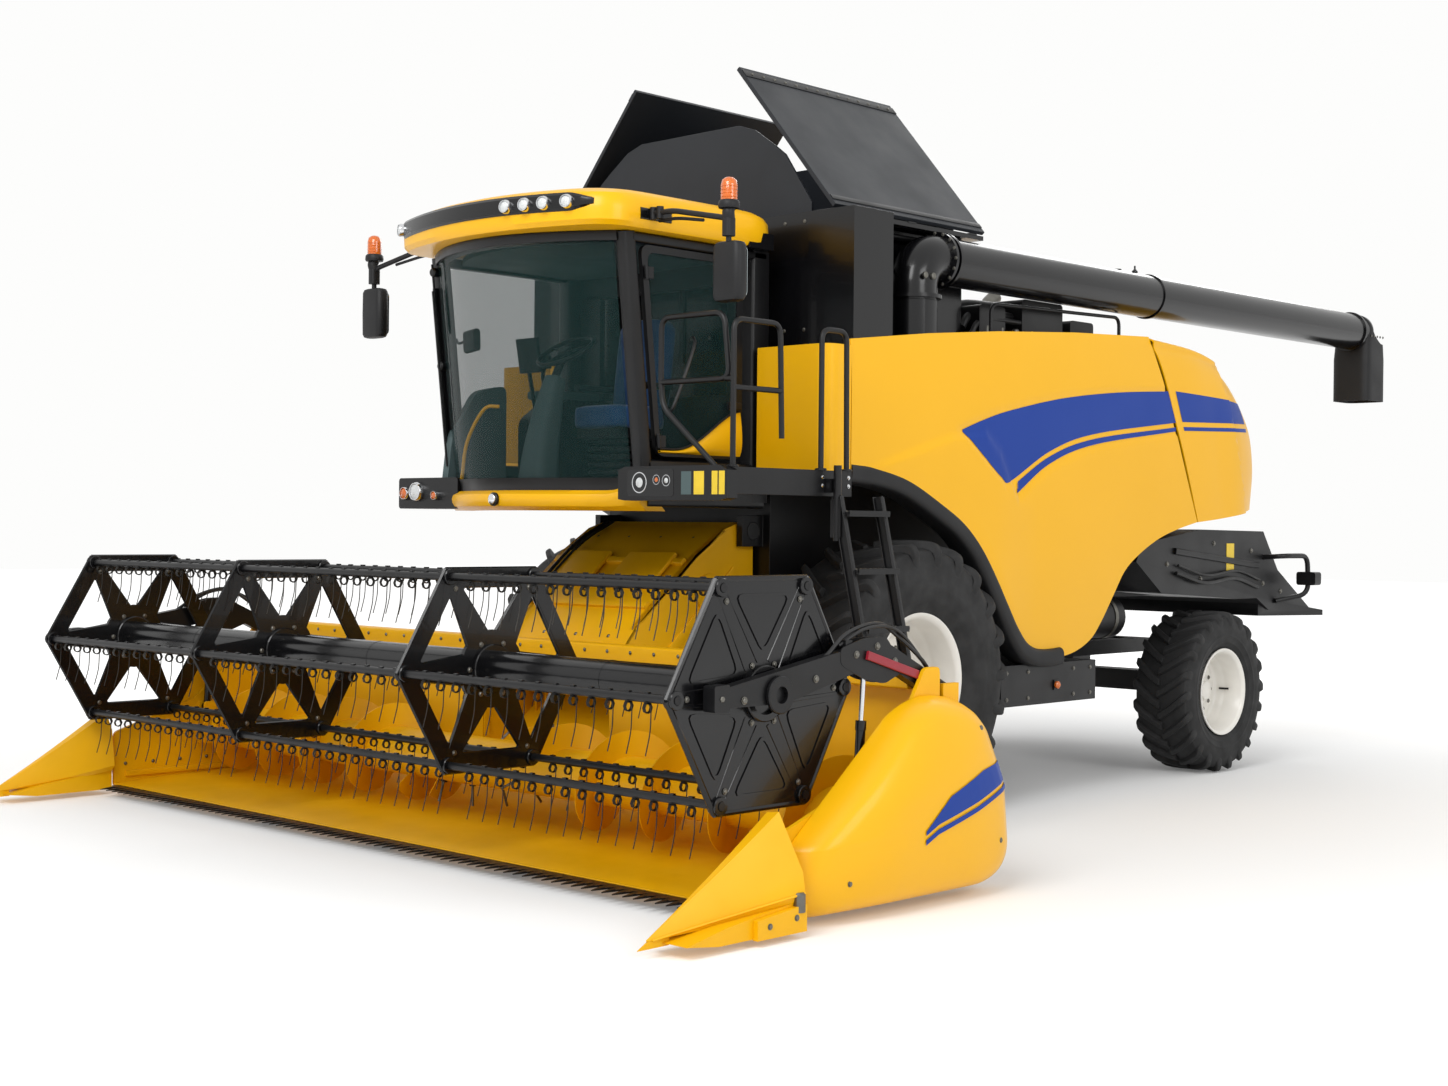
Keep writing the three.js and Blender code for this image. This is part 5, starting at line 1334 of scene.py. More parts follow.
class HARVESTER_OT_cab_roof(bpy.types.Operator):
    """Roof moulding with its lamp band"""

    bl_idname = "harvester.cab_roof"
    bl_label = "Cab roof"

    def execute(self, context):
        work = Surfaces()
        rings = [roof_ring(inset, corner) for _, inset, corner in ROOF_LEVELS]
        work.add(ring_loft(rings, [z for z, _, _ in ROOF_LEVELS]))
        x = np.linspace(-1.0, 0.9, 90)
        rise = np.array([-0.5, -0.35, 0.0, 0.35, 0.5])
        centre_z = 3.738 + 0.012 * np.cos(x * 1.4)
        height = 0.108 * (1 - step(np.abs(x + 0.05), 0.8, 0.97) * 0.62)
        front_y = ROOF_FRONT - ROOF_BOW * (1 - (x / ROOF_HALF) ** 2)
        corner = 0.155 * np.clip((np.abs(x) - 0.83) / 0.17, 0, 1) ** 2
        z = centre_z[None] + rise[:, None] * height[None]
        out = np.array([0.0, 0.013, 0.016, 0.013, 0.0])[:, None]
        y = front_y[None] + corner[None] - out - 0.001
        face = np.stack([np.broadcast_to(x, z.shape), y, z], -1)
        back = face + (0, 0.06, 0)
        work.add(loft(np.swapaxes(np.concatenate([face, back[::-1]]), 0, 1)), 1)
        for place in (0.34, 0.48, 0.61, 0.76, -0.86):
            y = ROOF_FRONT - ROOF_BOW * (1 - (place / ROOF_HALF) ** 2) - 0.01
            y += 0.155 * max((abs(place) - 0.83) / 0.17, 0) ** 2
            slope = 0.45 * place
            lamp_at(work, (place, y, 3.742), (slope, -1, 0), 0.034, 2, 3)
        for z in (3.7, 3.775):
            trim = xyz(x[12:-12], (front_y + corner)[12:-12] - 0.01, z + 0.004)
            work.add(tube(trim, 0.004, 6), 1)
        work.add(block((0.9, -1.02, 3.6), (1.0, -0.8, 3.7)), 1)
        for sign in (1, -1):
            recess = strut([(sign * 1.0, -1.95, 3.695), (sign * 1.0, -1.7, 3.695)], 0.02, 0.07, 0.009)
            work.add(recess, 1)
        build("roof_moulding", work,
              [moulded_yellow, gloss_black, chromed_steel, (lens, "Work lamp lens", "#E9ECEC")],
              "chassis", ["cab_roof"], angle=32)
        return {"FINISHED"}


def pillar_line(x, z0, z1, inset=0.0, steps=10):
    """Points up a corner of the cab at a given x, on its bowed front."""
    z = np.linspace(z0, z1, steps)
    return xyz(x, bow(np.full(steps, x), z, inset), z)


class HARVESTER_OT_cab(bpy.types.Operator):
    """Cab frame, bumper, lamp boxes, panes, wipers and the driver's controls"""

    bl_idname = "harvester.cab"
    bl_label = "Cab"

    def execute(self, context):
        yellow, black, grey, white, amber, chrome = range(6)
        work = Surfaces()
        for sign in (1, -1):
            corner = pillar_line(sign * (CAB_HALF - 0.045), 2.03, 3.6)
            work.add(strut(corner + (0, 0.045, 0), 0.085, 0.1, 0.02, up=(0, 1, 0)), black)
            rear = [(sign * (CAB_HALF - 0.06), -0.82, 2.03), (sign * (CAB_HALF - 0.06), -0.82, 3.6)]
            work.add(strut(rear, 0.12, 0.16, 0.02, up=(0, 1, 0)), black)
            top = [(sign * (CAB_HALF - 0.045), -1.92, 3.572), (sign * (CAB_HALF - 0.045), -0.78, 3.572)]
            work.add(strut(top, 0.09, 0.06, 0.015), black)
            low = [(sign * (CAB_HALF - 0.045), -1.78, 2.13), (sign * (CAB_HALF - 0.045), -0.78, 2.13)]
            work.add(strut(low, 0.085, 0.28, 0.02), black)
        work.add(bowed_band(-0.86, 0.86, 3.545, 3.603, 0.004, 0.09), black)
        work.add(bowed_band(-0.9, 0.9, 2.02, 2.16, -0.01, 0.12), black)
        work.add(bowed_band(-0.905, 0.905, 1.965, 2.085, 0.055, 0.16,
                            top_shape=lambda x: 2.085 + 0.11 * np.clip((np.abs(x) - 0.72) / 0.19, 0, 1) ** 2),
                 yellow)
        x = np.linspace(0.9, -0.9, 25)
        plan = np.concatenate([[(0.9, -0.76)], np.stack([x, bow(x, 2.0) + 0.01], -1), [(-0.9, -0.76)]])
        work.add(ring_loft([plan, plan], [2.0, 2.07]), black)
        work.add(ring_loft([plan * (0.98, 0.99), plan * (0.98, 0.99)], [3.56, 3.6]), grey)
        wall = [(-0.86, 2.05), (0.86, 2.05), (0.86, 2.72), (-0.86, 2.72)]
        work.add(slab(wall, -0.8, -0.755, "y"), black)
        work.add(slab([(-0.86, 3.42), (0.86, 3.42), (0.86, 3.58), (-0.86, 3.58)], -0.8, -0.755, "y"), black)
        for sign in (1, -1):
            work.add(block((sign * 0.73 - 0.13, -0.8, 2.7), (sign * 0.73 + 0.13, -0.755, 3.45)), black)
        work.add(button((0, -2.197, 2.03), (0, -1, 0.05), 0.042, 0.02, 28, 0.008), black)
        work.add(button((0, -2.215, 2.031), (0, -1, 0.05), 0.032, 0.012, 28, 0.006), chrome)
        # Right lamp box, with its three lamps.
        work.add(strut([(-0.9, -1.72, 2.075), (-0.9, -2.02, 2.075)], 0.62, 0.2, 0.02), black)
        for x, z, radius, glass in ((-1.0, 2.085, 0.052, white), (-1.12, 2.075, 0.036, amber),
                                    (-0.8, 2.06, 0.026, amber)):
            lamp_at(work, (x, -2.02, z), (0, -1, 0), radius, chrome, glass)
        # Wipers on the right edge of the pane.
        for shift, reach in ((0.0, 1.3), (0.05, 1.12)):
            z = np.linspace(2.25, 2.25 + reach, 12)
            x = np.full(12, -0.86 + shift)
            arm = xyz(x, bow(x, z) - 0.03 - shift * 0.3, z)
            work.add(tube(arm, 0.008, 8), black)
        z = np.linspace(2.42, 3.4, 12)
        x = np.full(12, -0.875)
        blade = xyz(x, bow(x, z) - 0.022, z)
        work.add(strut(blade, 0.02, 0.03, 0.006, up=(0, 1, 0)), black)
        for z in (2.25, 2.9, 3.5):
            work.add(button((-0.86, float(bow(-0.86, z)) + 0.01, z), (0, -1, 0), 0.03, 0.05, 14), black)
        self.controls(work, grey, black)
        build("cab_frame", work, [moulded_yellow, enamel_black, trim_grey, HEADLAMP, AMBER, chromed_steel],
              "chassis", ["cab_shell"], bevel=0.003, angle=32)
        self.panes()
        return {"FINISHED"}

    def controls(self, work, grey, black):
        """Column, wheel, display, side console, lever, inner mirror and a grab rail."""
        column = [(0, -1.86, 2.06), (0, -1.83, 2.35), (0, -1.77, 2.62), (0, -1.72, 2.8)]
        work.add(strut(smooth(column, 6), 0.16, 0.14, 0.04, up=(0, 1, 0), scale=np.linspace(1.5, 0.72, 19)),
                 grey)
        work.add(tube([(0, -1.735, 2.78), (0, -1.635, 2.965)], 0.026, 14), black)
        lean = 0.55
        back, rise = math.cos(lean), math.sin(lean)
        x, out = spokes(0.188, 48).T
        rim = xyz(x, out * back, out * rise)
        rim = np.concatenate([rim, rim[:1]]) + (0, -1.632, 2.972)
        work.add(tube(rim, 0.0145, 10, up=(0, -rise, back)), black)
        for angle in (0.3, 2.84, 4.71):
            x, out = 0.185 * math.cos(angle), 0.185 * math.sin(angle)
            spoke = [(0, -1.632, 2.965), (x, -1.632 + out * back, 2.972 + out * rise)]
            work.add(strut(spoke, 0.03, 0.012, 0.004, up=None), black)
        work.add(button((0, -1.64, 2.955), (0, -rise, back), 0.05, 0.03, 20), black)
        console = [(-1.5, 2.06), (-1.5, 2.56), (-1.3, 2.7), (-0.9, 2.7), (-0.9, 2.06)]
        work.add(slab(corner_round(console, 0.05), -0.62, -0.36), black)
        work.add(slab(corner_round([(-1.44, 2.7), (-1.44, 2.755), (-0.98, 2.755), (-0.98, 2.7)], 0.02), -0.6,
                      -0.4), grey)
        lever = [(-0.47, -1.38, 2.72), (-0.47, -1.42, 2.85), (-0.46, -1.4, 2.93)]
        work.add(tube(smooth(lever, 5), 0.014, 10), black)
        work.add(stamp(disc(0.035, 0.09, 16), [(-0.46, -1.4, 2.9)]), black)
        screen = [(-0.42, -1.56, 2.86), (-0.42, -1.6, 3.08)]
        work.add(strut(screen, 0.2, 0.035, 0.01, up=(0, 1, 0)), black)
        work.add(tube([(-0.5, -1.45, 2.6), (-0.45, -1.56, 2.9)], 0.014, 10), black)
        mirror = [(-0.46, -2.06, 3.02), (-0.33, -2.08, 3.03)]
        work.add(strut(mirror, 0.05, 0.14, 0.02), black)
        arm = smooth([(-0.6, -2.03, 3.05), (-0.54, -2.06, 3.02), (-0.46, -2.06, 3.03)], 5)
        work.add(tube(arm, 0.009, 8), black)
        rail = smooth([(-0.6, -1.98, 2.15), (-0.52, -2.0, 2.4), (-0.38, -1.98, 2.6), (-0.3, -1.92, 2.62)], 6)
        work.add(tube(rail, 0.012, 8))
        work.add(slab(corner_round([(-1.95, 2.06), (-1.9, 2.45), (-1.7, 2.75), (-1.45, 2.8), (-1.45, 2.06)],
                                   0.06), -0.86, -0.8), grey)

    def panes(self):
        """The bowed windscreen, the right pane, and the door with its frame and curved skirt."""
        work = Surfaces().add(glass_front(-0.835, 0.835, 2.16, 3.545, 0.012, 0.006))
        build("windscreen_pane", work, [tinted_glass], "chassis", ["windscreen"])
        x = -CAB_HALF + 0.02
        pane = [(-1.745, 2.29), (-0.985, 2.29), (-0.985, 3.54), (-1.87, 3.54)]
        seal = corner_round(pane, 0.05)
        work = Surfaces().add(slab(seal, x - 0.003, x + 0.003))
        build("right_pane", work, [tinted_glass], "chassis", ["right_cab_window"])
        self.door()

    def door(self):
        """The door: a pane, its frame, a yellow skirt with a curved top, handle, rail and two hinges."""
        leaf = [(-1.715, 2.292), (-0.982, 2.292), (-0.982, 3.535), (-1.858, 3.535)]
        outline = corner_round(leaf, 0.07, 6)
        centre = outline.mean(0)
        inner = centre + (outline - centre) * (0.885, 0.93)
        x = CAB_HALF - 0.022
        work = Surfaces().add(slab(centre + (outline - centre) * 0.97, x - 0.003, x + 0.003))
        work.add(frame_between(outline, inner, x - 0.016, x + 0.014), 1)
        y = np.linspace(-1.7, -1.0, 40)
        top = 2.33 + 0.26 * step(y, -1.62, -0.98) ** 1.3
        share = np.linspace(0, 1, 10)[:, None]
        z = 2.31 * (1 - share) + top[None] * share
        skirt = np.stack([x + 0.018 + 0.02 * np.sin(np.pi * share ** 0.7) + 0 * z,
                          np.broadcast_to(y, z.shape), z], -1)
        work.add(thick(skirt, 0.012), 2)
        work.add(tube(xyz(x + 0.024, y, top + 0.004), 0.008, 8), 1)
        work.add(strut([(x + 0.04, -1.13, 2.62), (x + 0.04, -1.02, 2.62)], 0.022, 0.05, 0.008), 1)
        rail = smooth([(x + 0.02, -1.62, 2.55), (x + 0.055, -1.6, 2.62), (x + 0.055, -1.45, 2.95),
                       (x + 0.02, -1.42, 3.02)], 5)
        work.add(tube(rail, 0.01, 8), 1)
        for z in (2.38, 3.37):
            hinge_y = float(-1.78 - 0.18 * (z - 2.0) / 1.6 + 0.106)
            low = [(CAB_HALF + 0.013, hinge_y + 0.0045, z - 0.04),
                   (CAB_HALF + 0.013, hinge_y - 0.0045, z + 0.04)]
            work.add(tube(low, 0.0125, 12), 1)
            work.add(block((CAB_HALF - 0.02, hinge_y + 0.012, z - 0.035),
                           (CAB_HALF + 0.012, hinge_y + 0.06, z + 0.035)), 1)
        build("door_leaf", work, [tinted_glass, enamel_black, moulded_yellow], "door",
              ["cab_door"],
              bevel=0.002)


class HARVESTER_OT_seat(bpy.types.Operator):
    """The driver's padded seat on its pedestal"""

    bl_idname = "harvester.seat"
    bl_label = "Driver's seat"

    def execute(self, context):
        low, high = (np.array(corner) - (0, AXLE_Y, 0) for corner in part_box("operator_seat"))
        work = Surfaces()
        turn = np.linspace(0, 2 * np.pi, 48, endpoint=False)

        def cushion(centre, size, lean=0.0):
            """A squashed box: each ring is a rounded square, smaller towards top and bottom."""
            levels = np.linspace(-1, 1, 14)
            swell = (1 - np.abs(levels) ** 4.5) ** 0.5 * 0.12 + 0.88
            swell[0] = swell[-1] = 0.8
            plan = np.stack([np.sign(np.cos(turn)) * np.abs(np.cos(turn)) ** 0.42,
                             np.sign(np.sin(turn)) * np.abs(np.sin(turn)) ** 0.42], -1)
            rings = plan[None] * swell[:, None, None]
            points = np.concatenate([rings * size[:2],
                                     np.broadcast_to((levels * size[2])[:, None, None], (14, 48, 1))], -1)
            c, s = math.cos(lean), math.sin(lean)
            tilt = np.array([[1, 0, 0], [0, c, s], [0, -s, c]])
            return loft(points @ tilt.T + centre)

        base = low[2]
        work.add(cushion((0, -1.17, base + 0.5), np.array([0.235, 0.235, 0.075])))
        work.add(cushion((0, -0.955, base + 0.83), np.array([0.225, 0.07, 0.31]), 0.12))
        work.add(cushion((0, -0.925, min(base + 1.16, high[2] - 0.03)), np.array([0.13, 0.05, 0.07]), 0.12))
        pads = build("seat_cushions", work, [seat_cloth], "chassis", ["operator_seat"],
                     angle=60)
        stand = Surfaces()
        stand.add(block((-0.2, -1.36, base + 0.36), (0.2, -0.98, base + 0.44)))
        for step_height in np.linspace(0.03, 0.33, 7):
            stand.add(strut([(0, -1.17, base + step_height), (0, -1.17, base + step_height + 0.03)], 0.34,
                            0.3, 0.06, up=(0, 1, 0)))
        for sign in (1, -1):
            stand.add(strut([(sign * 0.275, -1.3, base + 0.7), (sign * 0.275, -0.98, base + 0.7)], 0.06,
                            0.045, 0.02))
            stand.add(tube([(sign * 0.275, -1.0, base + 0.69), (sign * 0.2, -0.98, base + 0.5)], 0.016, 10))
        build("seat_stand", stand, [moulded_black], "chassis", bevel=0.004)
        return {"FINISHED"}


# ---------------------------------------------------------------- header trough

HEADER_HALF = 3.065
AUGER_Y, AUGER_Z = -2.2, 0.425


def flight(sign, start, end, inner, outer, pitch, steps=36):
    """A helical flight: radius and angle run along the tube, and its two faces are 6 mm apart."""
    turns = abs(start - end) / pitch
    t = np.linspace(0, 1, int(turns * steps) + 1)
    angle = sign * 2 * np.pi * turns * t
    x = sign * (start + (end - start) * t)
    section = [(inner, -0.003), (outer, -0.003), (outer, 0.003), (inner, 0.003)]
    edges = [
        xyz(x + sign * shift, AUGER_Y + radius * np.cos(angle), AUGER_Z + radius * np.sin(angle))
        for radius, shift in section
    ]
    return loft(np.stack(edges, 1))


class HARVESTER_OT_header(bpy.types.Operator):
    """Header trough, auger with flights and fingers, and the cutterbar with its guards"""

    bl_idname = "harvester.header"
    bl_label = "Header"

    def execute(self, context):
        work = Surfaces()
        work.add(strut([(-2.97, -1.84, 1.11), (2.97, -1.84, 1.11)], 0.118, 0.118, 0.018))
        profile = smooth([(-1.79, 1.06), (-1.79, 0.6), (-1.8, 0.36), (-1.86, 0.21), (-2.0, 0.125),
                          (-2.25, 0.098), (-2.6, 0.092), (-2.9, 0.078), (-3.036, 0.064)], 8)
        for low, high in ((-HEADER_HALF, -0.6), (0.6, HEADER_HALF)):
            work.add(thick(np.stack([at_x(low, profile), at_x(high, profile)]), 0.006))
        under = profile[profile[:, 1] < 0.42]
        work.add(thick(np.stack([at_x(-0.6, under), at_x(0.6, under)]), 0.006))
        work.add(block((-0.6, -1.8, 1.0), (0.6, -1.785, 1.06)))
        for z, high in ((0.42, 0.055), (0.86, 0.04)):
            for low_x, high_x in ((-3.0, -0.66), (0.66, 3.0)):
                work.add(block((low_x, -1.784, z), (high_x, -1.745 if high > 0.05 else -1.76, z + high)))
        x = np.arange(-2.8, 2.81, 0.4)
        for place in x[np.abs(x) > 0.7]:
            work.add(block((place - 0.02, -1.785, 0.12), (place + 0.02, -1.75, 1.05)))
        skid = [(-1.8, 0.05), (-3.03, 0.045), (-3.03, 0.062), (-1.8, 0.075)]
        for place in (-2.4, -1.2, 0.0, 1.2, 2.4):
            work.add(slab(skid, place - 0.09, place + 0.09), 1)
        lip = [(-HEADER_HALF, -3.028, 0.066), (HEADER_HALF, -3.028, 0.066)]
        work.add(strut(lip, 0.02, 0.012, 0.004))
        end = corner_round([(-1.78, 0.045), (-3.035, 0.045), (-3.035, 0.42), (-2.62, 0.56), (-2.42, 0.62),
                            (-2.06, 0.93), (-1.9, 1.17), (-1.78, 1.17)], 0.03)
        neck = [((-0.64, 0.36), (-0.59, 1.09)), ((0.59, 0.36), (0.64, 1.09))]
        for (x0, z0), (x1, z1) in neck:
            work.add(block((x0, -1.78, z0), (x1, -1.741, z1)))
        for z0, z1 in ((0.36, 0.42), (1.0, 1.09)):
            work.add(block((-0.64, -1.78, z0), (0.64, -1.741, z1)))
        for sign in (1, -1):
            across = sorted((sign * (HEADER_HALF + 0.001), sign * (HEADER_HALF + 0.024)))
            work.add(slab(end, *across))
            post = sorted((sign * 3.059, sign * (HEADER_HALF + 0.024)))
            work.add(block((post[0], -1.75, 0.76), (post[1], -1.62, 1.08)))
            arm_foot = sorted((sign * 2.9, sign * (HEADER_HALF + 0.02)))
            work.add(block((arm_foot[0], -1.785, 0.76), (arm_foot[1], -1.62, 0.92)))
            pin = [(sign * 3.052, -1.68, 1.02), (sign * 3.088, -1.68, 1.02)]
            work.add(tube(pin, 0.036, 20), 1)
            foot = sorted((sign * 2.976, sign * 2.99))
            other = sorted((sign * 3.05, sign * 3.068))
            for low_x, high_x in (foot, other):
                work.add(slab(corner_round([(-2.39, 0.3), (-2.39, 0.6), (-2.3, 0.6), (-2.3, 0.3)], 0.02),
                              low_x, high_x))
            ring = [(sign * 2.99, AUGER_Y, AUGER_Z), (sign * 3.064, AUGER_Y, AUGER_Z)]
            work.add(tube(ring, 0.062, 24), 1)
            rib = [(sign * 3.06, -2.95, 0.13), (sign * 3.06, -1.9, 0.13)]
            work.add(strut(rib, 0.012, 0.04, 0.004))
            bolt_y = np.linspace(-2.95, -1.9, 6)
            work.add(bolts(xyz(sign * 3.064, bolt_y, 0.2), (-sign, 0, 0), 0.01), 2)
        work.add(bolts(xyz(np.linspace(-2.9, 2.9, 30), -1.902, 1.13), (0, -1, 0), 0.009), 2)
        build("header_trough", work, [enamel_yellow, enamel_black, zinc_steel], "header",
              ["header_frame"], bevel=0.003, angle=30)
        self.auger()
        self.knife()
        return {"FINISHED"}

    def auger(self):
        """The tube on its shaft, a left and a right flight, and fingers round its middle."""
        work = Surfaces()
        work.add(tube([(-2.95, AUGER_Y, AUGER_Z), (2.95, AUGER_Y, AUGER_Z)], 0.15, 48))
        work.add(tube([(-3.06, AUGER_Y, AUGER_Z), (3.06, AUGER_Y, AUGER_Z)], 0.038, 20), 1)
        for sign in (1, -1):
            work.add(flight(sign, 2.925, 0.64, 0.135, 0.298, 0.52))
            work.add(flight(sign, 0.6, 0.42, 0.135, 0.27, 0.52))
        places = np.arange(16) * 0.075 - 0.56
        angle = np.arange(16) * 2.2
        reach = np.stack([np.zeros(16), np.cos(angle), np.sin(angle)], -1)
        foot = xyz(places, AUGER_Y, AUGER_Z)
        finger = tube([(0, 0, 0.13), (0, 0, 0.283)], 0.008, 8)
        work.add(stamp(finger, foot, facing(reach, 16)), 1)
        collar = disc(0.022, 0.012, 12)
        work.add(stamp(collar, foot + 0.148 * reach, facing(reach, 16)), 2)
        build("auger_with_flights", work, [enamel_yellow, zinc_steel, moulded_black], "auger",
              ["header_auger"], angle=40)

    def knife(self):
        """Guards every 76 mm: each is a spear that widens, then tapers to a point over the knife."""
        count = 78
        x = (np.arange(count) - (count - 1) / 2) * 0.0762
        profile = [(-3.045, 0.5, 0.062), (-3.075, 1.0, 0.061), (-3.105, 0.75, 0.06), (-3.15, 0.55, 0.058),
                   (-3.205, 0.1, 0.056)]
        rings = []
        for y, scale, z in profile:
            wide = 0.024 * scale
            tall = 0.01 * max(scale, 0.25)
            rings.append([(-wide, y, z - tall), (wide, y, z - tall), (wide, y, z + tall),
                          (-wide, y, z + tall)])
        work = Surfaces()
        work.add(stamp(loft(rings), xyz(x, 0, 0)))
        work.add(block((-3.0, -3.085, 0.05), (3.0, -3.0405, 0.066)))
        section = [(-0.034, -3.07), (0.034, -3.07), (0.006, -3.145), (-0.006, -3.145)]
        blade = slab(section, 0.0665, 0.0695, "z")
        work.add(stamp(blade, xyz(x + 0.038, 0, 0)[:-1]), 1)
        work.add(bolts(xyz(x[::2], -3.058, 0.066), (0, 0, 1), 0.0065), 1)
        build("cutterbar_guards", work, [enamel_black, spring_steel], "header", ["cutterbar"])


# ---------------------------------------------------------------- feeder, walkway, ladder


class HARVESTER_OT_feeder(bpy.types.Operator):
    """Feeder house with its ribs, covers and hoses"""

    bl_idname = "harvester.feeder"
    bl_label = "Feeder house"

    def execute(self, context):
        half = 0.64
        top = np.array([(-0.58, 1.86), (-0.7, 1.905), (-0.85, 1.86), (-1.1, 1.7), (-1.62, 1.255),
                        (-1.735, 1.115)])
        low = np.array([(-0.58, 1.34), (-1.735, 0.34)])
        outline = np.concatenate([top, low[::-1]])
        work = Surfaces()
        for sign in (1, -1):
            work.add(slab(outline, *sorted((sign * half, sign * (half - 0.04)))))
        work.add(thick(np.stack([at_x(-half, top), at_x(half, top)]), 0.02))
        work.add(thick(np.stack([at_x(-half, low), at_x(half, low)]), -0.02))
        for share in (0.12, 0.42, 0.72):
            a = np.array([-1.1, 1.7]) * (1 - share) + np.array([-1.62, 1.255]) * share
            work.add(strut([(-half + 0.04, *a), (half - 0.04, *a)], 0.05, 0.05, 0.008, up=(0, 1, -1)))
        lid = np.array([(-0.42, -1.14, 1.7), (-0.42, -1.36, 1.512)])
        for x in (-0.3, 0.3):
            work.add(strut(lid + (x + 0.42, 0, 0), 0.42, 0.03, 0.01, up=(0, 1, 1)))
        for x in (-0.45, -0.15, 0.15, 0.45):
            work.add(bolts([(x, -0.93, 1.8), (x, -1.66, 1.2)], (0, -0.6, 0.8), 0.012), 1)
        shaft = [(-0.7, -0.64, 1.85), (0.7, -0.64, 1.85)]
        work.add(tube(shaft, 0.0545, 24), 2)
        pipe = smooth([(-0.5, -0.8, 1.905), (-0.5, -1.12, 1.735), (-0.5, -1.6, 1.315), (-0.5, -1.7, 1.2)], 6)
        work.add(tube(pipe, 0.014, 8), 2)
        work.add(tube(pipe + (0.05, 0, 0), 0.011, 8), 2)
        for sign in (1, -1):
            rib = [(sign * (half + 0.004), -0.75, 1.6), (sign * (half + 0.004), -1.6, 0.86)]
            work.add(strut(rib, 0.012, 0.06, 0.004, up=(0, 1, 1)))
            hub = (sign * (half + 0.001), -0.98, 1.46)
            work.add(button(hub, (sign, 0, 0), 0.12, 0.012, 32))
            work.add(bolts([(sign * (half + 0.013), -0.98 + 0.09 * math.cos(a),
                             1.46 + 0.09 * math.sin(a)) for a in np.arange(6) * np.pi / 3],
                           (sign, 0, 0), 0.009), 1)
            lug_x = 0.48
            for shift in (-0.05, 0.05):
                middle_x = sign * lug_x + shift
                work.add(slab(corner_round([(-1.405, 0.505), (-1.405, 0.8), (-1.255, 0.8), (-1.255, 0.505)],
                    0.03),
                              middle_x - 0.011, middle_x + 0.011))
        build("feeder_casing", work, [enamel_yellow, zinc_steel, hose_rubber], "header",
              ["feeder_house"], bevel=0.004, angle=28)
        return {"FINISHED"}


def rail_bars(work, lines, radius=0.0165, bend=0.07, finish=0):
    """Adds bent round bars along the lines."""
    for line in lines:
        work.add(tube(rounded(line, bend, 7), radius, 12), finish)


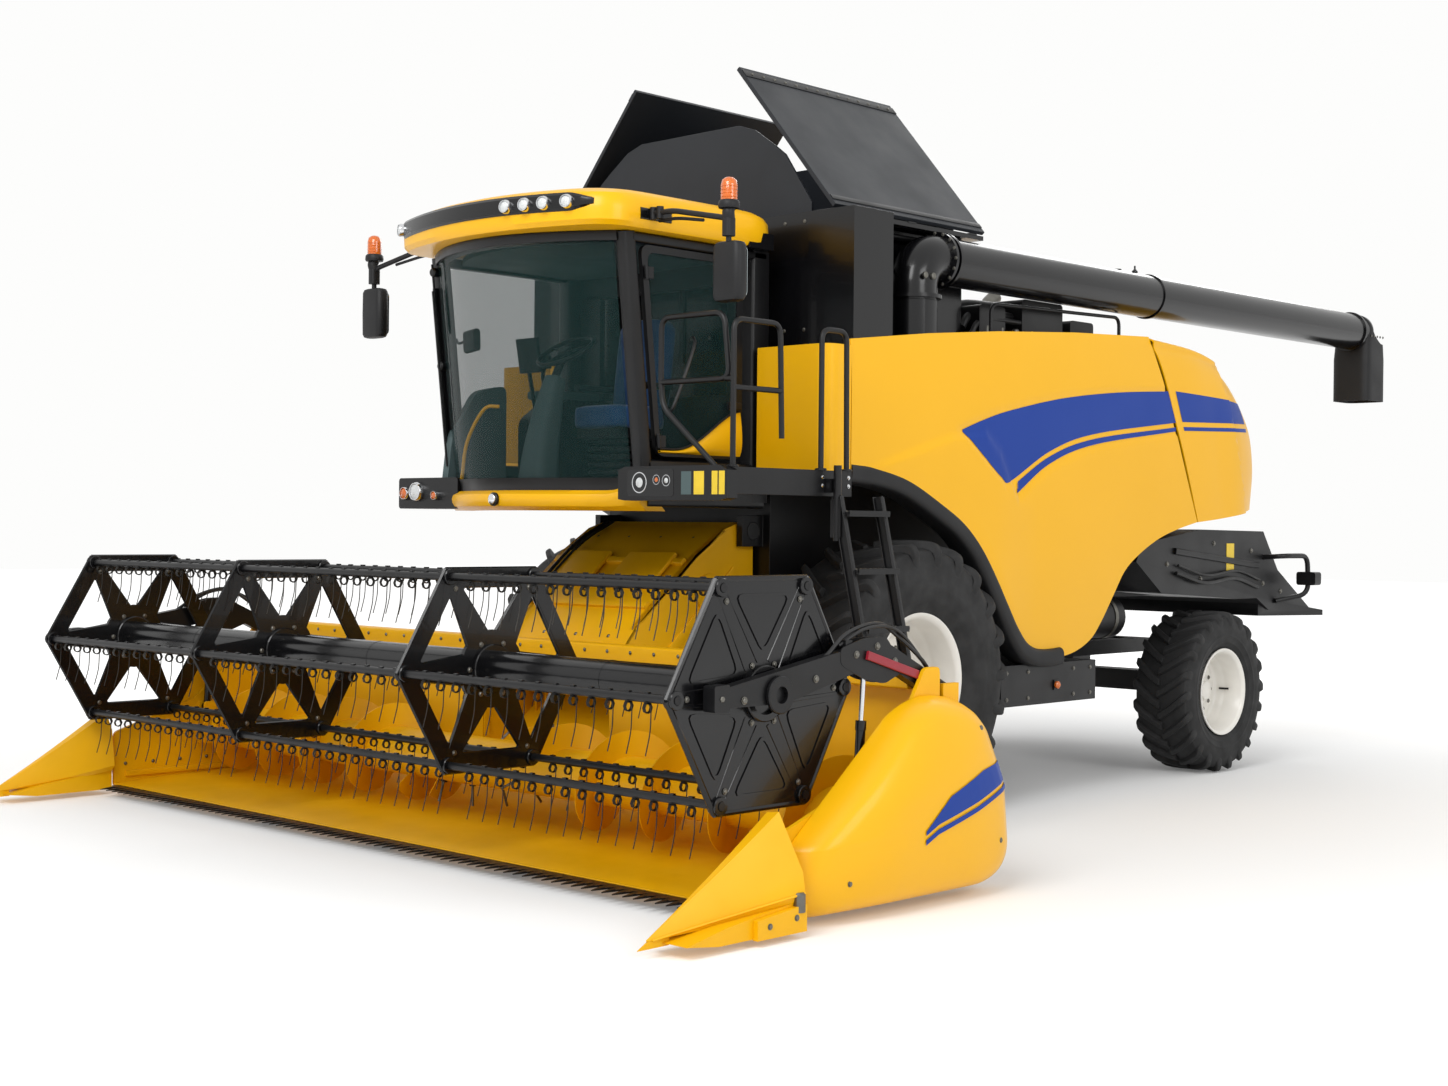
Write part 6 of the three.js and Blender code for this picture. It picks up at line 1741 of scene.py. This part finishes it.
class HARVESTER_OT_walkway(bpy.types.Operator):
    """Walkway with its lamp box and rails, and the folding ladder"""

    bl_idname = "harvester.walkway"
    bl_label = "Walkway and ladder"

    def execute(self, context):
        front, rear, top = -1.96, -0.96, 2.21
        gloss, lemon, chrome, white, amber, grey = range(1, 7)
        work = Surfaces()
        work.add(block((0.937, front, top - 0.05), (1.788, rear, top - 0.012)))
        grip = block((-0.3, -0.006, 0), (0.3, 0.006, 0.011))
        rows = np.arange(front + 0.05, rear - 0.03, 0.045)
        work.add(stamp(grip, xyz(1.36, rows, top - 0.012)))
        work.add(block((1.732, front, 2.06), (1.79, rear, top)))
        lamp_box = [(0.94, 2.03), (0.94, 2.2), (1.0, 2.218), (1.76, 2.218), (1.818, 2.19), (1.818, 2.035),
                    (1.76, 2.022), (1.0, 2.022)]
        work.add(slab(lamp_box, front - 0.088, front - 0.004, "y"))
        bezel = [(1.02, 2.045), (1.02, 2.2), (1.4, 2.2), (1.4, 2.045)]
        work.add(slab(corner_round(bezel, 0.02), front - 0.0895, front - 0.087, "y"), gloss)
        for x, z, radius, glass in ((1.12, 2.125, 0.056, white), (1.26, 2.14, 0.026, amber),
                                    (1.34, 2.135, 0.03, white)):
            lamp_at(work, (x, front - 0.055, z), (0, -1, 0), radius, chrome, glass)
        for x0, x1, shade in ((1.46, 1.54, grey), (1.56, 1.64, lemon), (1.7, 1.745, lemon),
                              (1.755, 1.8, lemon)):
            work.add(slab([(x0, 2.055), (x1, 2.055), (x1, 2.185), (x0, 2.185)], front - 0.0885, front - 0.087,
                          "y"), shade)
        lines = [
            [(1.2, front, 2.7), (1.2, front, 3.07), (1.7, front, 3.07), (1.745, front, 2.7),
             (1.2, front, 2.7)],
            [(1.2, front, 2.72), (1.215, front, 2.56), (1.66, front, 2.2)],
            [(1.775, front, 2.19), (1.775, front, 3.03), (1.775, front + 0.38, 3.03),
             (1.775, front + 0.4, 2.38)],
            [(1.775, front, 2.65), (1.775, front + 0.39, 2.65)],
            [(1.775, rear - 0.26, 2.19), (1.775, rear - 0.26, 3.03), (1.775, rear - 0.04, 3.03),
             (1.775, rear - 0.03, 2.19)],
            [(1.72, front, 2.7), (1.775, front, 2.7)],
        ]
        rail_bars(work, lines)
        for y, z in ((front, 2.21), (rear - 0.26, 2.21), (rear - 0.03, 2.21)):
            work.add(stamp(disc(0.034, 0.012, 16), [(1.775, y, z)]))
            work.add(bolts([(1.7915, y, 2.12), (1.7915, y, 2.17)], (1, 0, 0), 0.01), chrome)
        brackets = [((0.922, -1.7, 2.05), (1.05, -1.62, 2.2)), ((0.922, -1.2, 2.05), (1.05, -1.12, 2.2)),
                    ((1.79, -1.2, 2.08), (1.837, -1.14, 2.16)), ((1.02, rear, 2.152), (1.16, -0.903, 2.2))]
        for low, high in brackets:
            work.add(block(low, high))
        build("walkway_deck", work,
              [enamel_black, gloss_black, plate_yellow, chromed_steel, HEADLAMP, AMBER, trim_grey],
              "chassis", ["walkway"], bevel=0.002, angle=32)
        self.ladder()
        return {"FINISHED"}

    def ladder(self):
        """Two channel stringers that lean out, five toothed treads and the pivot post."""
        foot, top, lean = 0.56, 2.06, 0.23
        x0, y0, y1 = 1.862, -1.17, -0.8
        work = Surfaces()

        def at(z):
            """The ladder's x at a height."""
            return x0 + (top - z) * lean

        for y in (y0, y1):
            side = np.array([(at(top), y, top), (at(foot), y, foot)])
            work.add(strut(side, 0.012, 0.068, 0.004, up=(1, 0, 0.2)))
            for shift in (-0.03, 0.03):
                work.add(strut(side + (shift, 0, 0), 0.034, 0.007, 0.003, up=(1, 0, 0.2)))
        for z in foot + 0.06 + np.arange(5) * (top - foot - 0.16) / 4:
            x = at(z)
            work.add(block((x - 0.072, y0, z - 0.004), (x + 0.072, y1, z + 0.01)))
            for edge in (-0.07, 0.062):
                work.add(block((x + edge, y0, z - 0.017), (x + edge + 0.008, y1, z + 0.017)))
            teeth = disc(0.012, 0.007, 8)
            grip = np.stack(np.meshgrid(np.linspace(-0.045, 0.045, 3), np.linspace(0.05, 0.32, 7)),
                            -1).reshape(-1, 2)
            work.add(stamp(teeth, xyz(x + grip[:, 0], y0 + grip[:, 1], z + 0.0095)), 1)
        work.add(tube([(x0, y0, top - 0.26), (x0, y0, 2.238)], 0.0235, 20))
        work.add(block((x0 - 0.039, y0 - 0.017, top - 0.24), (x0 + 0.039, y0 + 0.017, top - 0.02)))
        build("folding_ladder", work, [enamel_black, zinc_steel], "access_ladder", ["ladder"],
              bevel=0.0015)


# ---------------------------------------------------------------- tank, covers, unloading tube

TUBE_X, TUBE_Y, TUBE_Z = 1.33, 0.18, 3.64


class HARVESTER_OT_tank(bpy.types.Operator):
    """Grain tank with its tower, and the four lids with edge strips"""

    bl_idname = "harvester.tank"
    bl_label = "Grain tank"

    def execute(self, context):
        refined("grain_tank", gloss_black, bevel=0.012)
        work = Surfaces()
        for z in (3.12, 3.8):
            work.add(bolts(xyz(np.linspace(1.08, -1.08, 14), -0.6005, z), (0, -1, 0), 0.01), 1)
        for x in (-0.55, 0.0, 0.55):
            work.add(block((x - 0.02, -0.615, 3.86 - 0.9), (x + 0.02, -0.6, 3.845)))
        side = xyz(1.165, (-0.55, 0.05), 3.6)
        work.add(tube(side, 0.018, 10))
        for sign in (1, -1):
            rail_bars(work, [[(sign * 1.19, -0.25, 3.78), (sign * 1.19, 0.9, 3.78)]], 0.02)
        build("tank_fittings", work, [enamel_black, zinc_steel], "chassis", bevel=0.002)
        lean = math.radians(49.4)
        for side_name, sign in (("left", 1), ("right", -1)):
            low, high = (np.array(c) - (0, AXLE_Y, 0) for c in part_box(f"{side_name}_tank_cover"))
            refined(f"{side_name}_tank_cover", graphite_coat, bevel=0.004)
            along = np.array([-math.cos(lean), 0, math.sin(lean)])
            out = np.array([math.sin(lean), 0, math.cos(lean)])
            hinge = np.array([1.31, 0, 3.866])
            strip = Surfaces()
            for share, width in ((1.225, 0.06), (0.06, 0.04)):
                centre = hinge + share * along + 0.0325 * out
                path = [centre + (0, low[1] + 0.005, 0), centre + (0, high[1] - 0.005, 0)]
                strip.add(strut(path, 0.006, width, 0.002, up=along))
            middle_y = np.linspace(low[1] + 0.08, high[1] - 0.08, 14)
            heads = hinge + 1.225 * along + 0.0355 * out + xyz(0, middle_y, 0)
            strip.add(bolts(heads, out, 0.009), 1)
            strip.to_side(sign)
            build(f"{side_name}_cover_strips", strip, [enamel_black, zinc_steel], f"{side_name}_cover")
        for node in ("front_tank_flap", "rear_tank_flap"):
            refined(node, graphite_coat, bevel=0.003)
        return {"FINISHED"}


class HARVESTER_OT_unloader(bpy.types.Operator):
    """Unloading tube: elbow, flange rings, two joined lengths and the spout"""

    bl_idname = "harvester.unloader"
    bl_label = "Unloading tube"

    def execute(self, context):
        work = Surfaces()
        radius = 0.158
        bend = np.linspace(0, np.pi / 2, 22)
        elbow = xyz(TUBE_X, TUBE_Y + 0.2 * (1 - np.cos(bend)), TUBE_Z - 0.2 + 0.2 * np.sin(bend))
        path = np.concatenate([[(TUBE_X, TUBE_Y, 3.352)], elbow, [(TUBE_X, TUBE_Y + 0.26, TUBE_Z)]])
        work.add(tube(path, radius, 36, up=(1, 0, 0)))
        for axis_name, place in (("z", (TUBE_X, TUBE_Y, 3.375)), ("y", (TUBE_X, TUBE_Y + 0.235, TUBE_Z)),
                                 ("y", (TUBE_X, TUBE_Y + 0.285, TUBE_Z)), ("y", (TUBE_X, 3.0, TUBE_Z))):
            slim = 0.012 if place[1] < 2 else 0.009
            reach = 0.186 if place[1] < 2 else 0.168
            work.add(hoop(0.15, reach, slim, place, axis_name, 48))
        turn = np.arange(16) * np.pi / 8
        ring = xyz(TUBE_X + 0.175 * np.cos(turn), TUBE_Y + 0.222, TUBE_Z + 0.175 * np.sin(turn))
        work.add(bolts(ring, (0, -1, 0), 0.01), 1)
        for y, x in ((0.1, 1.49), (0.18, 1.492)):
            work.add(button((x - 0.006, y, 3.5), (1, 0, 0), 0.022, 0.02, 14), 1)
        barrel = np.array([(TUBE_X, y, TUBE_Z) for y in (TUBE_Y + 0.26, 3.0, 3.002, 6.46)])
        work.add(tube(barrel, radius, 48, [1.0, 1.0, 0.985, 0.985]))
        seam = [(TUBE_X - 0.02, 0.5, TUBE_Z + radius), (TUBE_X - 0.02, 6.3, TUBE_Z + radius - 0.002)]
        work.add(tube(seam, 0.003, 6))
        work.add(tube([(TUBE_X, 2.83, TUBE_Z + 0.15), (TUBE_X, 2.83, TUBE_Z + 0.215)], 0.007, 8))
        work.add(stamp(disc(0.022, 0.028, 14, 0.006), [(TUBE_X, 2.83, TUBE_Z + 0.155)]))
        work.add(stamp(disc(0.028, 0.012, 14), [(TUBE_X, 2.6, TUBE_Z + 0.156)]))
        # The spout: rings that change from the tube's circle into an upright square mouth.
        turn = np.linspace(0, 2 * np.pi, 48, endpoint=False)
        round_plan = np.stack([np.cos(turn), np.sin(turn)], -1)
        square_plan = np.sign(round_plan) * np.abs(round_plan) ** 0.35
        sweep_angle = np.linspace(0, np.pi / 2, 9)
        rings = []
        for angle in sweep_angle:
            blend = math.sin(angle)
            plan = (1 - blend) * round_plan * 0.156 + blend * square_plan * (0.165, 0.17)
            centre = np.array([TUBE_X, 6.4 + 0.105 * math.sin(angle), TUBE_Z - 0.1 * (1 - math.cos(angle))])
            across, upright = np.array([1.0, 0, 0]), np.array([0, -math.sin(angle), math.cos(angle)])
            rings.append(centre + plan[:, :1] * across + plan[:, 1:] * upright)
        mouth_plan = square_plan * (0.172, 0.182)
        for z in (3.4, 3.2, 3.06, 3.035):
            rings.append(xyz(TUBE_X + mouth_plan[:, 0], 6.5 - mouth_plan[:, 1], z))
        outer = np.array(rings)
        inner = outer[-1:-4:-1] * 1.0
        inner[..., :2] = (TUBE_X, 6.5) + (inner[..., :2] - (TUBE_X, 6.5)) * 0.955
        work.add(loft(np.concatenate([outer, inner])), 2)
        heads = xyz(TUBE_X + 0.164, np.linspace(6.4, 6.62, 5), 3.6)
        work.add(bolts(heads, (1, 0, 0), 0.009), 1)
        work.add(bolts(heads - (0.328, 0, 0), (-1, 0, 0), 0.009), 1)
        work.add(hoop(0.15, 0.17, 0.01, (TUBE_X, 6.3, TUBE_Z), "y", 48))
        build("unloading_pipe", work, [gloss_black, zinc_steel, moulded_black], "unloader",
              ["unloading_tube"], bevel=0.002, angle=32)
        return {"FINISHED"}


# ---------------------------------------------------------------- mirrors, engine deck, chassis


class HARVESTER_OT_mirrors(bpy.types.Operator):
    """Mirrors on bent arms, each with a small beacon"""

    bl_idname = "harvester.mirrors"
    bl_label = "Mirrors and beacons"

    def execute(self, context):
        x, y = 1.67, -1.9
        for side, sign in (("left", 1), ("right", -1)):
            work = Surfaces()
            arm = rounded([(1.012, -1.86, 3.7), (1.18, -1.86, 3.7), (x, y, 3.6), (x, y, 3.44)], 0.06, 7)
            work.add(tube(arm, 0.0165, 12))
            for shift in (0.0, 0.055):
                work.add(tube([(1.02 + shift, -1.86, 3.665), (1.02 + shift, -1.86, 3.735)], 0.022, 12))
            brace = smooth([(1.03, -1.82, 3.66), (1.2, -1.84, 3.655), (1.45, -1.88, 3.615)], 6)
            work.add(tube(brace, 0.01, 8))
            work.add(strut([(x, y, 3.5), (x, y, 3.6)], 0.06, 0.07, 0.02, up=(0, 1, 0)))
            levels = np.array([0.0, 0.02, 0.08, 0.5, 0.92, 0.98, 1.0])
            wide = np.array([0.62, 0.86, 0.98, 1.0, 0.98, 0.86, 0.62])
            shape = oblong(0.215, 0.095, 0.04, 6)
            rings = [shape * scale + (x, y + 0.01) for scale in wide]
            work.add(ring_loft(rings, 3.135 + levels * 0.335))
            face = oblong(0.18, 0.285, 0.03, 5) + (x, 3.302)
            work.add(slab(face, y + 0.0565, y + 0.0595, "y"), 1)
            knob = smooth([(x, y, 3.6), (x + 0.005, y - 0.01, 3.63), (x, y, 3.66)], 4)
            work.add(tube(knob, 0.035, 14))
            work.add(revolve([(0.001, 0), (0.058, 0), (0.062, 0.012), (0.06, 0.035), (0.052, 0.045),
                              (0.001, 0.045)],
                             (x, y, 3.655), "z", 28))
            dome = [(0.001, 0.0), (0.047, 0.0), (0.047, 0.085), (0.041, 0.112), (0.024, 0.126),
                    (0.001, 0.131)]
            work.add(revolve(dome, (x, y, 3.7), "z", 28), 2)
            for z in (3.715, 3.735, 3.755, 3.775):
                work.add(revolve([(0.045, -0.003), (0.0495, 0), (0.045, 0.003)], (x, y, z), "z", 28), 2)
            work.to_side(sign)
            build(f"{side}_mirror_and_beacon", work,
                  [moulded_black, mirror_glass, (lens, "Amber beacon", "#E8731A")],
                  "chassis", [f"{side}_mirror"], angle=40)
        return {"FINISHED"}


class HARVESTER_OT_fittings(bpy.types.Operator):
    """Pipes and boxes of the engine deck, chassis boxes and marker lamps, and the chopper's fittings"""

    bl_idname = "harvester.fittings"
    bl_label = "Fittings"

    def execute(self, context):
        work = Surfaces()
        black, zinc, amber, lemon, hose, red = range(6)
        for y0, y1, z in ((1.05, 1.35, 3.42), (1.55, 2.05, 3.5), (2.15, 2.45, 3.4)):
            work.add(slab(corner_round([(y0, 3.18), (y0, z), (y1, z), (y1, 3.18)], 0.03), 0.8, 1.22), black)
        for x, z, r in ((1.12, 3.36, 0.028), (1.2, 3.31, 0.02), (1.02, 3.43, 0.035)):
            line = smooth([(x, 0.98, z - 0.1), (x, 1.1, z), (x, 1.5, z + 0.02), (x - 0.04, 2.1, z),
                           (x - 0.04, 2.6, z - 0.12)], 8)
            work.add(tube(line, r, 12), hose)
        exhaust = [(0.35, 2.3, 3.2), (0.35, 2.3, 3.58), (0.35, 2.42, 3.66)]
        work.add(tube(rounded(exhaust, 0.06), 0.055, 20), zinc)
        work.add(tube([(0.1, 1.7, 3.38), (0.75, 1.7, 3.38)], 0.15, 28), black)
        rail_bars(work, [[(1.28, 1.1, 3.22), (1.28, 1.1, 3.42), (1.28, 2.7, 3.46), (1.28, 2.7, 3.26)]], 0.013,
                  finish=black)
        for y in np.linspace(1.15, 2.55, 9):
            work.add(stamp(disc(0.024, 0.05, 10), [(1.2, y, 3.235)]), zinc if int(y * 10) % 2 else lemon)
        for sign in (1, -1):
            work.add(block((sign * 1.47 - 0.015, 1.6, 0.76), (sign * 1.47 + 0.019, 1.66, 0.83)), black)
            work.add(button((sign * 1.488, 1.63, 0.795), (sign, 0, 0), 0.026, 0.022, 20, 0.006), amber)
            for y in (1.05, 1.3, 1.85, 2.06):
                work.add(bolts([(sign * 1.481, y, 0.9), (sign * 1.481, y, 0.72)], (sign, 0, 0), 0.012), zinc)
            # A bent tube carries the tail lamps beside the chopper.
            arm = [(sign * 1.2, 4.9, 1.66), (sign * 1.47, 4.92, 1.68), (sign * 1.49, 5.28, 1.68),
                   (sign * 1.49, 5.3, 1.36),
                   (sign * 1.3, 5.1, 1.3)]
            rail_bars(work, [arm], 0.021, 0.09, black)
            work.add(strut([(sign * 1.49, 5.255, 1.49), (sign * 1.49, 5.36, 1.49)], 0.17, 0.11, 0.02), black)
            work.add(slab(oblong(0.066, 0.085, 0.01) + (sign * 1.49 - 0.038, 1.49), 5.358, 5.372, "y"), amber)
            work.add(slab(oblong(0.066, 0.085, 0.01) + (sign * 1.49 + 0.038, 1.49), 5.358, 5.372, "y"), red)
            work.add(slab([(4.3, 1.56), (4.42, 1.56), (4.42, 1.78), (4.3, 1.78)],
                          *sorted((sign * 1.291, sign * 1.2925))), lemon)
            for y, z in ((3.4, 1.62), (3.9, 1.5), (4.1, 1.78), (4.7, 1.72), (4.9, 1.45), (5.2, 1.38)):
                work.add(bolts([(sign * 1.2905, y, z)], (sign, 0, 0), 0.016), zinc)
            rib = [(sign * 1.297, 3.5, 1.72), (sign * 1.297, 4.8, 1.6)]
            work.add(strut(rib, 0.03, 0.05, 0.01), black)
            line = smooth([(sign * 1.31, 3.5, 1.55), (sign * 1.33, 3.9, 1.47), (sign * 1.31, 4.4, 1.5),
                           (sign * 1.3, 4.8, 1.42)], 8)
            work.add(tube(line, 0.015, 10), hose)
            work.add(tube(line + (0, 0.03, 0.06), 0.01, 8), hose)
            tank_ends = [(sign * 1.05, 2.3, 1.22), (sign * 1.05, 2.95, 1.22)]
            work.add(tube(tank_ends, 0.16, 28), black)
            for y in (2.42, 2.83):
                work.add(hoop(0.155, 0.166, 0.02, (sign * 1.05, y, 1.22), "y", 28), zinc)
        finishes = [enamel_black, zinc_steel, AMBER, plate_yellow, hose_rubber, (lens, "Red lens", "#B3121B")]
        build("machine_fittings", work, finishes, "chassis", bevel=0.002, angle=40)
        return {"FINISHED"}


PLAIN_PIECES = {
    "black_paint": (
        enamel_black,
        ["chassis_frame", "thresher_casing", "engine_block", "front_axle", "rear_axle",
         "left_steering_knuckle",
         "right_steering_knuckle", "straw_chopper", "lift_barrels"],
    ),
    "yellow_plastic": (moulded_yellow, ["left_front_panel", "right_front_panel"]),
    "chromed_rod": (chromed_steel, ["lift_rods"]),
}


class HARVESTER_OT_frame_pieces(bpy.types.Operator):
    """The plainer pieces: merged copies of the frame's nodes with rounded edges"""

    bl_idname = "harvester.frame_pieces"
    bl_label = "Frame pieces"

    def execute(self, context):
        for slot, (finish, nodes) in PLAIN_PIECES.items():
            for node in nodes:
                refined(node, finish)
        return {"FINISHED"}


# ---------------------------------------------------------------- stage


def backdrop_world():
    """Even white light, with a flat pale backdrop for what the camera sees directly or in a reflection."""
    world = bpy.data.worlds.new("Pale studio")
    world.use_nodes = True
    tree = world.node_tree
    tree.nodes.clear()
    path = add_node(tree, "ShaderNodeLightPath").outputs
    glossy = add_node(tree, "ShaderNodeMath", {"operation": "MAXIMUM"},
                      {0: path["Is Camera Ray"], 1: path["Is Glossy Ray"]})
    seen = add_node(tree, "ShaderNodeMath", {"operation": "MAXIMUM"},
                    {0: glossy.outputs["Value"], 1: path["Is Transmission Ray"]})
    light = add_node(tree, "ShaderNodeBackground",
                     inputs={"Color": linear("#FFFFFF"), "Strength": bpy.context.scene.harvester_stage.sky})
    backdrop = add_node(tree, "ShaderNodeBackground", inputs={"Color": linear("#FDFDFC"), "Strength": 1.0})
    mixed = add_node(tree, "ShaderNodeMixShader",
                     inputs={0: seen.outputs["Value"], 1: light.outputs["Background"],
                             2: backdrop.outputs["Background"]})
    out = add_node(tree, "ShaderNodeOutputWorld")
    tree.links.new(mixed.outputs["Shader"], out.inputs["Surface"])
    bpy.context.scene.world = world


def floor_material():
    """Matt studio paint, pale and plain. A weak glow that grows with distance makes it meet the backdrop."""
    material = bpy.data.materials.new("Studio floor, matt paint")
    material.use_nodes = True
    tree = material.node_tree
    shader = tree.nodes["Principled BSDF"]
    place = add_node(tree, "ShaderNodeTexCoord").outputs["Object"]
    away = add_node(tree, "ShaderNodeVectorMath", {"operation": "LENGTH"}, {0: place})
    glow = add_node(tree, "ShaderNodeMapRange", {"interpolation_type": "SMOOTHSTEP"},
                    {"Value": away.outputs["Value"], "From Min": 3.0, "From Max": 13.0, "To Min": 0.1,
                     "To Max": 0.55})
    tree.links.new(glow.outputs["Result"], shader.inputs["Emission Strength"])
    shader.inputs["Base Color"].default_value = linear("#E4E4E3")
    shader.inputs["Roughness"].default_value = 0.9
    shader.inputs["Emission Color"].default_value = linear("#FFFFFF")
    return material


def lamp(name, place, target, size, power):
    """A square softbox at a place, facing a target."""
    data = bpy.data.lights.new(name, "AREA")
    data.shape = "RECTANGLE"
    data.size = data.size_y = size
    data.energy = power
    obj = bpy.data.objects.new(name, data)
    direction = Vector(target) - Vector(place)
    obj.matrix_world = Matrix.LocRotScale(Vector(place), direction.to_track_quat("-Z", "Y"), None)
    bpy.context.scene.collection.objects.link(obj)


class HARVESTER_OT_stage(bpy.types.Operator):
    """Floor, backdrop, light and camera"""

    bl_idname = "harvester.stage"
    bl_label = "Stage"

    def execute(self, context):
        settings = context.scene.harvester_stage
        mesh = bpy.data.meshes.new("Studio floor")
        corners = [(-60, -60, -0.002), (60, -60, -0.002), (60, 60, -0.002), (-60, 60, -0.002)]
        mesh.from_pydata(corners, [], [(0, 1, 2, 3)])
        mesh.materials.append(floor_material())
        ground = bpy.data.objects.new("Studio floor", mesh)
        context.scene.collection.objects.link(ground)
        backdrop_world()
        lamp("Front softbox", (5.0, -13.0, 11.0), (0, 0, 1.5), 7.0, settings.key)
        lamp("Right softbox", (15.0, -3.0, 8.0), (0, 0, 1.5), 6.0, 0.45 * settings.key)
        lamp("Rear softbox", (-6.0, 13.0, 10.0), (0, 0, 1.5), 7.0, 0.5 * settings.key)
        data = bpy.data.cameras.new("Camera")
        data.lens = settings.lens
        data.sensor_width = 36.0
        camera = bpy.data.objects.new("Camera", data)
        yaw, pitch, roll = 0.768, 0.0086, -0.0096
        turn = Euler((math.pi / 2 - pitch, 0.0, yaw), "XYZ").to_matrix() @ Matrix.Rotation(-roll, 3, "Z")
        camera.matrix_world = Matrix.LocRotScale(Vector((9.1384, -9.6472 + AXLE_Y, 1.8779)), turn, None)
        context.scene.collection.objects.link(camera)
        context.scene.camera = camera
        context.scene.view_settings.view_transform = "Standard"
        return {"FINISHED"}


# ---------------------------------------------------------------- add-on

SETTINGS = {
    "harvester_wheels": WheelSettings,
    "harvester_panels": PanelSettings,
    "harvester_reel": ReelSettings,
    "harvester_stage": StageSettings,
}
OPERATORS = (
    HARVESTER_OT_wheels,
    HARVESTER_OT_side_panels,
    HARVESTER_OT_rear_hood,
    HARVESTER_OT_reel,
    HARVESTER_OT_reel_arms,
    HARVESTER_OT_end_shields,
    HARVESTER_OT_cab_roof,
    HARVESTER_OT_cab,
    HARVESTER_OT_seat,
    HARVESTER_OT_header,
    HARVESTER_OT_feeder,
    HARVESTER_OT_walkway,
    HARVESTER_OT_tank,
    HARVESTER_OT_unloader,
    HARVESTER_OT_mirrors,
    HARVESTER_OT_fittings,
    HARVESTER_OT_frame_pieces,
    HARVESTER_OT_stage,
)


class HARVESTER_PT_build(bpy.types.Panel):
    """Builds the harvester piece by piece"""

    bl_label = "Combine harvester"
    bl_idname = "HARVESTER_PT_build"
    bl_space_type = "VIEW_3D"
    bl_region_type = "UI"
    bl_category = "Harvester"

    def draw(self, context):
        for operator in OPERATORS:
            self.layout.operator(operator.bl_idname)
        for name, group in SETTINGS.items():
            box = self.layout.box()
            for field in group.__annotations__:
                box.prop(getattr(context.scene, name), field)


def register():
    """Adds the settings, the operators and the panel to Blender."""
    for name, group in SETTINGS.items():
        bpy.utils.register_class(group)
        setattr(bpy.types.Scene, name, bpy.props.PointerProperty(type=group))
    for operator in OPERATORS:
        bpy.utils.register_class(operator)
    bpy.utils.register_class(HARVESTER_PT_build)


def unregister():
    """Takes out again what register() added."""
    bpy.utils.unregister_class(HARVESTER_PT_build)
    for operator in reversed(OPERATORS):
        bpy.utils.unregister_class(operator)
    for name, group in reversed(SETTINGS.items()):
        delattr(bpy.types.Scene, name)
        bpy.utils.unregister_class(group)


def main():
    """Builds everything in order."""
    register()
    for operator in OPERATORS:
        group, action = operator.bl_idname.split(".")
        getattr(getattr(bpy.ops, group), action)()


if __name__ == "__main__":
    main()
